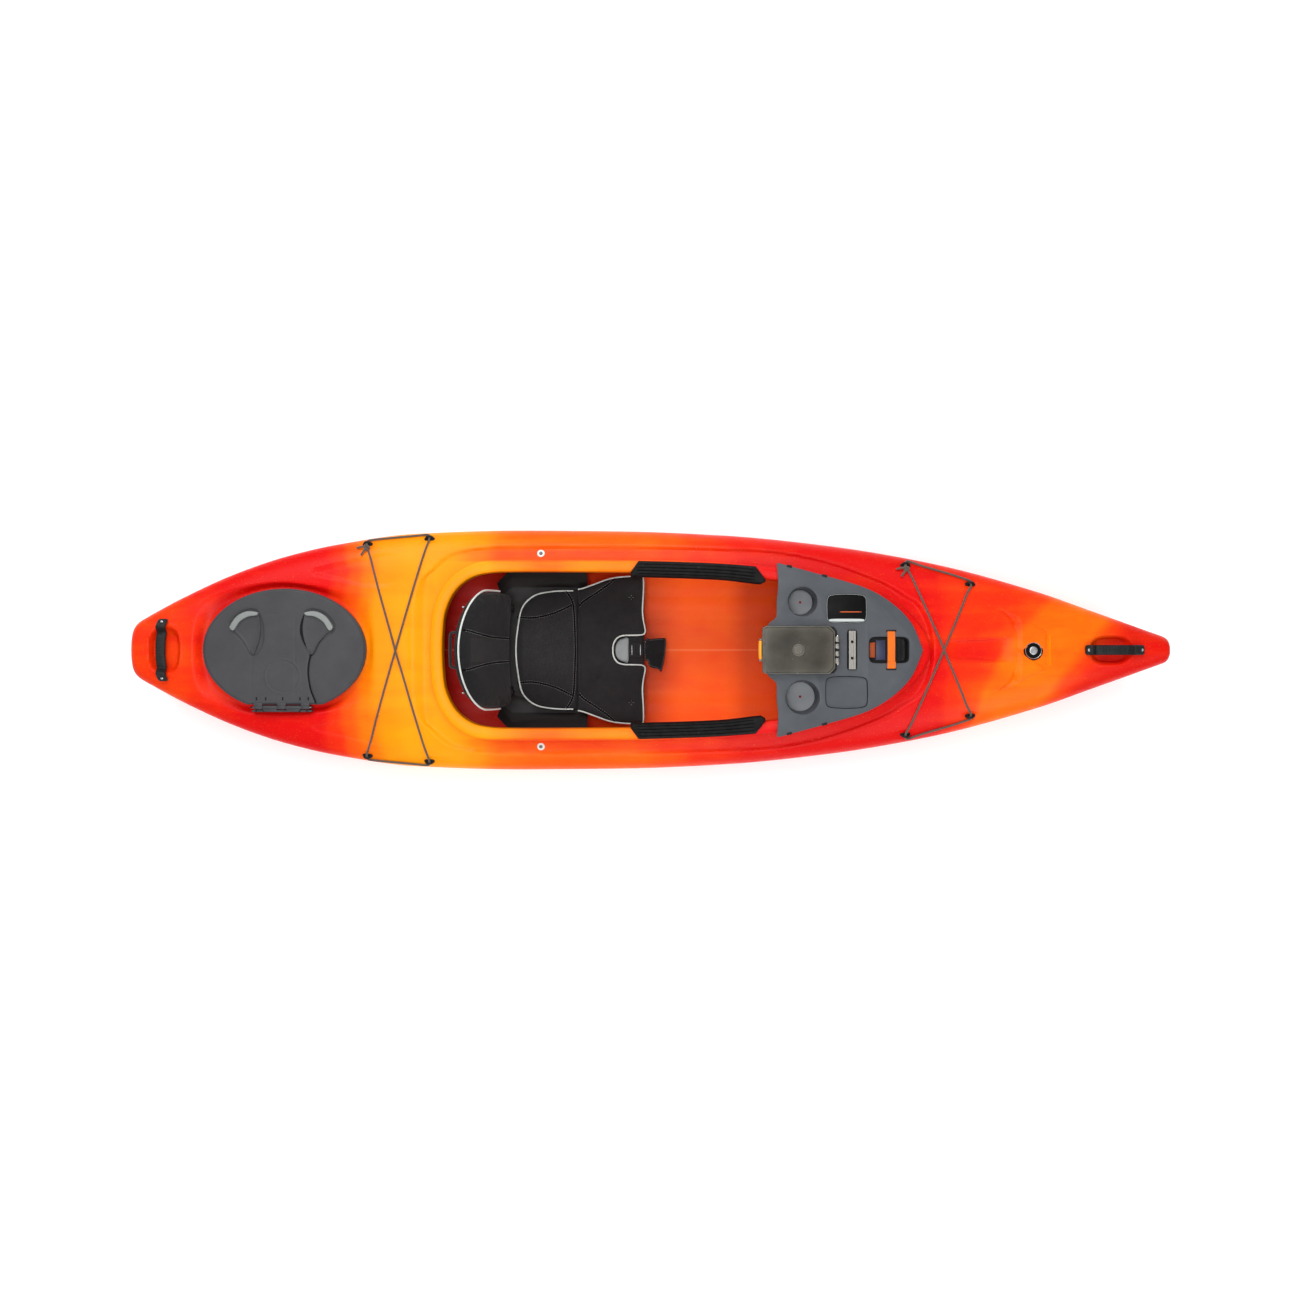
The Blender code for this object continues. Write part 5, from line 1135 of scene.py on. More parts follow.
# ---- Console ------------------------------------------------------------------------------------
def barrel(centre, half_x, half_y, count=96, bulge=0.10):
    """A rounded rectangle whose longer sides bow outward."""
    p = rounded((0.0, 0.0), half_x, half_y, 9.0, count)
    p = np.asarray(p, float)
    u, v = p[:, 0] / half_x, p[:, 1] / half_y
    x = p[:, 0] * (1 - 0.035 * np.abs(v) ** 2)
    y = p[:, 1] * (1 - bulge + bulge * (1 - u * u))
    return np.column_stack([centre[0] + x, centre[1] + y])


PLATE_TOP, PLATE, PLATE_SKIRT = 0.3655, 0.004, 0.3550
CONSOLE_EDGE = ((0.400, 0.262), (0.533, 0.226), (0.663, 0.186), (0.745, 0.137), (0.800, 0.078),
                (0.833, 0.0))
CUPS = {"port": (0.470, 0.146, 0.046, 0.038), "starboard": (0.470, -0.143, 0.053, 0.045)}
CUP_DEPTH = 0.085
BOX_HOLE = (0.378, 0.565, 0.062)
TRACK = (0.619, 0.014, 0.058)
PLACARD_POCKET, PLACARD_DEPTH = (0.603, 0.125, 0.062, 0.046), 0.0030
TRAY_POCKET = (0.603, -0.128, 0.066, 0.051)
BATTERY_POCKET = (0.731, 0.0, 0.062, 0.041)
BATTERY_DEPTH, BATTERY_TAPER, WELL_MOUTH = 0.046, 0.95, 0.010
CLIPS = ((0.430, 0.2525, -15), (0.536, 0.2240, -17))


def build_console():
    """The slate panel with its cup wells, pockets and clips."""
    edge = [tuple(p) for p in through(CONSOLE_EDGE, 10)]
    notch = [(0.364, 0.060), (0.365, 0.074), (0.369, 0.081), (0.386, 0.094), (0.391, 0.101), (0.392, 0.112)]
    waist = [(0.392, 0.150), (0.3965, 0.200), (0.3925, 0.262)]
    port = notch + [tuple(p) for p in through(waist, 6)] + edge
    outline = port + [(x, -y) for x, y in reversed(port[:-1])]
    panel = prism("console_panel_moulded", outline, PLATE_SKIRT, PLATE_TOP, PANEL)
    centre = np.array((0.60, 0.0))
    reach = np.array(outline) - centre
    inside = centre + reach * (1 - 0.0035 / np.linalg.norm(reach, axis=1))[:, None]
    combine(panel, prism("panel_hollow", inside, 0.30, PLATE_TOP - PLATE, PANEL), "DIFFERENCE")

    def mouth(centre, half_x, half_y, power, count):
        return rounded(centre, half_x, half_y, power, count) if power else barrel(centre, half_x, half_y,
                count)

    def well(centre, half_x, half_y, depth, power, taper, count=96):
        for grow, bottom, top, how in ((0.003, depth + 0.003, PLATE_TOP - 0.001, "UNION"),
                                       (0, depth, PLATE_TOP + WELL_MOUTH, "DIFFERENCE")):
            wide = mouth(centre, half_x + grow, half_y + grow, power, count)
            narrow = mouth(centre, half_x * taper + grow, half_y * taper + grow, power, count)
            form = loft("well", [[(x, y, PLATE_TOP - bottom) for x, y in narrow],
                                 [(x, y, top) for x, y in wide]], PANEL)
            combine(panel, form, how)

    for x, y, rim, floor in CUPS.values():
        well((x, y), rim, rim, CUP_DEPTH, 2.0, floor / rim)
        combine(panel, rod("drain", (x, y, PLATE_TOP - CUP_DEPTH - 0.02), (x, y, PLATE_TOP), 0.004, PANEL),
                "DIFFERENCE")
    x, y, hx, hy = PLACARD_POCKET
    well((x, y), hx, hy, PLACARD_DEPTH, 0, 0.99)
    x, y, hx, hy = TRAY_POCKET
    well((x, y), hx, hy, 0.0070, 0, 0.97)
    # painted shadow: a thin black cord round the foot of the tray pocket
    foot = [(px, py, PLATE_TOP - 0.0066) for px,
            py in barrel((x, y), hx * 0.975 - 0.0008, hy * 0.975 - 0.0008)]
    gap = tube("tray_shadow_gap", foot, 0.0024, PAINTED_SHADOW_BLACK, closed=True)
    finished(gap, "console", "dark_plastic")
    x, y, hx, hy = BATTERY_POCKET
    well((x, y), hx, hy, BATTERY_DEPTH, 6.0, BATTERY_TAPER)
    aft, fore, half = BOX_HOLE
    combine(panel, block("box_hole", (aft, -half, 0.30), (fore, half, 0.40), PANEL, 0.0), "DIFFERENCE")
    bevelled(panel, 0.0013, 3)
    finished(panel, "console", "console_plastic", "console_panel")
    for k, (x, y, turn) in enumerate(CLIPS):
        for sign, side in ((1, "port"), (-1, "starboard")):
            clip = block("clip", (-0.0080, -0.0036, 0), (0.0080, 0.0042, 0.0014), BLACK, 0.0006)
            place = Matrix.Translation((x, sign * y,
                                        PLATE_TOP)) @ Matrix.Rotation(math.radians(sign * turn), 4, "Z")
            moved(clip, place)
            clip.name = f"console_clip_{side}_{k}"
            finished(clip, "console", "dark_plastic")
    for side, (x, y, rim, floor) in CUPS.items():
        disc = [(s, z) for s, z in ((1.0, 0.0), (1.0, 0.0006), (0.97, 0.0010), (0.90, 0.0012),
                                    (0.5, 0.0013), (0.02, 0.0013))]
        rings = [np.column_stack([rounded((x, y), (floor - 0.0004) * s, (floor - 0.0004) * s, 2.0, 72),
                                  np.full(72, PLATE_TOP - CUP_DEPTH + 0.0001 + z)]) for s, z in disc]
        # the floor disc's pale grey is painted light falling into the well
        mat = loft(f"cup_floor_{side}", rings, LIT_CUP_FLOOR)
        finished(mat, "console", "console_plastic")
        plug = rod(f"cup_drain_{side}", (x, y, PLATE_TOP - CUP_DEPTH - 0.0010),
                   (x, y, PLATE_TOP - CUP_DEPTH + 0.0026), 0.0037,
                   DRAIN_RED, 24, ease=0.0006)
        finished(plug, "console", "rubber")
    build_placard()
    build_pocket_fittings()
    build_track()
    build_dry_box()


def build_placard():
    """A plain black plate in its pocket, with a pale band and an orange rule instead of any print."""
    x, y, hx, hy = PLACARD_POCKET
    top = PLATE_TOP - PLACARD_DEPTH + 0.0016
    plate = prism("placard_plate", barrel((x, y), hx - 0.002, hy - 0.002, 72), top - 0.0013, top,
                  GLOSS_BLACK)
    bevelled(plate, 0.0004, 2)
    frame_line = np.array([np.column_stack([barrel((x, y), hx - g, hy - g, 72), np.full(72, top + z)])
                           for g, z in ((0.0022, 0.0), (0.0022, 0.0003), (0.0028, 0.0003), (0.0028, 0.0))])
    border = loft("border", frame_line.transpose(1, 0, 2), PALE_PRINT, closed=True)
    band = prism("band", rounded((x, y - hy + 0.0110), hx - 0.0090, 0.0042, 4.0, 40), top - 0.0002,
                 top + 0.0002, PALE_PRINT)
    rule = prism("rule", rounded((x + 0.012, y - 0.0100), 0.0330, 0.0012, 4.0, 24), top - 0.0002,
                 top + 0.0002, ORANGE_PRINT)
    plate = merged("placard_plate", [plate, band, rule, border])
    finished(plate, "console", "dark_plastic", "placard")


def build_pocket_fittings():
    """The pocket's dark liner with its ribs and two plain patches, and the orange strap across its mouth."""
    x, y, hx, hy = BATTERY_POCKET
    floor = PLATE_TOP - BATTERY_DEPTH

    def ring(clear, z, count=72):
        share = BATTERY_TAPER + (1 - BATTERY_TAPER) * (z - floor) / (BATTERY_DEPTH + WELL_MOUTH)
        return np.column_stack([rounded((x, y), hx * share - clear, hy * share - clear, 6.0, count),
                                np.full(count, z)])

    rim = PLATE_TOP - 0.006
    rings = [ring(0.0008, floor + 0.0003), ring(0.0008, rim - 0.0006), ring(0.0012, rim), ring(0.0026, rim),
             ring(0.0030, rim - 0.0006), ring(0.0036, floor + 0.0045), ring(0.0055, floor + 0.0028),
             ring(0.0100, floor + 0.0025)]
    liner = loft("liner", rings, BLACK)
    ribs = [block("rib", (x + at - 0.0010, -0.034, floor + 0.0020),
                  (x + at + 0.0010, 0.034, floor + 0.0048), BLACK, 0.0004)
            for at in (0.020, 0.031, 0.042)]
    patch = block("patch", (x - 0.054, -0.023, floor + 0.0022), (x - 0.037, 0.023, floor + 0.0036),
                  ORANGE_PRINT, 0.0005)
    panel = block("panel", (x - 0.034, -0.030, floor + 0.0022), (x - 0.006, 0.030, floor + 0.0036),
                  BLUE_GREY, 0.0005)
    liner = merged("battery_tray_moulded", [liner, patch, panel] + ribs)
    finished(liner, "console", "dark_plastic", "battery_tray")

    strap_x = x + 0.006
    arch = ((-0.0560, 0.0016), (-0.0460, 0.0028), (-0.0200, 0.0052), (0.0, 0.0060), (0.0200, 0.0052),
            (0.0460, 0.0028), (0.0560, 0.0016))
    line = [(strap_x, v, PLATE_TOP + w) for v, w in through(arch, 5)]
    half, thick = 0.0115, 0.0012
    strap = swept("strap", line, eased_band(half, thick), STRAP_ORANGE, smooth=50)
    fold = [(strap_x + 0.0005, v, PLATE_TOP + w) for v, w in
            through(((-0.0360, 0.0074), (-0.0460, 0.0062), (-0.0530, 0.0048), (-0.0552, 0.0040)), 4)]
    tab = swept("tab", fold, eased_band(half + 0.0012, 0.0011), STRAP_ORANGE, smooth=50)
    slots = [block("slot", (strap_x - 0.0155, v - 0.0034, PLATE_TOP - 0.0008),
                   (strap_x + 0.0155, v + 0.0034, PLATE_TOP + 0.0007), BLACK, 0.0004)
             for v in (-0.0575, 0.0575)]
    stitch = [block("stitch", (strap_x - 0.0085 + 0.0042 * k, -0.0432, PLATE_TOP + 0.0078),
                    (strap_x - 0.0063 + 0.0042 * k, -0.0425, PLATE_TOP + 0.0084),
                    THREAD, 0.0) for k in range(5)]
    strap = merged("battery_strap_webbing", [strap, tab] + slots + stitch)
    finished(strap, "console", "strap_webbing", "battery_strap")


def eased_band(half, thick):
    """Cross-section of a flat strap with soft edges."""
    turns = np.linspace(-math.pi / 2, math.pi / 2, 5)
    right = [(half - thick + thick * math.cos(a), thick * math.sin(a)) for a in turns]
    return right + [(-s, u) for s, u in reversed(right)]


def build_track():
    """The anodised accessory channel with its two screws, in a shallow dark bed."""
    x, half_width, half_length = TRACK
    low, top = PLATE_TOP + 0.0012, PLATE_TOP + 0.0085
    h = half_width - 0.0034
    profile = [(-h, low), (h, low), (h, top - 0.0008), (h - 0.0008, top), (0.0050, top),
               (0.0042, top - 0.0006),
               (0.0042, top - 0.0027), (0.0078, top - 0.0027), (0.0078, low + 0.0012),
               (-0.0078, low + 0.0012),
               (-0.0078, top - 0.0027), (-0.0042, top - 0.0027), (-0.0042, top - 0.0006), (-0.0050, top),
               (-h + 0.0008, top),
               (-h, top - 0.0008)]
    rings = [[(x + s, v, z) for s, z in profile] for v in (-half_length, half_length)]
    channel = loft("channel", rings, ALUMINIUM, smooth=25)
    bed = prism("bed", rounded((x, 0.0), half_width + 0.0014, half_length + 0.0026, 9.0, 64),
                PLATE_TOP - 0.0006, PLATE_TOP + 0.0012, GLOSS_BLACK)
    screws = []
    for v in (-0.0245, 0.0245):
        head = screw_head("screw", 0.0041, GLOSS_BLACK, 0.0046)
        screws.append(moved(head, Matrix.Translation((x, v, low + 0.0012))))
    made = merged("accessory_track_channel", [channel, bed] + screws)
    finished(made, "console", "aluminium", "accessory_track")


DRY_HINGE = Vector((0.5740, 0.0, PLATE_TOP + 0.0160))
BOX_LATCH = Vector((0.3415, 0.0, PLATE_TOP + 0.0160))


def build_dry_box():
    """The dry box's body, seal, smoke lid, hinge rod and orange latch."""
    refined("dry_box_body", BLACK, 0.0010)
    refined("dry_box_gasket", SEAL_RUBBER, 0.0006)
    low, high = PLATE_TOP + 0.0109, PLATE_TOP + 0.022
    corners = ((0.347, -0.061), (0.350, -0.068), (0.358, -0.072), (0.546, -0.072), (0.552, -0.0695),
               (0.564, -0.0575), (0.566, -0.052))
    outline = np.array(list(corners) + [(x, -y) for x, y in reversed(corners)])
    centre = np.array((0.457, 0.0))

    def at(grow, z):
        reach = outline - centre
        size = np.linalg.norm(reach, axis=1)[:, None]
        return np.column_stack([centre + reach * (1 + grow / size), np.full(len(outline), z)])

    rings = [at(-0.0005, low), at(0, low + 0.0006), at(0, high - 0.0026), at(-0.0010, high - 0.0010),
             at(-0.0030, high - 0.0002),
             at(-0.0085, high), at(-0.0100, high - 0.0011), at(-0.0500, high - 0.0008),
             at(-0.0590, high - 0.0008)]
    lid = loft("lid", rings, SMOKE, smooth=30)
    hollow = block("lid_hollow", (0.3600, -0.0600, low - 0.01), (0.5560, 0.0600, high - 0.0040), SMOKE, 0.0)
    combine(lid, hollow, "DIFFERENCE")
    x, z = DRY_HINGE.x, DRY_HINGE.z
    room = block("hinge_room", (x - 0.0085, -0.046, low - 0.01), (x + 0.02, 0.046, high + 0.01), SMOKE, 0.0)
    combine(lid, room, "DIFFERENCE")
    extras = []
    for start, end in ((-0.041, -0.0245), (-0.0185, -0.004), (0.004, 0.0185), (0.0245, 0.041)):
        extras.append(rod("lug", (x, start, z), (x, end, z), 0.0050, ALUMINIUM, 28, ease=0.0006))
        extras.append(block("web", (x - 0.0110, start + 0.001, z - 0.0035), (x, end - 0.001, z + 0.0035),
                            SMOKE, 0.0006))
    for start, end in ((-0.041, -0.0245), (-0.0185, -0.004), (0.004, 0.0185), (0.0245, 0.041)):
        extras.append(block("leaf", (x - 0.0046, start, z + 0.0030), (x - 0.0006, end, z + 0.0058),
                            ALUMINIUM, 0.0004))
    u, w = BOX_LATCH.x, BOX_LATCH.z
    for start, end in ((-0.0345, -0.0285), (0.0285, 0.0345)):
        extras.append(block("ear", (u - 0.0038, start, w - 0.0038), (0.3500, end, w + 0.0038), SMOKE,
                            0.0008))
    extras.append(rod("axle", (u, -0.031, w), (u, 0.031, w), 0.0018, STEEL, 20))
    ring = dome("emblem_ring", (0.4560, 0.0, high - 0.0010), 0.0185, 0.0016, SMOKE_RIM, hollow=0.0145)
    boss = dome("emblem_boss", (0.4560, 0.0, high - 0.0010), 0.0140, 0.0012, SMOKE_RIM)
    frame_bar = dark_rim(outline, centre, high)
    lid = merged("dry_box_lid_smoke", [lid, ring, boss, frame_bar] + extras)
    finished(lid, "box_lid", "smoke_lid", "dry_box_lid")

    plate = block("plate", (u - 0.0035, -0.028, w - 0.034), (u + 0.0014, 0.028, w + 0.0038), AMBER_PLASTIC,
                  0.0012, 3)
    barrel = rod("barrel", (u, -0.028, w), (u, 0.028, w), 0.0042, AMBER_PLASTIC, 32, ease=0.0008)
    ribs = [block("rib", (u - 0.0043, -0.020, w - 0.030 + 0.005 * k),
                  (u - 0.0030, 0.020, w - 0.028 + 0.005 * k), AMBER_PLASTIC, 0.0004) for k in range(4)]
    latch = merged("dry_box_latch_moulded", [plate, barrel] + ribs)
    finished(latch, "box_latch", "latch_orange", "dry_box_latch")
    pin = rod("dry_box_hinge_rod", (x, -0.045, z), (x, 0.045, z), 0.0020, STEEL, 20, ease=0.0005)
    finished(pin, "console", "steel", "dry_box_hinge_pin")


def dark_rim(outline, centre, top):
    """The dark seal that shows through the lid along its edge."""
    reach = outline - centre
    size = np.linalg.norm(reach, axis=1)[:, None]
    rings = []
    for grow, z in ((-0.0075, top - 0.0008), (-0.0050, top - 0.0002 + 0.0004),
                    (-0.0062, top - 0.0002 + 0.0006)):
        rings.append(np.column_stack([centre + reach * (1 + grow / size), np.full(len(outline), z)]))
    return loft("seal_line", np.array(rings).transpose(1, 0, 2), BLACK, closed=True)


def dome(name, at, radius, height, material, hollow=0.0, sides=64):
    """A plain low boss, or a ring when hollow is given."""
    levels = [(1.0, 0.0), (0.99, 0.45), (0.94, 0.80), (0.84, 0.97), (0.70, 1.0)]
    rings = [[(at[0] + radius * s * math.cos(a), at[1] + radius * s * math.sin(a), at[2] + height * h)
              for a in np.arange(sides) * math.tau / sides] for s, h in levels]
    if hollow:
        levels = [(hollow, 1.0), (hollow, 0.0)]
        rings = [[(at[0] + r * math.cos(a), at[1] + r * math.sin(a), at[2] + height * h)
                  for a in np.arange(sides) * math.tau / sides]
                 for r, h in [(radius, 0.0), (radius * 0.985, 0.5), (radius * 0.94, 0.85),
                              ((radius + hollow) / 2, 1.0),
                              (hollow * 1.04, 0.85), (hollow, 0.4), (hollow, 0.0)]]
        return loft(name, np.array(rings).transpose(1, 0, 2), material, closed=True, smooth=60)
    rings.append([(at[0] + radius * 0.05 * math.cos(a), at[1] + radius * 0.05 * math.sin(a), at[2] + height)
                  for a in np.arange(sides) * math.tau / sides])
    return loft(name, rings, material, smooth=60)


# ---- Deck rigging -------------------------------------------------------------------------------
EYE_RADIUS, EYE_BAR = 0.0108, 0.0027
CORD_DIAMETER, CORD_IN_EYE = 0.0062, 0.0078
KNOT_REACH = 0.018
DECK_BOSS = (1.1704, -0.0019, 0.0295)


def deck_frame(x, y):
    """Place of a fitting on the deck: Z along the deck's normal and X along the boat."""
    up = deck_normal(x, y)
    fore = (Vector((1, 0, 0)) - up * up.x).normalized()
    turn = Matrix((fore, up.cross(fore), up)).transposed().to_4x4()
    return Matrix.Translation((x, y, float(deck_height(x, y)))) @ turn


def build_eye(end, which, side, x, y):
    """A moulded saddle: a long base with a screw at each end and a half hoop for the cord."""
    levels = ((0.96, -0.0040), (1.0, 0.0), (1.0, 0.0018), (0.96, 0.0030), (0.88, 0.0036), (0.3, 0.0037))
    base = loft("base", [[(px, py, z) for px, py in rounded((0, 0), 0.0160 * s, 0.0068 * s, 3, 48)] for s,
                         z in levels], BLACK)
    hoop = []
    for j in range(25):
        turn = math.pi * j / 24
        arm = Vector((math.cos(turn), 0, math.sin(turn)))
        centre = arm * EYE_RADIUS + Vector((0, 0, 0.0030))
        wide = EYE_BAR * (1.25 + 0.45 * abs(math.cos(turn)) ** 3)
        hoop.append([centre + arm * EYE_BAR * math.cos(a) + Vector((0, wide * math.sin(a), 0))
                     for a in np.arange(14) * math.tau / 14])
    pieces = [base, loft("hoop", hoop, BLACK, smooth=60)]
    for at in (-0.0136, 0.0136):
        pieces.append(moved(screw_head("screw", 0.0017, BLACK), Matrix.Translation((at, 0, 0.0034))))
    eye = merged(f"{end}_eye_{which}_{side}_moulded", pieces)
    moved(eye, deck_frame(x, y))
    finished(eye, "hull", "dark_plastic", f"{end}_eye_{which}_{side}")


def on_deck(x, y, lift):
    return Vector((x, y, float(deck_height(x, y)))) + deck_normal(x, y) * lift


def bungee_route(places, near, far):
    """A closed loop: out through an eye, along the side, in through the next one and across the deck."""
    ends = [(places[near], 1), (places[far], 1), (places[near], -1), (places[far], -1)]
    route = []
    for i, ((x, y), sign) in enumerate(ends):
        (u, v), other = ends[(i + 1) % 4]
        start, end = deck_frame(x, sign * y), deck_frame(u, other * v)
        fore = 1 if u > x else -1
        out, into = (1 if sign > 0 else -1), (1 if other > 0 else -1)
        if i in (1, 3):
            route += [start @ Vector((0, -out * reach, CORD_IN_EYE)) for reach in (0.0, 0.010)]
            for t in np.linspace(0.07, 0.93, 15):
                rise = (0.0072 if i == 3 else 0.0) * math.exp(-((t - 0.5) / 0.06) ** 2)
                route.append(on_deck(x + (u - x) * t, sign * y + (other * v - sign * y) * t, 0.0040 + rise))
            route += [end @ Vector((0, -into * reach, CORD_IN_EYE)) for reach in (0.010, 0.0)]
        else:
            route += [start @ Vector((fore * a, out * b, CORD_IN_EYE - c)) for a, b,
                      c in ((0.001, 0.0085, 0), (0.010, 0.0125, 0.001))]
            for t in (0.25, 0.5, 0.75):
                px, py = x + (u - x) * t, sign * (y + (v - y) * t + 0.0115)
                route.append(on_deck(px, py, 0.0042))
            route += [end @ Vector((-fore * a, into * b, CORD_IN_EYE - c)) for a, b,
                      c in ((0.010, 0.0125, 0.001), (0.001, 0.0085, 0))]
    return evenly(through(route, 6, closed=True), 420, closed=True)


def build_rigging():
    """Deck eyes and the two crossed bungee loops, each tied in a knot with two free ends."""
    for end, places in (("bow", BOW_EYES), ("stern", STERN_EYES)):
        for which, (x, y) in places.items():
            for side, sign in (("port", 1), ("starboard", -1)):
                build_eye(end, which, side, x, sign * y)
        pieces = [tube("loop", bungee_route(places, "aft", "forward"), CORD_DIAMETER, CORD, closed=True)]
        x, y = places["aft"]
        knot = deck_frame(x, y) @ Vector((0, -KNOT_REACH, CORD_IN_EYE + 0.001))
        turns = [knot + Vector((0.0052 * math.cos(a) * (1 + 0.5 * math.cos(1.5 * a)),
                                0.0052 * math.sin(a) * (1 + 0.5 * math.cos(1.5 * a)),
                                0.0032 * math.sin(1.5 * a))) for a in np.linspace(0, 4 * math.pi, 60,
                                        endpoint=False)]
        pieces.append(tube("knot", turns, CORD_DIAMETER * 0.94, CORD, closed=True, sides=10))
        for along_x, along_y in ((-0.030, -0.004), (-0.016, -0.026)):
            tip = on_deck(knot.x + along_x, knot.y + along_y, 0.0048)
            bend = knot.lerp(tip, 0.5) + Vector((0.002, 0.003, 0.0030))
            line = through([knot, bend, tip], 8)
            pieces.append(tube("tail", line, CORD_DIAMETER, CORD, taper=lambda t: 1.0 if t < 0.9 else 1.12))
        cord = merged(f"{end}_bungee_braided", pieces)
        finished(cord, "hull", "bungee_cord", f"{end}_bungee")


def build_handle(name, centre, half_span, along_boat, bow_out):
    """A rubber grip arched over its finger pocket, with ribs round its middle and a screw at each end."""
    rings = []
    corners = np.arange(28) * math.tau / 28 + 0.39
    steps = np.linspace(-1, 1, 121)
    for t in steps:
        swell = 1.0 - 0.30 * max(0.0, (abs(t) - 0.93) / 0.07) ** 2
        rib = 0.0003 * math.cos(t * 62.0) * ramp((0.60 - abs(t)) / 0.05)
        wide = 0.0152 * swell + rib
        tall = 0.0062 * (1 - 0.25 * ramp((abs(t) - 0.78) / 0.08)) + rib
        rise = 0.024 * (1 - abs(t) ** 3.0)
        drift = bow_out * (1 - t * t)
        x = centre[0] + (half_span * t if along_boat else drift)
        y = centre[1] + (drift if along_boat else half_span * t)
        z = float(deck_height(x, y)) + 0.0050 + rise
        ring = []
        for a in corners:
            s = wide * math.copysign(abs(math.cos(a)) ** 0.65, math.cos(a))
            u = tall * math.copysign(abs(math.sin(a)) ** 0.65, math.sin(a))
            ring.append((x + (0 if along_boat else s), y + (s if along_boat else 0), z + u))
        rings.append(ring)
    grip = loft(f"{name}_rubber", rings, HANDLE_RUBBER, smooth=50)
    finished(grip, "hull", "rubber", name)
    for t, which in ((-0.90, "a"), (0.90, "b")):
        x = centre[0] + (half_span * t if along_boat else bow_out * (1 - t * t))
        y = centre[1] + (0 if along_boat else half_span * t)
        z = float(deck_height(x, y))
        head = moved(screw_head("head", 0.0044), Matrix.Translation((x, y, z + 0.0150)))
        cup = rod("cup", (x, y, z + 0.0120), (x, y, z + 0.0152), 0.0076, HANDLE_RUBBER, 32, ease=0.0006)
        shank = rod("shank", (x, y, z - 0.018), (x, y, z + 0.014), 0.0025, STEEL, 16)
        bolt = merged(f"{name}_screw_{which}_steel", [head, cup, shank])
        finished(bolt, "hull", "steel", f"{name}_screw_{which}")


def build_boss():
    """A plain domed button with a silver ring on the foredeck."""
    x, y, radius = DECK_BOSS
    place = deck_frame(x, y)
    body = dome("boss", (0, 0, -0.001), radius, 0.0050, GLOSS_BLACK)
    ring = dome("ring", (0, 0, 0.0026), radius - 0.0036, 0.0026, STEEL, hollow=radius - 0.0068)
    middle = dome("middle", (0, 0, 0.0036), 0.0125, 0.0024, STEEL)
    boss = merged("deck_boss", [body, ring, middle])
    moved(boss, place)
    finished(boss, "hull", "dark_plastic")


# ---- Soft pads ----------------------------------------------------------------------------------
def pad_rings(outline, centre, low, high, crown, curl=None):
    """Rings of a pad from the middle of its underside over the rim to the middle of its top."""
    bend = curl or (lambda u, v: 0.0)
    d = high - low
    levels = ((0.02, low), (0.5, low), (0.955, low), (0.985, low + 0.16 * d), (0.992, 0.5 * (low + high)),
              (0.985, high - 0.20 * d), (0.962, high - 0.05 * d), (0.90, high), (0.5, high + crown),
              (0.02, high + crown))
    c = np.array(centre, float)
    rings = []
    for share, height in levels:
        flat = c + (outline - c) * share
        rings.append([(u, v, height + bend(u, v)) for u, v in flat])
    return rings


def inflate(pad, held, pressure, cap, voxel=0.0055):
    """Fills the pad with air as a cloth whose held points stay put, and caps how far the rest moves."""
    step = pad.modifiers.new("even", "REMESH")
    step.mode, step.voxel_size = "VOXEL", voxel
    bake(pad)
    rest = positions(pad)
    group = pad.vertex_groups.new(name="held")
    for i, share in enumerate(held(rest)):
        if share > 0.01:
            group.add([i], float(min(1.0, share)), "REPLACE")
    cloth = pad.modifiers.new("air", "CLOTH")
    cloth.settings.quality = 6
    cloth.settings.mass = 0.3
    cloth.settings.tension_stiffness = cloth.settings.compression_stiffness = 12
    cloth.settings.bending_stiffness = 0.4
    cloth.settings.use_pressure = True
    cloth.settings.uniform_pressure_force = pressure
    cloth.settings.vertex_group_mass = "held"
    cloth.settings.effector_weights.gravity = 0
    cloth.point_cache.frame_start, cloth.point_cache.frame_end = 1, 20
    for moment in range(1, 21):
        bpy.context.scene.frame_set(moment)
    bake(pad)
    bpy.context.scene.frame_set(1)
    move = positions(pad) - rest
    size = np.linalg.norm(move, axis=1)[:, None] + 1e-9
    put(pad, rest + move / size * cap * np.tanh(size / cap))
    step = pad.modifiers.new("round", "SUBSURF")
    step.levels = step.render_levels = 1
    bake(pad)
    return pad


def positions(obj):
    flat = np.zeros(len(obj.data.vertices) * 3)
    obj.data.vertices.foreach_get("co", flat)
    return flat.reshape(-1, 3)


def put(obj, points):
    obj.data.vertices.foreach_set("co", np.asarray(points, float).ravel())
    obj.data.update()


def dense(line, gap=0.002):
    """Points along a line given by a few of its points, about one gap apart."""
    line = np.asarray(through(line, 8), float)
    length = np.linalg.norm(np.diff(line, axis=0), axis=1).sum()
    return np.asarray(evenly(line, max(4, int(length / gap))), float)


def distance_to(lines, points):
    """Distance of each (x, y) from the nearest of the lines."""
    nearest = np.full(len(points), np.inf)
    for line in lines:
        for a in line:
            nearest = np.minimum(nearest, np.hypot(points[:, 0] - a[0], points[:, 1] - a[1]))
    return nearest


def sewn(pad, lines, depth, width, top):
    """Presses sewn channels into the pad's top, where it is above the given height."""
    p = positions(pad)
    d = distance_to(lines, p)
    press = depth * np.exp(-(d / width) ** 2) * (p[:, 2] > top)
    p[:, 2] -= press
    put(pad, p)


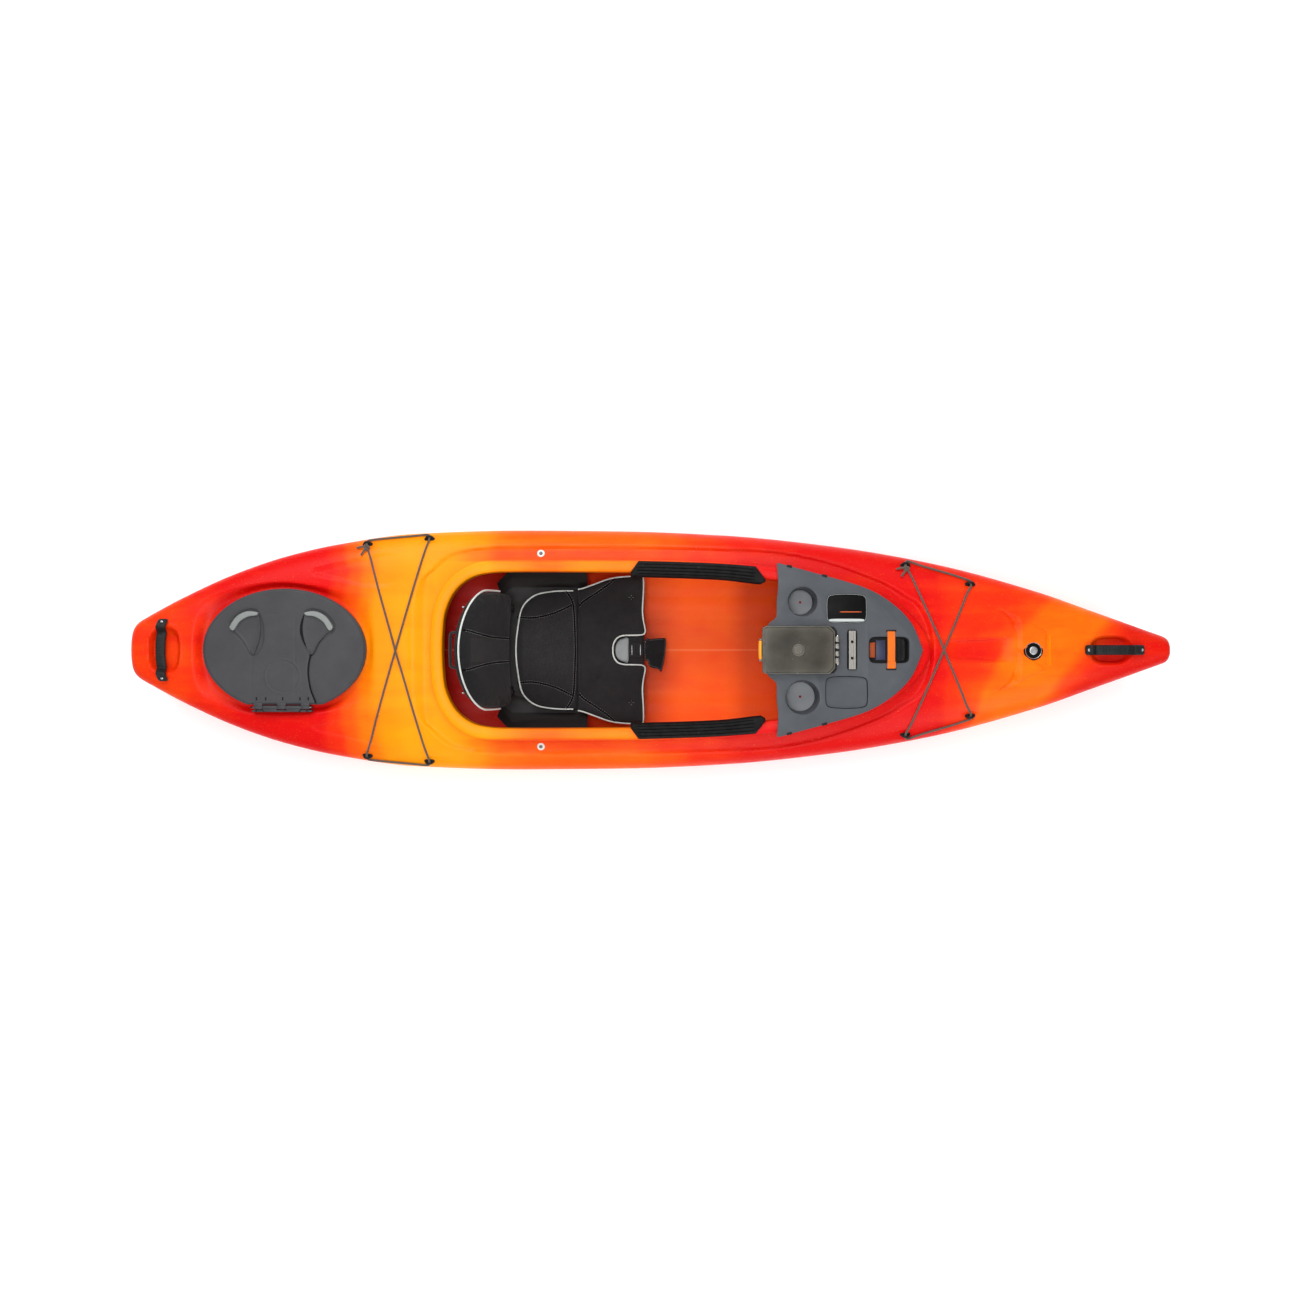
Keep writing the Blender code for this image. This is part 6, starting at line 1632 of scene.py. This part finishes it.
def stitches(lines, surface, offset=0.0034, pitch=0.0075, length=0.0046, half=0.00055):
    """Short raised threads either side of each seam, laid on the surface."""
    spots = []
    for line in lines:
        count = max(2, int(np.linalg.norm(np.diff(line, axis=0), axis=1).sum() / pitch))
        spaced = np.asarray(evenly(line, count), float)
        tangent = np.gradient(spaced, axis=0)
        tangent /= np.linalg.norm(tangent, axis=1)[:, None]
        across = np.stack([-tangent[:, 1], tangent[:, 0]], axis=1)
        for side in ((-1, 1) if offset else (0,)):
            spots += list(zip(spaced + across * offset * side, tangent))
    ends = [(p[0] + t[0] * s * length / 2, p[1] + t[1] * s * length / 2) for p, t in spots for s in (-1, 1)]
    heights = height_above(surface, ends)
    vertices, faces = [], []
    for k, (p, t) in enumerate(spots):
        a, b = heights[2 * k], heights[2 * k + 1]
        if a is None or b is None or abs(a - b) > 0.003:
            continue
        n = np.array((-t[1], t[0]))
        first = len(vertices)
        for s, z in ((-1, a), (-0.6, a * 0.8 + b * 0.2 + 0.0005), (0.6, a * 0.2 + b * 0.8 + 0.0005),
                     (1, b)):
            lift = 0.0 if abs(s) == 1 else 1.0
            wide = half * (0.5 if abs(s) == 1 else 1.0)
            for w, u in ((-wide, -0.0004), (-wide, 0.0003 * lift), (wide, 0.0003 * lift), (wide, -0.0004)):
                q = np.array(p) + t * s * length / 2 + n * w
                vertices.append((q[0], q[1], z + u))
        for i in range(3):
            for j in range(4):
                m = (j + 1) % 4
                faces.append((first + 4 * i + j, first + 4 * i + m, first + 4 * i + 4 + m,
                              first + 4 * i + 4 + j))
        faces += [(first + 3, first + 2, first + 1, first),
                  (first + 12, first + 13, first + 14, first + 15)]
    return mesh_object("stitches", vertices, faces, THREAD, 60)


WELT_DIAMETER = 0.0056
WELT_SINK = 0.42       # the share of a welt that is sunk into its cushion


def cord_on(line, surface, diameter, material, sink=0.3):
    """A piped edge: a cord laid along the line, sunk a little into the surface."""
    heights = height_above(surface, [tuple(p) for p in line])
    known = [(i, z) for i, z in enumerate(heights) if z is not None]
    z = np.interp(range(len(line)), [i for i, _ in known], [v for _, v in known])
    for _ in range(3):
        z[1:-1] = (z[:-2] + 2 * z[1:-1] + z[2:]) / 4
    path = [(p[0], p[1], h + diameter * (0.5 - sink)) for p, h in zip(line, z)]
    return tube("piping", path, diameter, material)


def welts_on(pad, seams):
    """The sewn welts along a cushion's seams."""
    return [cord_on(line, pad, WELT_DIAMETER, SEAM, WELT_SINK) for line in seams]


def faces_into(obj, material, test):
    """Gives the faces whose middles pass the test a second material."""
    obj.data.materials.append(material)
    index = len(obj.data.materials) - 1
    flat = np.zeros(len(obj.data.polygons) * 3)
    obj.data.polygons.foreach_get("center", flat)
    chosen = test(flat.reshape(-1, 3))
    kept = np.zeros(len(obj.data.polygons), np.int32)
    obj.data.polygons.foreach_get("material_index", kept)
    kept[chosen] = index
    obj.data.polygons.foreach_set("material_index", kept)


def shifted_in(line, distance):
    """A closed outline moved inward by the distance."""
    line = np.asarray(line, float)
    tangent = np.roll(line, -1, axis=0) - np.roll(line, 1, axis=0)
    tangent /= np.linalg.norm(tangent, axis=1)[:, None] + 1e-12
    normal = np.stack([-tangent[:, 1], tangent[:, 0]], axis=1)
    area = np.sum(line[:, 0] * np.roll(line[:, 1], -1) - np.roll(line[:, 0], -1) * line[:, 1])
    return line + normal * distance * (1 if area > 0 else -1)


# ---- Seat ---------------------------------------------------------------------------------------
SEAT_PAN = 0.078
REAR_HALF = ((-0.2190, 0.0), (-0.2190, 0.100), (-0.2200, 0.180), (-0.2225, 0.194), (-0.235, 0.1955),
             (-0.300, 0.1935), (-0.360, 0.180), (-0.402, 0.140), (-0.418, 0.070),
             (-0.424, 0.0))
REAR_SEAMS = (((-0.2277, 0.0), (-0.2300, 0.080), (-0.2360, 0.150), (-0.2590, 0.190)),
              ((-0.4124, 0.105), (-0.3614, 0.1019), (-0.2987, 0.116), (-0.2474, 0.1388), (-0.2380, 0.1430)))
FRONT_HALF = ((-0.2205, 0.0), (-0.2205, 0.120), (-0.2195, 0.185), (-0.2160, 0.1965), (-0.202, 0.201),
              (-0.162, 0.2156), (-0.1225, 0.2297),
              (-0.085, 0.236), (-0.040, 0.2382), (-0.012, 0.2376), (-0.003, 0.2310), (-0.0020, 0.180),
              (-0.0050, 0.127), (-0.0030, 0.090),
              (0.0010, 0.0620), (-0.0020, 0.0500), (-0.0120, 0.0440), (-0.025, 0.0425), (-0.050, 0.0420),
              (-0.072, 0.0410),
              (-0.088, 0.0360), (-0.0985, 0.0230), (-0.1025, 0.0100), (-0.1030, 0.0))
FRONT_PIPING = ((-0.2195, 0.1930), (-0.202, 0.1965), (-0.162, 0.2110), (-0.1225, 0.2252), (-0.085, 0.2320),
                (-0.040, 0.2345),
                (-0.0180, 0.2330), (-0.0115, 0.2260), (-0.0115, 0.180), (-0.0145, 0.127), (-0.0110, 0.090),
                (-0.0060, 0.0640),
                (-0.0080, 0.0530), (-0.0170, 0.0482), (-0.0300, 0.0472), (-0.050, 0.0468),
                (-0.074, 0.0458), (-0.0920, 0.0400),
                (-0.1035, 0.0260), (-0.1078, 0.0110), (-0.1083, 0.0))
FRONT_SEAMS = (((-0.2145, 0.1400), (-0.2050, 0.1510), (-0.1907, 0.1615), (-0.1520, 0.1870),
                (-0.1166, 0.2127), (-0.1000, 0.2300)),)
DIMPLES = ((-0.050, 0.167), (-0.152, 0.090))
FLAP = ((-0.008, 0.031), (0.015, 0.035), (0.050, 0.038), (0.0600, 0.034), (0.0600, 0.006),
        (0.0560, -0.026), (0.0490, -0.060),
        (0.0440, -0.069), (0.0340, -0.060), (0.0200, -0.058), (0.0060, -0.050), (0.0030, -0.034),
        (-0.008, -0.029))


def both(lines):
    """The lines and their mirror images over the boat's middle, as dense points."""
    made = []
    for line in lines:
        made.append(dense(line))
        if max(abs(y) for _, y in line) > 0:
            made.append(dense([(x, -y) for x, y in line]))
    return made


def closed_outline(half, count=320):
    """A half outline mirrored and drawn as an evenly pointed loop."""
    port = [tuple(p) for p in half]
    loop = port + [(x, -y) for x, y in reversed(port[1:-1])]
    return np.asarray(evenly(through(loop, 6, closed=True), count, closed=True), float)


def build_rear_cushion():
    low, high = SEAT_PAN + 0.0004, SEAT_PAN + 0.0300
    outline = closed_outline(REAR_HALF)
    pad = loft("seat_cushion_sewn", pad_rings(shifted_in(outline, 0.0030), (-0.31, 0), low, high, 0.002),
               COVER)
    seams = both(REAR_SEAMS)
    inflate(pad, lambda p: np.maximum(p[:, 2] < low + 0.004,
                                      np.exp(-(distance_to(seams, p) / 0.004) ** 2)
                                      * (p[:, 2] > high - 0.008)),
            4.0, 0.0085)
    sewn(pad, seams, 0.0032, 0.0036, high - 0.010)
    p = positions(pad)
    p[:, 2] = np.maximum(p[:, 2], low)
    put(pad, p)
    shade(pad, 180)
    panel = closed_outline(((-0.2285, 0.0), (-0.2330, 0.140), (-0.2987, 0.116), (-0.3614, 0.1019),
                            (-0.3900, 0.1030), (-0.3960, 0.0)), 120)
    faces_into(pad, COVER_HEX, lambda c: (outline_depth(panel, c[:, 0], c[:, 1]) > 0) & (c[:, 2] > high
            - 0.010))
    rim = shifted_in(outline, 0.0075)
    run = rim[np.argsort(-np.arctan2(rim[:, 1], -(rim[:, 0] + 0.30)))]
    run = run[run[:, 0] < -0.2345]
    piping = cord_on(run, pad, 0.0050, PIPING)
    welts = welts_on(pad, seams)
    made = merged("seat_cushion_sewn", [pad, stitches(seams, pad), piping] + welts)
    finished(made, "hull", "seat_fabric", "seat_cushion")


def build_leg_lift():
    low, high = SEAT_PAN + 0.0072, SEAT_PAN + 0.0340
    outline = closed_outline(FRONT_HALF, 420)
    pad = loft("leg_lift_cushion_sewn", pad_rings(shifted_in(outline, 0.0030), (-0.150, 0), low, high,
                                                  0.001), COVER)
    seams = both(FRONT_SEAMS)
    tufts = [np.array([(x, s * y)]) for x, y in DIMPLES for s in (-1, 1)]
    inflate(pad, lambda p: np.maximum(p[:, 2] < low + 0.004, np.maximum(
        np.exp(-(distance_to(seams, p) / 0.004) ** 2), 0.9 * np.exp(-(distance_to(tufts, p) / 0.006) ** 2))
        * (p[:, 2] > high - 0.008)), 4.0, 0.0080)
    sewn(pad, seams, 0.0030, 0.0036, high - 0.010)
    sewn(pad, tufts, 0.0035, 0.0075, high - 0.010)
    p = positions(pad)
    p[:, 2] = np.maximum(p[:, 2], low)
    put(pad, p)
    shade(pad, 180)
    port = list(FRONT_PIPING)
    run = dense(port + [(x, -y) for x, y in reversed(port[:-1])], 0.003)
    piping = cord_on(run, pad, 0.0048, PIPING)
    welts = welts_on(pad, seams)
    crosses = []
    for x, y in DIMPLES[:1]:
        for s in (-1, 1):
            crosses += [dense([(x - 0.006, s * y), (x + 0.006, s * y)]),
                        dense([(x, s * y - 0.006), (x, s * y + 0.006)])]
    made = merged("leg_lift_cushion_sewn", [pad, stitches(seams, pad), stitches(crosses, pad, offset=0.0),
                                            piping] + welts)
    finished(made, "leg_lift", "seat_fabric", "leg_lift_cushion")
    build_notch_fittings(low)


def build_notch_fittings(low):
    """The grey cloth tongue, the ladder buckle and the pull flap in the leg lift's front notch."""
    tongue = [(-0.0600, -0.0380), (-0.0590, 0.0), (-0.0600, 0.0380), (-0.0760, 0.0370), (-0.0880, 0.0320),
              (-0.0960, 0.0220), (-0.1000, 0.0080),
              (-0.1000, -0.0080), (-0.0960, -0.0220), (-0.0880, -0.0320), (-0.0760, -0.0370)]
    line = np.asarray(through(tongue, 6, closed=True), float)
    centre = line.mean(axis=0)
    rings = []
    for share, z in ((0.02, 0.0005), (0.95, 0.0005), (1.0, 0.0020), (1.0, 0.0150), (0.97, 0.0180),
                     (0.80, 0.0196), (0.5, 0.0204), (0.02, 0.0208)):
        rings.append(np.column_stack([centre + (line - centre) * share, np.full(len(line), low + z)]))
    cloth = loft("tongue", rings, GREY_CLOTH, smooth=60)
    top = low + 0.0170
    frame_bars = [block("bar", (-0.0585, y - 0.0026, low + 0.003), (-0.0130, y + 0.0026, top), BLACK,
                        0.0016, 3) for y in (-0.0192, 0.0192)]
    cross = [block("cross", (x - 0.0030, -0.0195, low + z), (x + 0.0030, 0.0195, low + z + 0.0042), BLACK,
                   0.0014, 3)
             for x, z in ((-0.0555, 0.010), (-0.0400, 0.0125), (-0.0260, 0.0110), (-0.0160, 0.0085))]
    web = swept("web", [(-0.0600, 0, low + 0.0080), (-0.0500, 0, low + 0.0150), (-0.0400, 0, low + 0.0100),
                        (-0.0300, 0, low + 0.0165),
                        (-0.0200, 0, low + 0.0120), (-0.0120, 0, low + 0.0090)],
                        eased_band(0.0150, 0.0011), STRAP_BLACK, smooth=60)
    pins = [rod("pin", (x, -0.0160, top - 0.0022), (x, 0.0160, top - 0.0022), 0.0014, STEEL, 16)
            for x in (-0.0480, -0.0210)]
    base = block("base", (-0.0590, -0.0210, low + 0.0006), (-0.0125, 0.0210, low + 0.0040), BLACK, 0.0012,
                 2)
    buckle = merged("leg_lift_buckle_moulded", [base] + frame_bars + cross + [web] + pins + [cloth])
    finished(buckle, "leg_lift", "dark_plastic", "leg_lift_buckle")

    outline = np.asarray(evenly(through(FLAP, 5, closed=True), 110, closed=True), float)
    centre = np.array((0.026, -0.006))

    def lie(x, y):
        fall = along(((-0.010, 0.0120), (0.008, 0.0135), (0.026, 0.0090), (0.044, 0.0020),
                      (0.060, -0.0030)), x)
        return low + fall + 0.0011 * math.sin(x * 150 + y * 60) + 0.0009 * math.sin(y * 210 - x
                * 70) + 0.0016 * math.sin(y * 95 + x * 40)
    rings = []
    for share, z in ((0.02, -0.0012), (0.35, -0.0012), (0.7, -0.0012), (0.97, -0.0012), (1.0, 0.0),
                     (0.985, 0.0009), (0.95, 0.0012), (0.90, 0.0010),
                     (0.80, 0.0012), (0.65, 0.0012), (0.5, 0.0012), (0.35, 0.0012), (0.2, 0.0012),
                     (0.02, 0.0012)):
        flat = centre + (outline - centre) * share
        rings.append([(x, y, float(lie(x, y)) + z) for x, y in flat])
    flap = loft("flap", rings, COVER_SMOOTH, smooth=60)
    hem = stitches([np.asarray(list(centre + (outline - centre) * 0.91), float)], flap, offset=0.0)
    made = merged("leg_lift_flap_sewn", [flap, hem])
    finished(made, "leg_lift", "seat_fabric", "leg_lift_strap")
    refined("leg_lift_plate", SEAT_SHELL, 0.0012)


BACK_PIVOT = Vector((-0.440, 0.0, 0.118))
BACK_LEAN = -math.radians(23)


def back_outline(half_width, bottom, top, corner, count=14):
    """Front view of the back: straight sides that end in an arched top."""
    side = [(half_width * 0.60, bottom), (half_width * 0.86, bottom + 0.004),
            (half_width * 0.97, bottom + 0.030),
            (half_width, bottom + 0.08), (half_width, top - corner)]
    arch = [(half_width * math.cos(a), top - corner + corner * math.sin(a))
            for a in np.linspace(0, math.pi / 2, count)[1:]]
    right = side + arch
    loop = right + [(-y, z) for y, z in reversed(right[:-1])]
    return np.asarray(evenly(through(loop, 4, closed=True), 320, closed=True), float)


BACK_HALF = 0.183      # half the backrest's width
BACK_WRAP = 0.020      # how far its sides curve forward
PIPING_FOOT = 0.110    # where the piping starts, above the pivot


def build_backrest():
    """The reclining back: a padded front with piping, its moulded shell and the grab handle behind."""
    place = Matrix.Translation(BACK_PIVOT) @ Matrix.Rotation(BACK_LEAN, 4, "Y")
    stand = place @ Matrix(((0, 0, 1), (1, 0, 0), (0, 1, 0))).to_4x4()

    def wrap(across, _):
        return BACK_WRAP * (across / 0.18) ** 2

    low, high = -0.0002, 0.0290
    outline = back_outline(BACK_HALF, 0.034, 0.335, 0.143)
    pad = loft("backrest_cushion_sewn", pad_rings(shifted_in(outline, 0.0030), (0, 0.19), low, high, 0.002,
                                                  wrap), COVER_SMOOTH)
    seams = [dense([(s * 0.036, 0.050), (s * 0.041, 0.180), (s * 0.060, 0.3240)]) for s in (-1, 1)]

    def flat_height(p):
        return p[:, 2] - wrap(p[:, 0], p[:, 1])

    inflate(pad, lambda p: np.maximum(flat_height(p) < low + 0.004,
                                      np.exp(-(distance_to(seams, p) / 0.0045) ** 2)
                                      * (flat_height(p) > high - 0.008)),
            4.0, 0.0085)
    sewn(pad, seams, 0.0032, 0.0038, 0.018)
    shade(pad, 180)
    faces_into(pad, COVER, lambda c: (np.abs(c[:, 0]) < 0.036) & (c[:, 1] > 0.06) & (c[:,
            1] < 0.300) & (c[:, 2] > 0.012))
    first = int(np.argmin(np.hypot(outline[:, 0] - BACK_HALF, outline[:, 1] - PIPING_FOOT)))
    last = int(np.argmin(np.hypot(outline[:, 0] + BACK_HALF, outline[:, 1] - PIPING_FOOT)))
    count = (last - first) % len(outline) + 1
    run = shifted_in(outline, 0.0012)[(first + np.arange(count)) % len(outline)]
    piping = tube("piping", [(u, v, low + 0.0100 + wrap(u, v)) for u, v in run], 0.0056, PIPING)
    welts = welts_on(pad, seams)
    threads = stitches(seams, pad)
    made = merged("backrest_cushion_sewn", [pad, threads, piping] + welts)
    moved(made, stand)
    finished(made, "backrest", "seat_fabric", "backrest_cushion")

    refined("backrest_shell", SEAT_SHELL, 0.0020)
    loop = through([(-0.0090, -0.053, 0.272), (-0.030, -0.0535, 0.277), (-0.0440, -0.0510, 0.2800),
                    (-0.0475, -0.0420, 0.2810), (-0.0480, 0.0, 0.2815),
                    (-0.0475, 0.0420, 0.2810), (-0.0440, 0.0510, 0.2800), (-0.030, 0.0535, 0.277),
                    (-0.0090, 0.053, 0.272)], 6)
    strap = swept("handle", loop, [(u * 0.80, s * 1.0) for s, u in eased_band(0.0058, 0.0050)],
                  STRAP_BLACK, smooth=60)
    anchors = [block("anchor", (-0.0150, y - 0.007, 0.262), (-0.0090, y + 0.007, 0.282), BLACK, 0.0015, 3)
               for y in (-0.053, 0.053)]
    pins = [rod("pin", (0.0060, s * 0.1265, 0.2830), (0.0050, s * 0.1290, 0.2995), 0.0026, STEEL, 20,
                ease=0.0006) for s in (-1, 1)]
    handle = moved(merged("backrest_handle_webbing", [strap] + anchors + pins), place)
    finished(handle, "backrest", "strap_webbing", "backrest_handle")
    for side in ("port", "starboard"):
        refined(f"back_pivot_{side}", STEEL, 0.0006)


def build_hanger(side, sign):
    """A bent strip from under the deck bolt down to the seat's wing."""
    x, y = SEAT_BOLT
    out = deck_normal(x, sign * y)
    top = Vector((x, sign * y, float(deck_height(x, y)))) - out * (WALL + 0.0022)
    bends = [top + Vector((0, sign * 0.012, -0.005)), top, top + Vector((0, -sign * 0.018, -0.001)),
             Vector((x, sign * 0.264, 0.236)), Vector((x, sign * 0.2625, 0.152))]
    line = through(bends, 6)
    strap = ribbon(line, sign)
    finished(strap, "hull", "aluminium", f"seat_hanger_{side}")
    strap.name = f"seat_hanger_{side}_strip"


def ribbon(line, sign):
    half, t = 0.0155, 0.0024
    rings = []
    for i, p in enumerate(line):
        p = Vector(p)
        ahead, behind = Vector(line[min(i + 1, len(line) - 1)]), Vector(line[max(i - 1, 0)])
        tangent = (ahead - behind).normalized()
        across = tangent.cross(Vector((1, 0, 0))).normalized() * sign
        if across.z > 0 or (abs(across.z) < 0.3 and across.y * sign < 0):
            across = -across
        rings.append([p + Vector((1, 0, 0)) * a + across * u for a, u in
                      ((-half + 0.0006, 0), (half - 0.0006, 0), (half, 0.0006), (half, t - 0.0006),
                       (half - 0.0006, t), (-half + 0.0006, t),
                       (-half, t - 0.0006), (-half, 0.0006))])
    return loft("ribbon", rings, ALUMINIUM)


def build_seat():
    refined("seat_base", SEAT_SHELL, 0.0030, segments=3)
    build_rear_cushion()
    build_leg_lift()
    build_backrest()
    x, y = SEAT_BOLT
    for side, sign in (("port", 1), ("starboard", -1)):
        build_hanger(side, sign)
        place = deck_frame(x, sign * y)
        washer = dome("washer", (0, 0, 0.0002), 0.0118, 0.0018, WASHER, hollow=0.0040)
        head = moved(screw_head("head", 0.0054, DULL_STEEL), Matrix.Translation((0, 0, 0.0016)))
        shank = rod("shank", (0, 0, -0.0150), (0, 0, 0.0020), 0.0030, STEEL, 20)
        bolt = moved(merged(f"seat_bolt_{side}_steel", [head, washer, shank]), place)
        finished(bolt, "hull", "steel", f"seat_bolt_{side}")


# ---- Thigh pads ---------------------------------------------------------------------------------
PAD_AFT, PAD_FORE = -0.0500, 0.3620
PAD_GROOVES = (0.20, 0.40, 0.60, 0.79)


def build_thigh_pads():
    """A grooved foam pad wrapped over the coaming lip on each side, pointed at its forward end."""
    line, normal = coaming_line(1600)
    keep = sorted((i for i in range(len(line)) if PAD_AFT < line[i][0] < PAD_FORE and line[i][1] > 0),
                  key=lambda i: line[i][0])
    w = LIP_HALF_WIDTH
    outer = w - 0.0035
    for side, sign in (("port", 1), ("starboard", -1)):
        rings = []
        for i in keep:
            (x, y), (nx, ny) = line[i], normal[i]
            z = float(along(LIP_HEIGHT, x))
            inner = -w - 0.0150 - 0.0035 * ramp((x - 0.22) / 0.12)
            aft = min(1.0, (x - PAD_AFT) / 0.024)
            tip = min(1.0, (PAD_FORE - x) / 0.034)
            right = inner + (outer - inner) * (0.28 + 0.72 * aft) * (0.30 + 0.70 * tip)
            left = inner + 0.010 * (1 - min(1.0, (PAD_FORE - x) / 0.014))
            body = 0.50 + 0.50 * max(0.0, min(1.0, (x - PAD_AFT) / 0.006, (PAD_FORE - x) / 0.006))
            lengthwise = ramp((x - PAD_AFT - 0.016) / 0.012) * ramp((PAD_FORE - 0.030 - x) / 0.012)
            top = []
            for u in np.linspace(0, 1, 49):
                arch = 0.0128 * body * (1 - (2 * u - 1) ** 6) - 0.0030 * (1 - u)
                groove = lengthwise * sum(0.0034 * math.exp(-((u - g) / 0.020) ** 2) for g in PAD_GROOVES)
                top.append((right + (left - right) * u, max(0.0020, arch - groove + 0.0020)))
            profile = top + [(left - 0.0004, -0.0060), (left + 0.0012, -0.0200), (left + 0.0036, -0.0320),
                             (-w - 0.0010, -0.0310),
                             (-w - 0.0008, 0.0010), (0.5 * (right - w), 0.0014), (right - 0.0004, 0.0012)]
            rings.append([(x + nx * s, sign * (y + ny * s), z + u) for s, u in profile])
        pad = loft(f"thigh_pad_{side}_foam", rings, PAD_FOAM, smooth=50)
        pieces = [pad]
        for x, y in ((0.157, sign * 0.2505), (-0.012, sign * 0.2560)):
            top = height_above(pad, [(x, y)])[0]
            pieces.append(moved(screw_head("screw", 0.0036, BLACK),
                                Matrix.Translation((x, y, (top or z) - 0.0008))))
        made = merged(f"thigh_pad_{side}_foam", pieces)
        finished(made, "hull", "foam", f"thigh_pad_{side}")


# ---- Inside the shell ---------------------------------------------------------------------------
def build_inside():
    """Bulkhead, bow block and foot braces, with their edges rounded and their finish on."""
    refined("rear_bulkhead", FOAM_GREY, 0.0015)
    block_in_bow = refined("bow_foam_block", FOAM_GREY, 0.0030)
    p = positions(block_in_bow)
    p[:, 2] = np.where(p[:, 2] > 0.20, p[:, 2] - 0.014, p[:, 2])
    put(block_in_bow, p)
    for side in ("port", "starboard"):
        refined(f"foot_rail_{side}", ALUMINIUM, 0.0006)
        refined(f"foot_pedal_{side}", BLACK, 0.0015, segments=3)
        for end in ("aft", "forward"):
            refined(f"foot_rail_bolt_{end}_{side}", STEEL, 0.0005)


# ---- Stage --------------------------------------------------------------------------------------
def build_stage():
    s = Shader("floor")
    s.set(Base_Color=(0.93, 0.93, 0.93, 1), Roughness=0.9, Specular_IOR_Level=0.1,
          Emission_Color=(1, 1, 1, 1),
          Emission_Strength=0.22)
    size = 40.0
    floor = mesh_object("floor", [(-size, -size, 0), (size, -size, 0), (size, size, 0), (-size, size, 0)],
                        [(0, 1, 2, 3)],
                        s.material)
    floor.location.z = -0.0005
    bpy.context.scene.view_settings.view_transform = "Standard"
    world = bpy.data.worlds.new("studio")
    bpy.context.scene.world = world
    world.use_nodes = True
    world.node_tree.nodes["Background"].inputs[0].default_value = (1, 1, 1, 1)
    world.node_tree.nodes["Background"].inputs[1].default_value = 0.46

    def area(name, at, target, size_x, size_y, power):
        light = bpy.data.lights.new(name, "AREA")
        light.shape, light.size, light.size_y, light.energy = "RECTANGLE", size_x, size_y, power
        made = bpy.data.objects.new(name, light)
        bpy.context.scene.collection.objects.link(made)
        made.location = at
        made.rotation_euler = (Vector(target) - Vector(at)).to_track_quat("-Z", "Y").to_euler()
        return made

    area("key", (-1.0, 3.4, 3.8), (0, 0, 0.2), 5.0, 2.0, 165)
    area("fill", (1.0, -3.6, 3.6), (0, 0, 0.2), 5.0, 2.0, 115)
    area("top", (-0.6, 0.0, 6.6), (0, 0, 0.0), 3.6, 1.6, 135)


def build_camera():
    data = bpy.data.cameras.new("camera")
    data.sensor_width, data.lens = 36.0, 45.02
    made = bpy.data.objects.new("camera", data)
    bpy.context.scene.collection.objects.link(made)
    made.location = (0.0095, 0.0, 5.27)
    bpy.context.scene.camera = made


build_hull()
build_hatch()
build_console()
build_rigging()
build_handle("bow_handle", (1.4175, 0.0), 0.090, True, 0.0)
build_handle("stern_handle", (-1.490, 0.0), 0.096, False, -0.008)
build_boss()
build_seat()
build_thigh_pads()
build_inside()
build_stage()
build_camera()
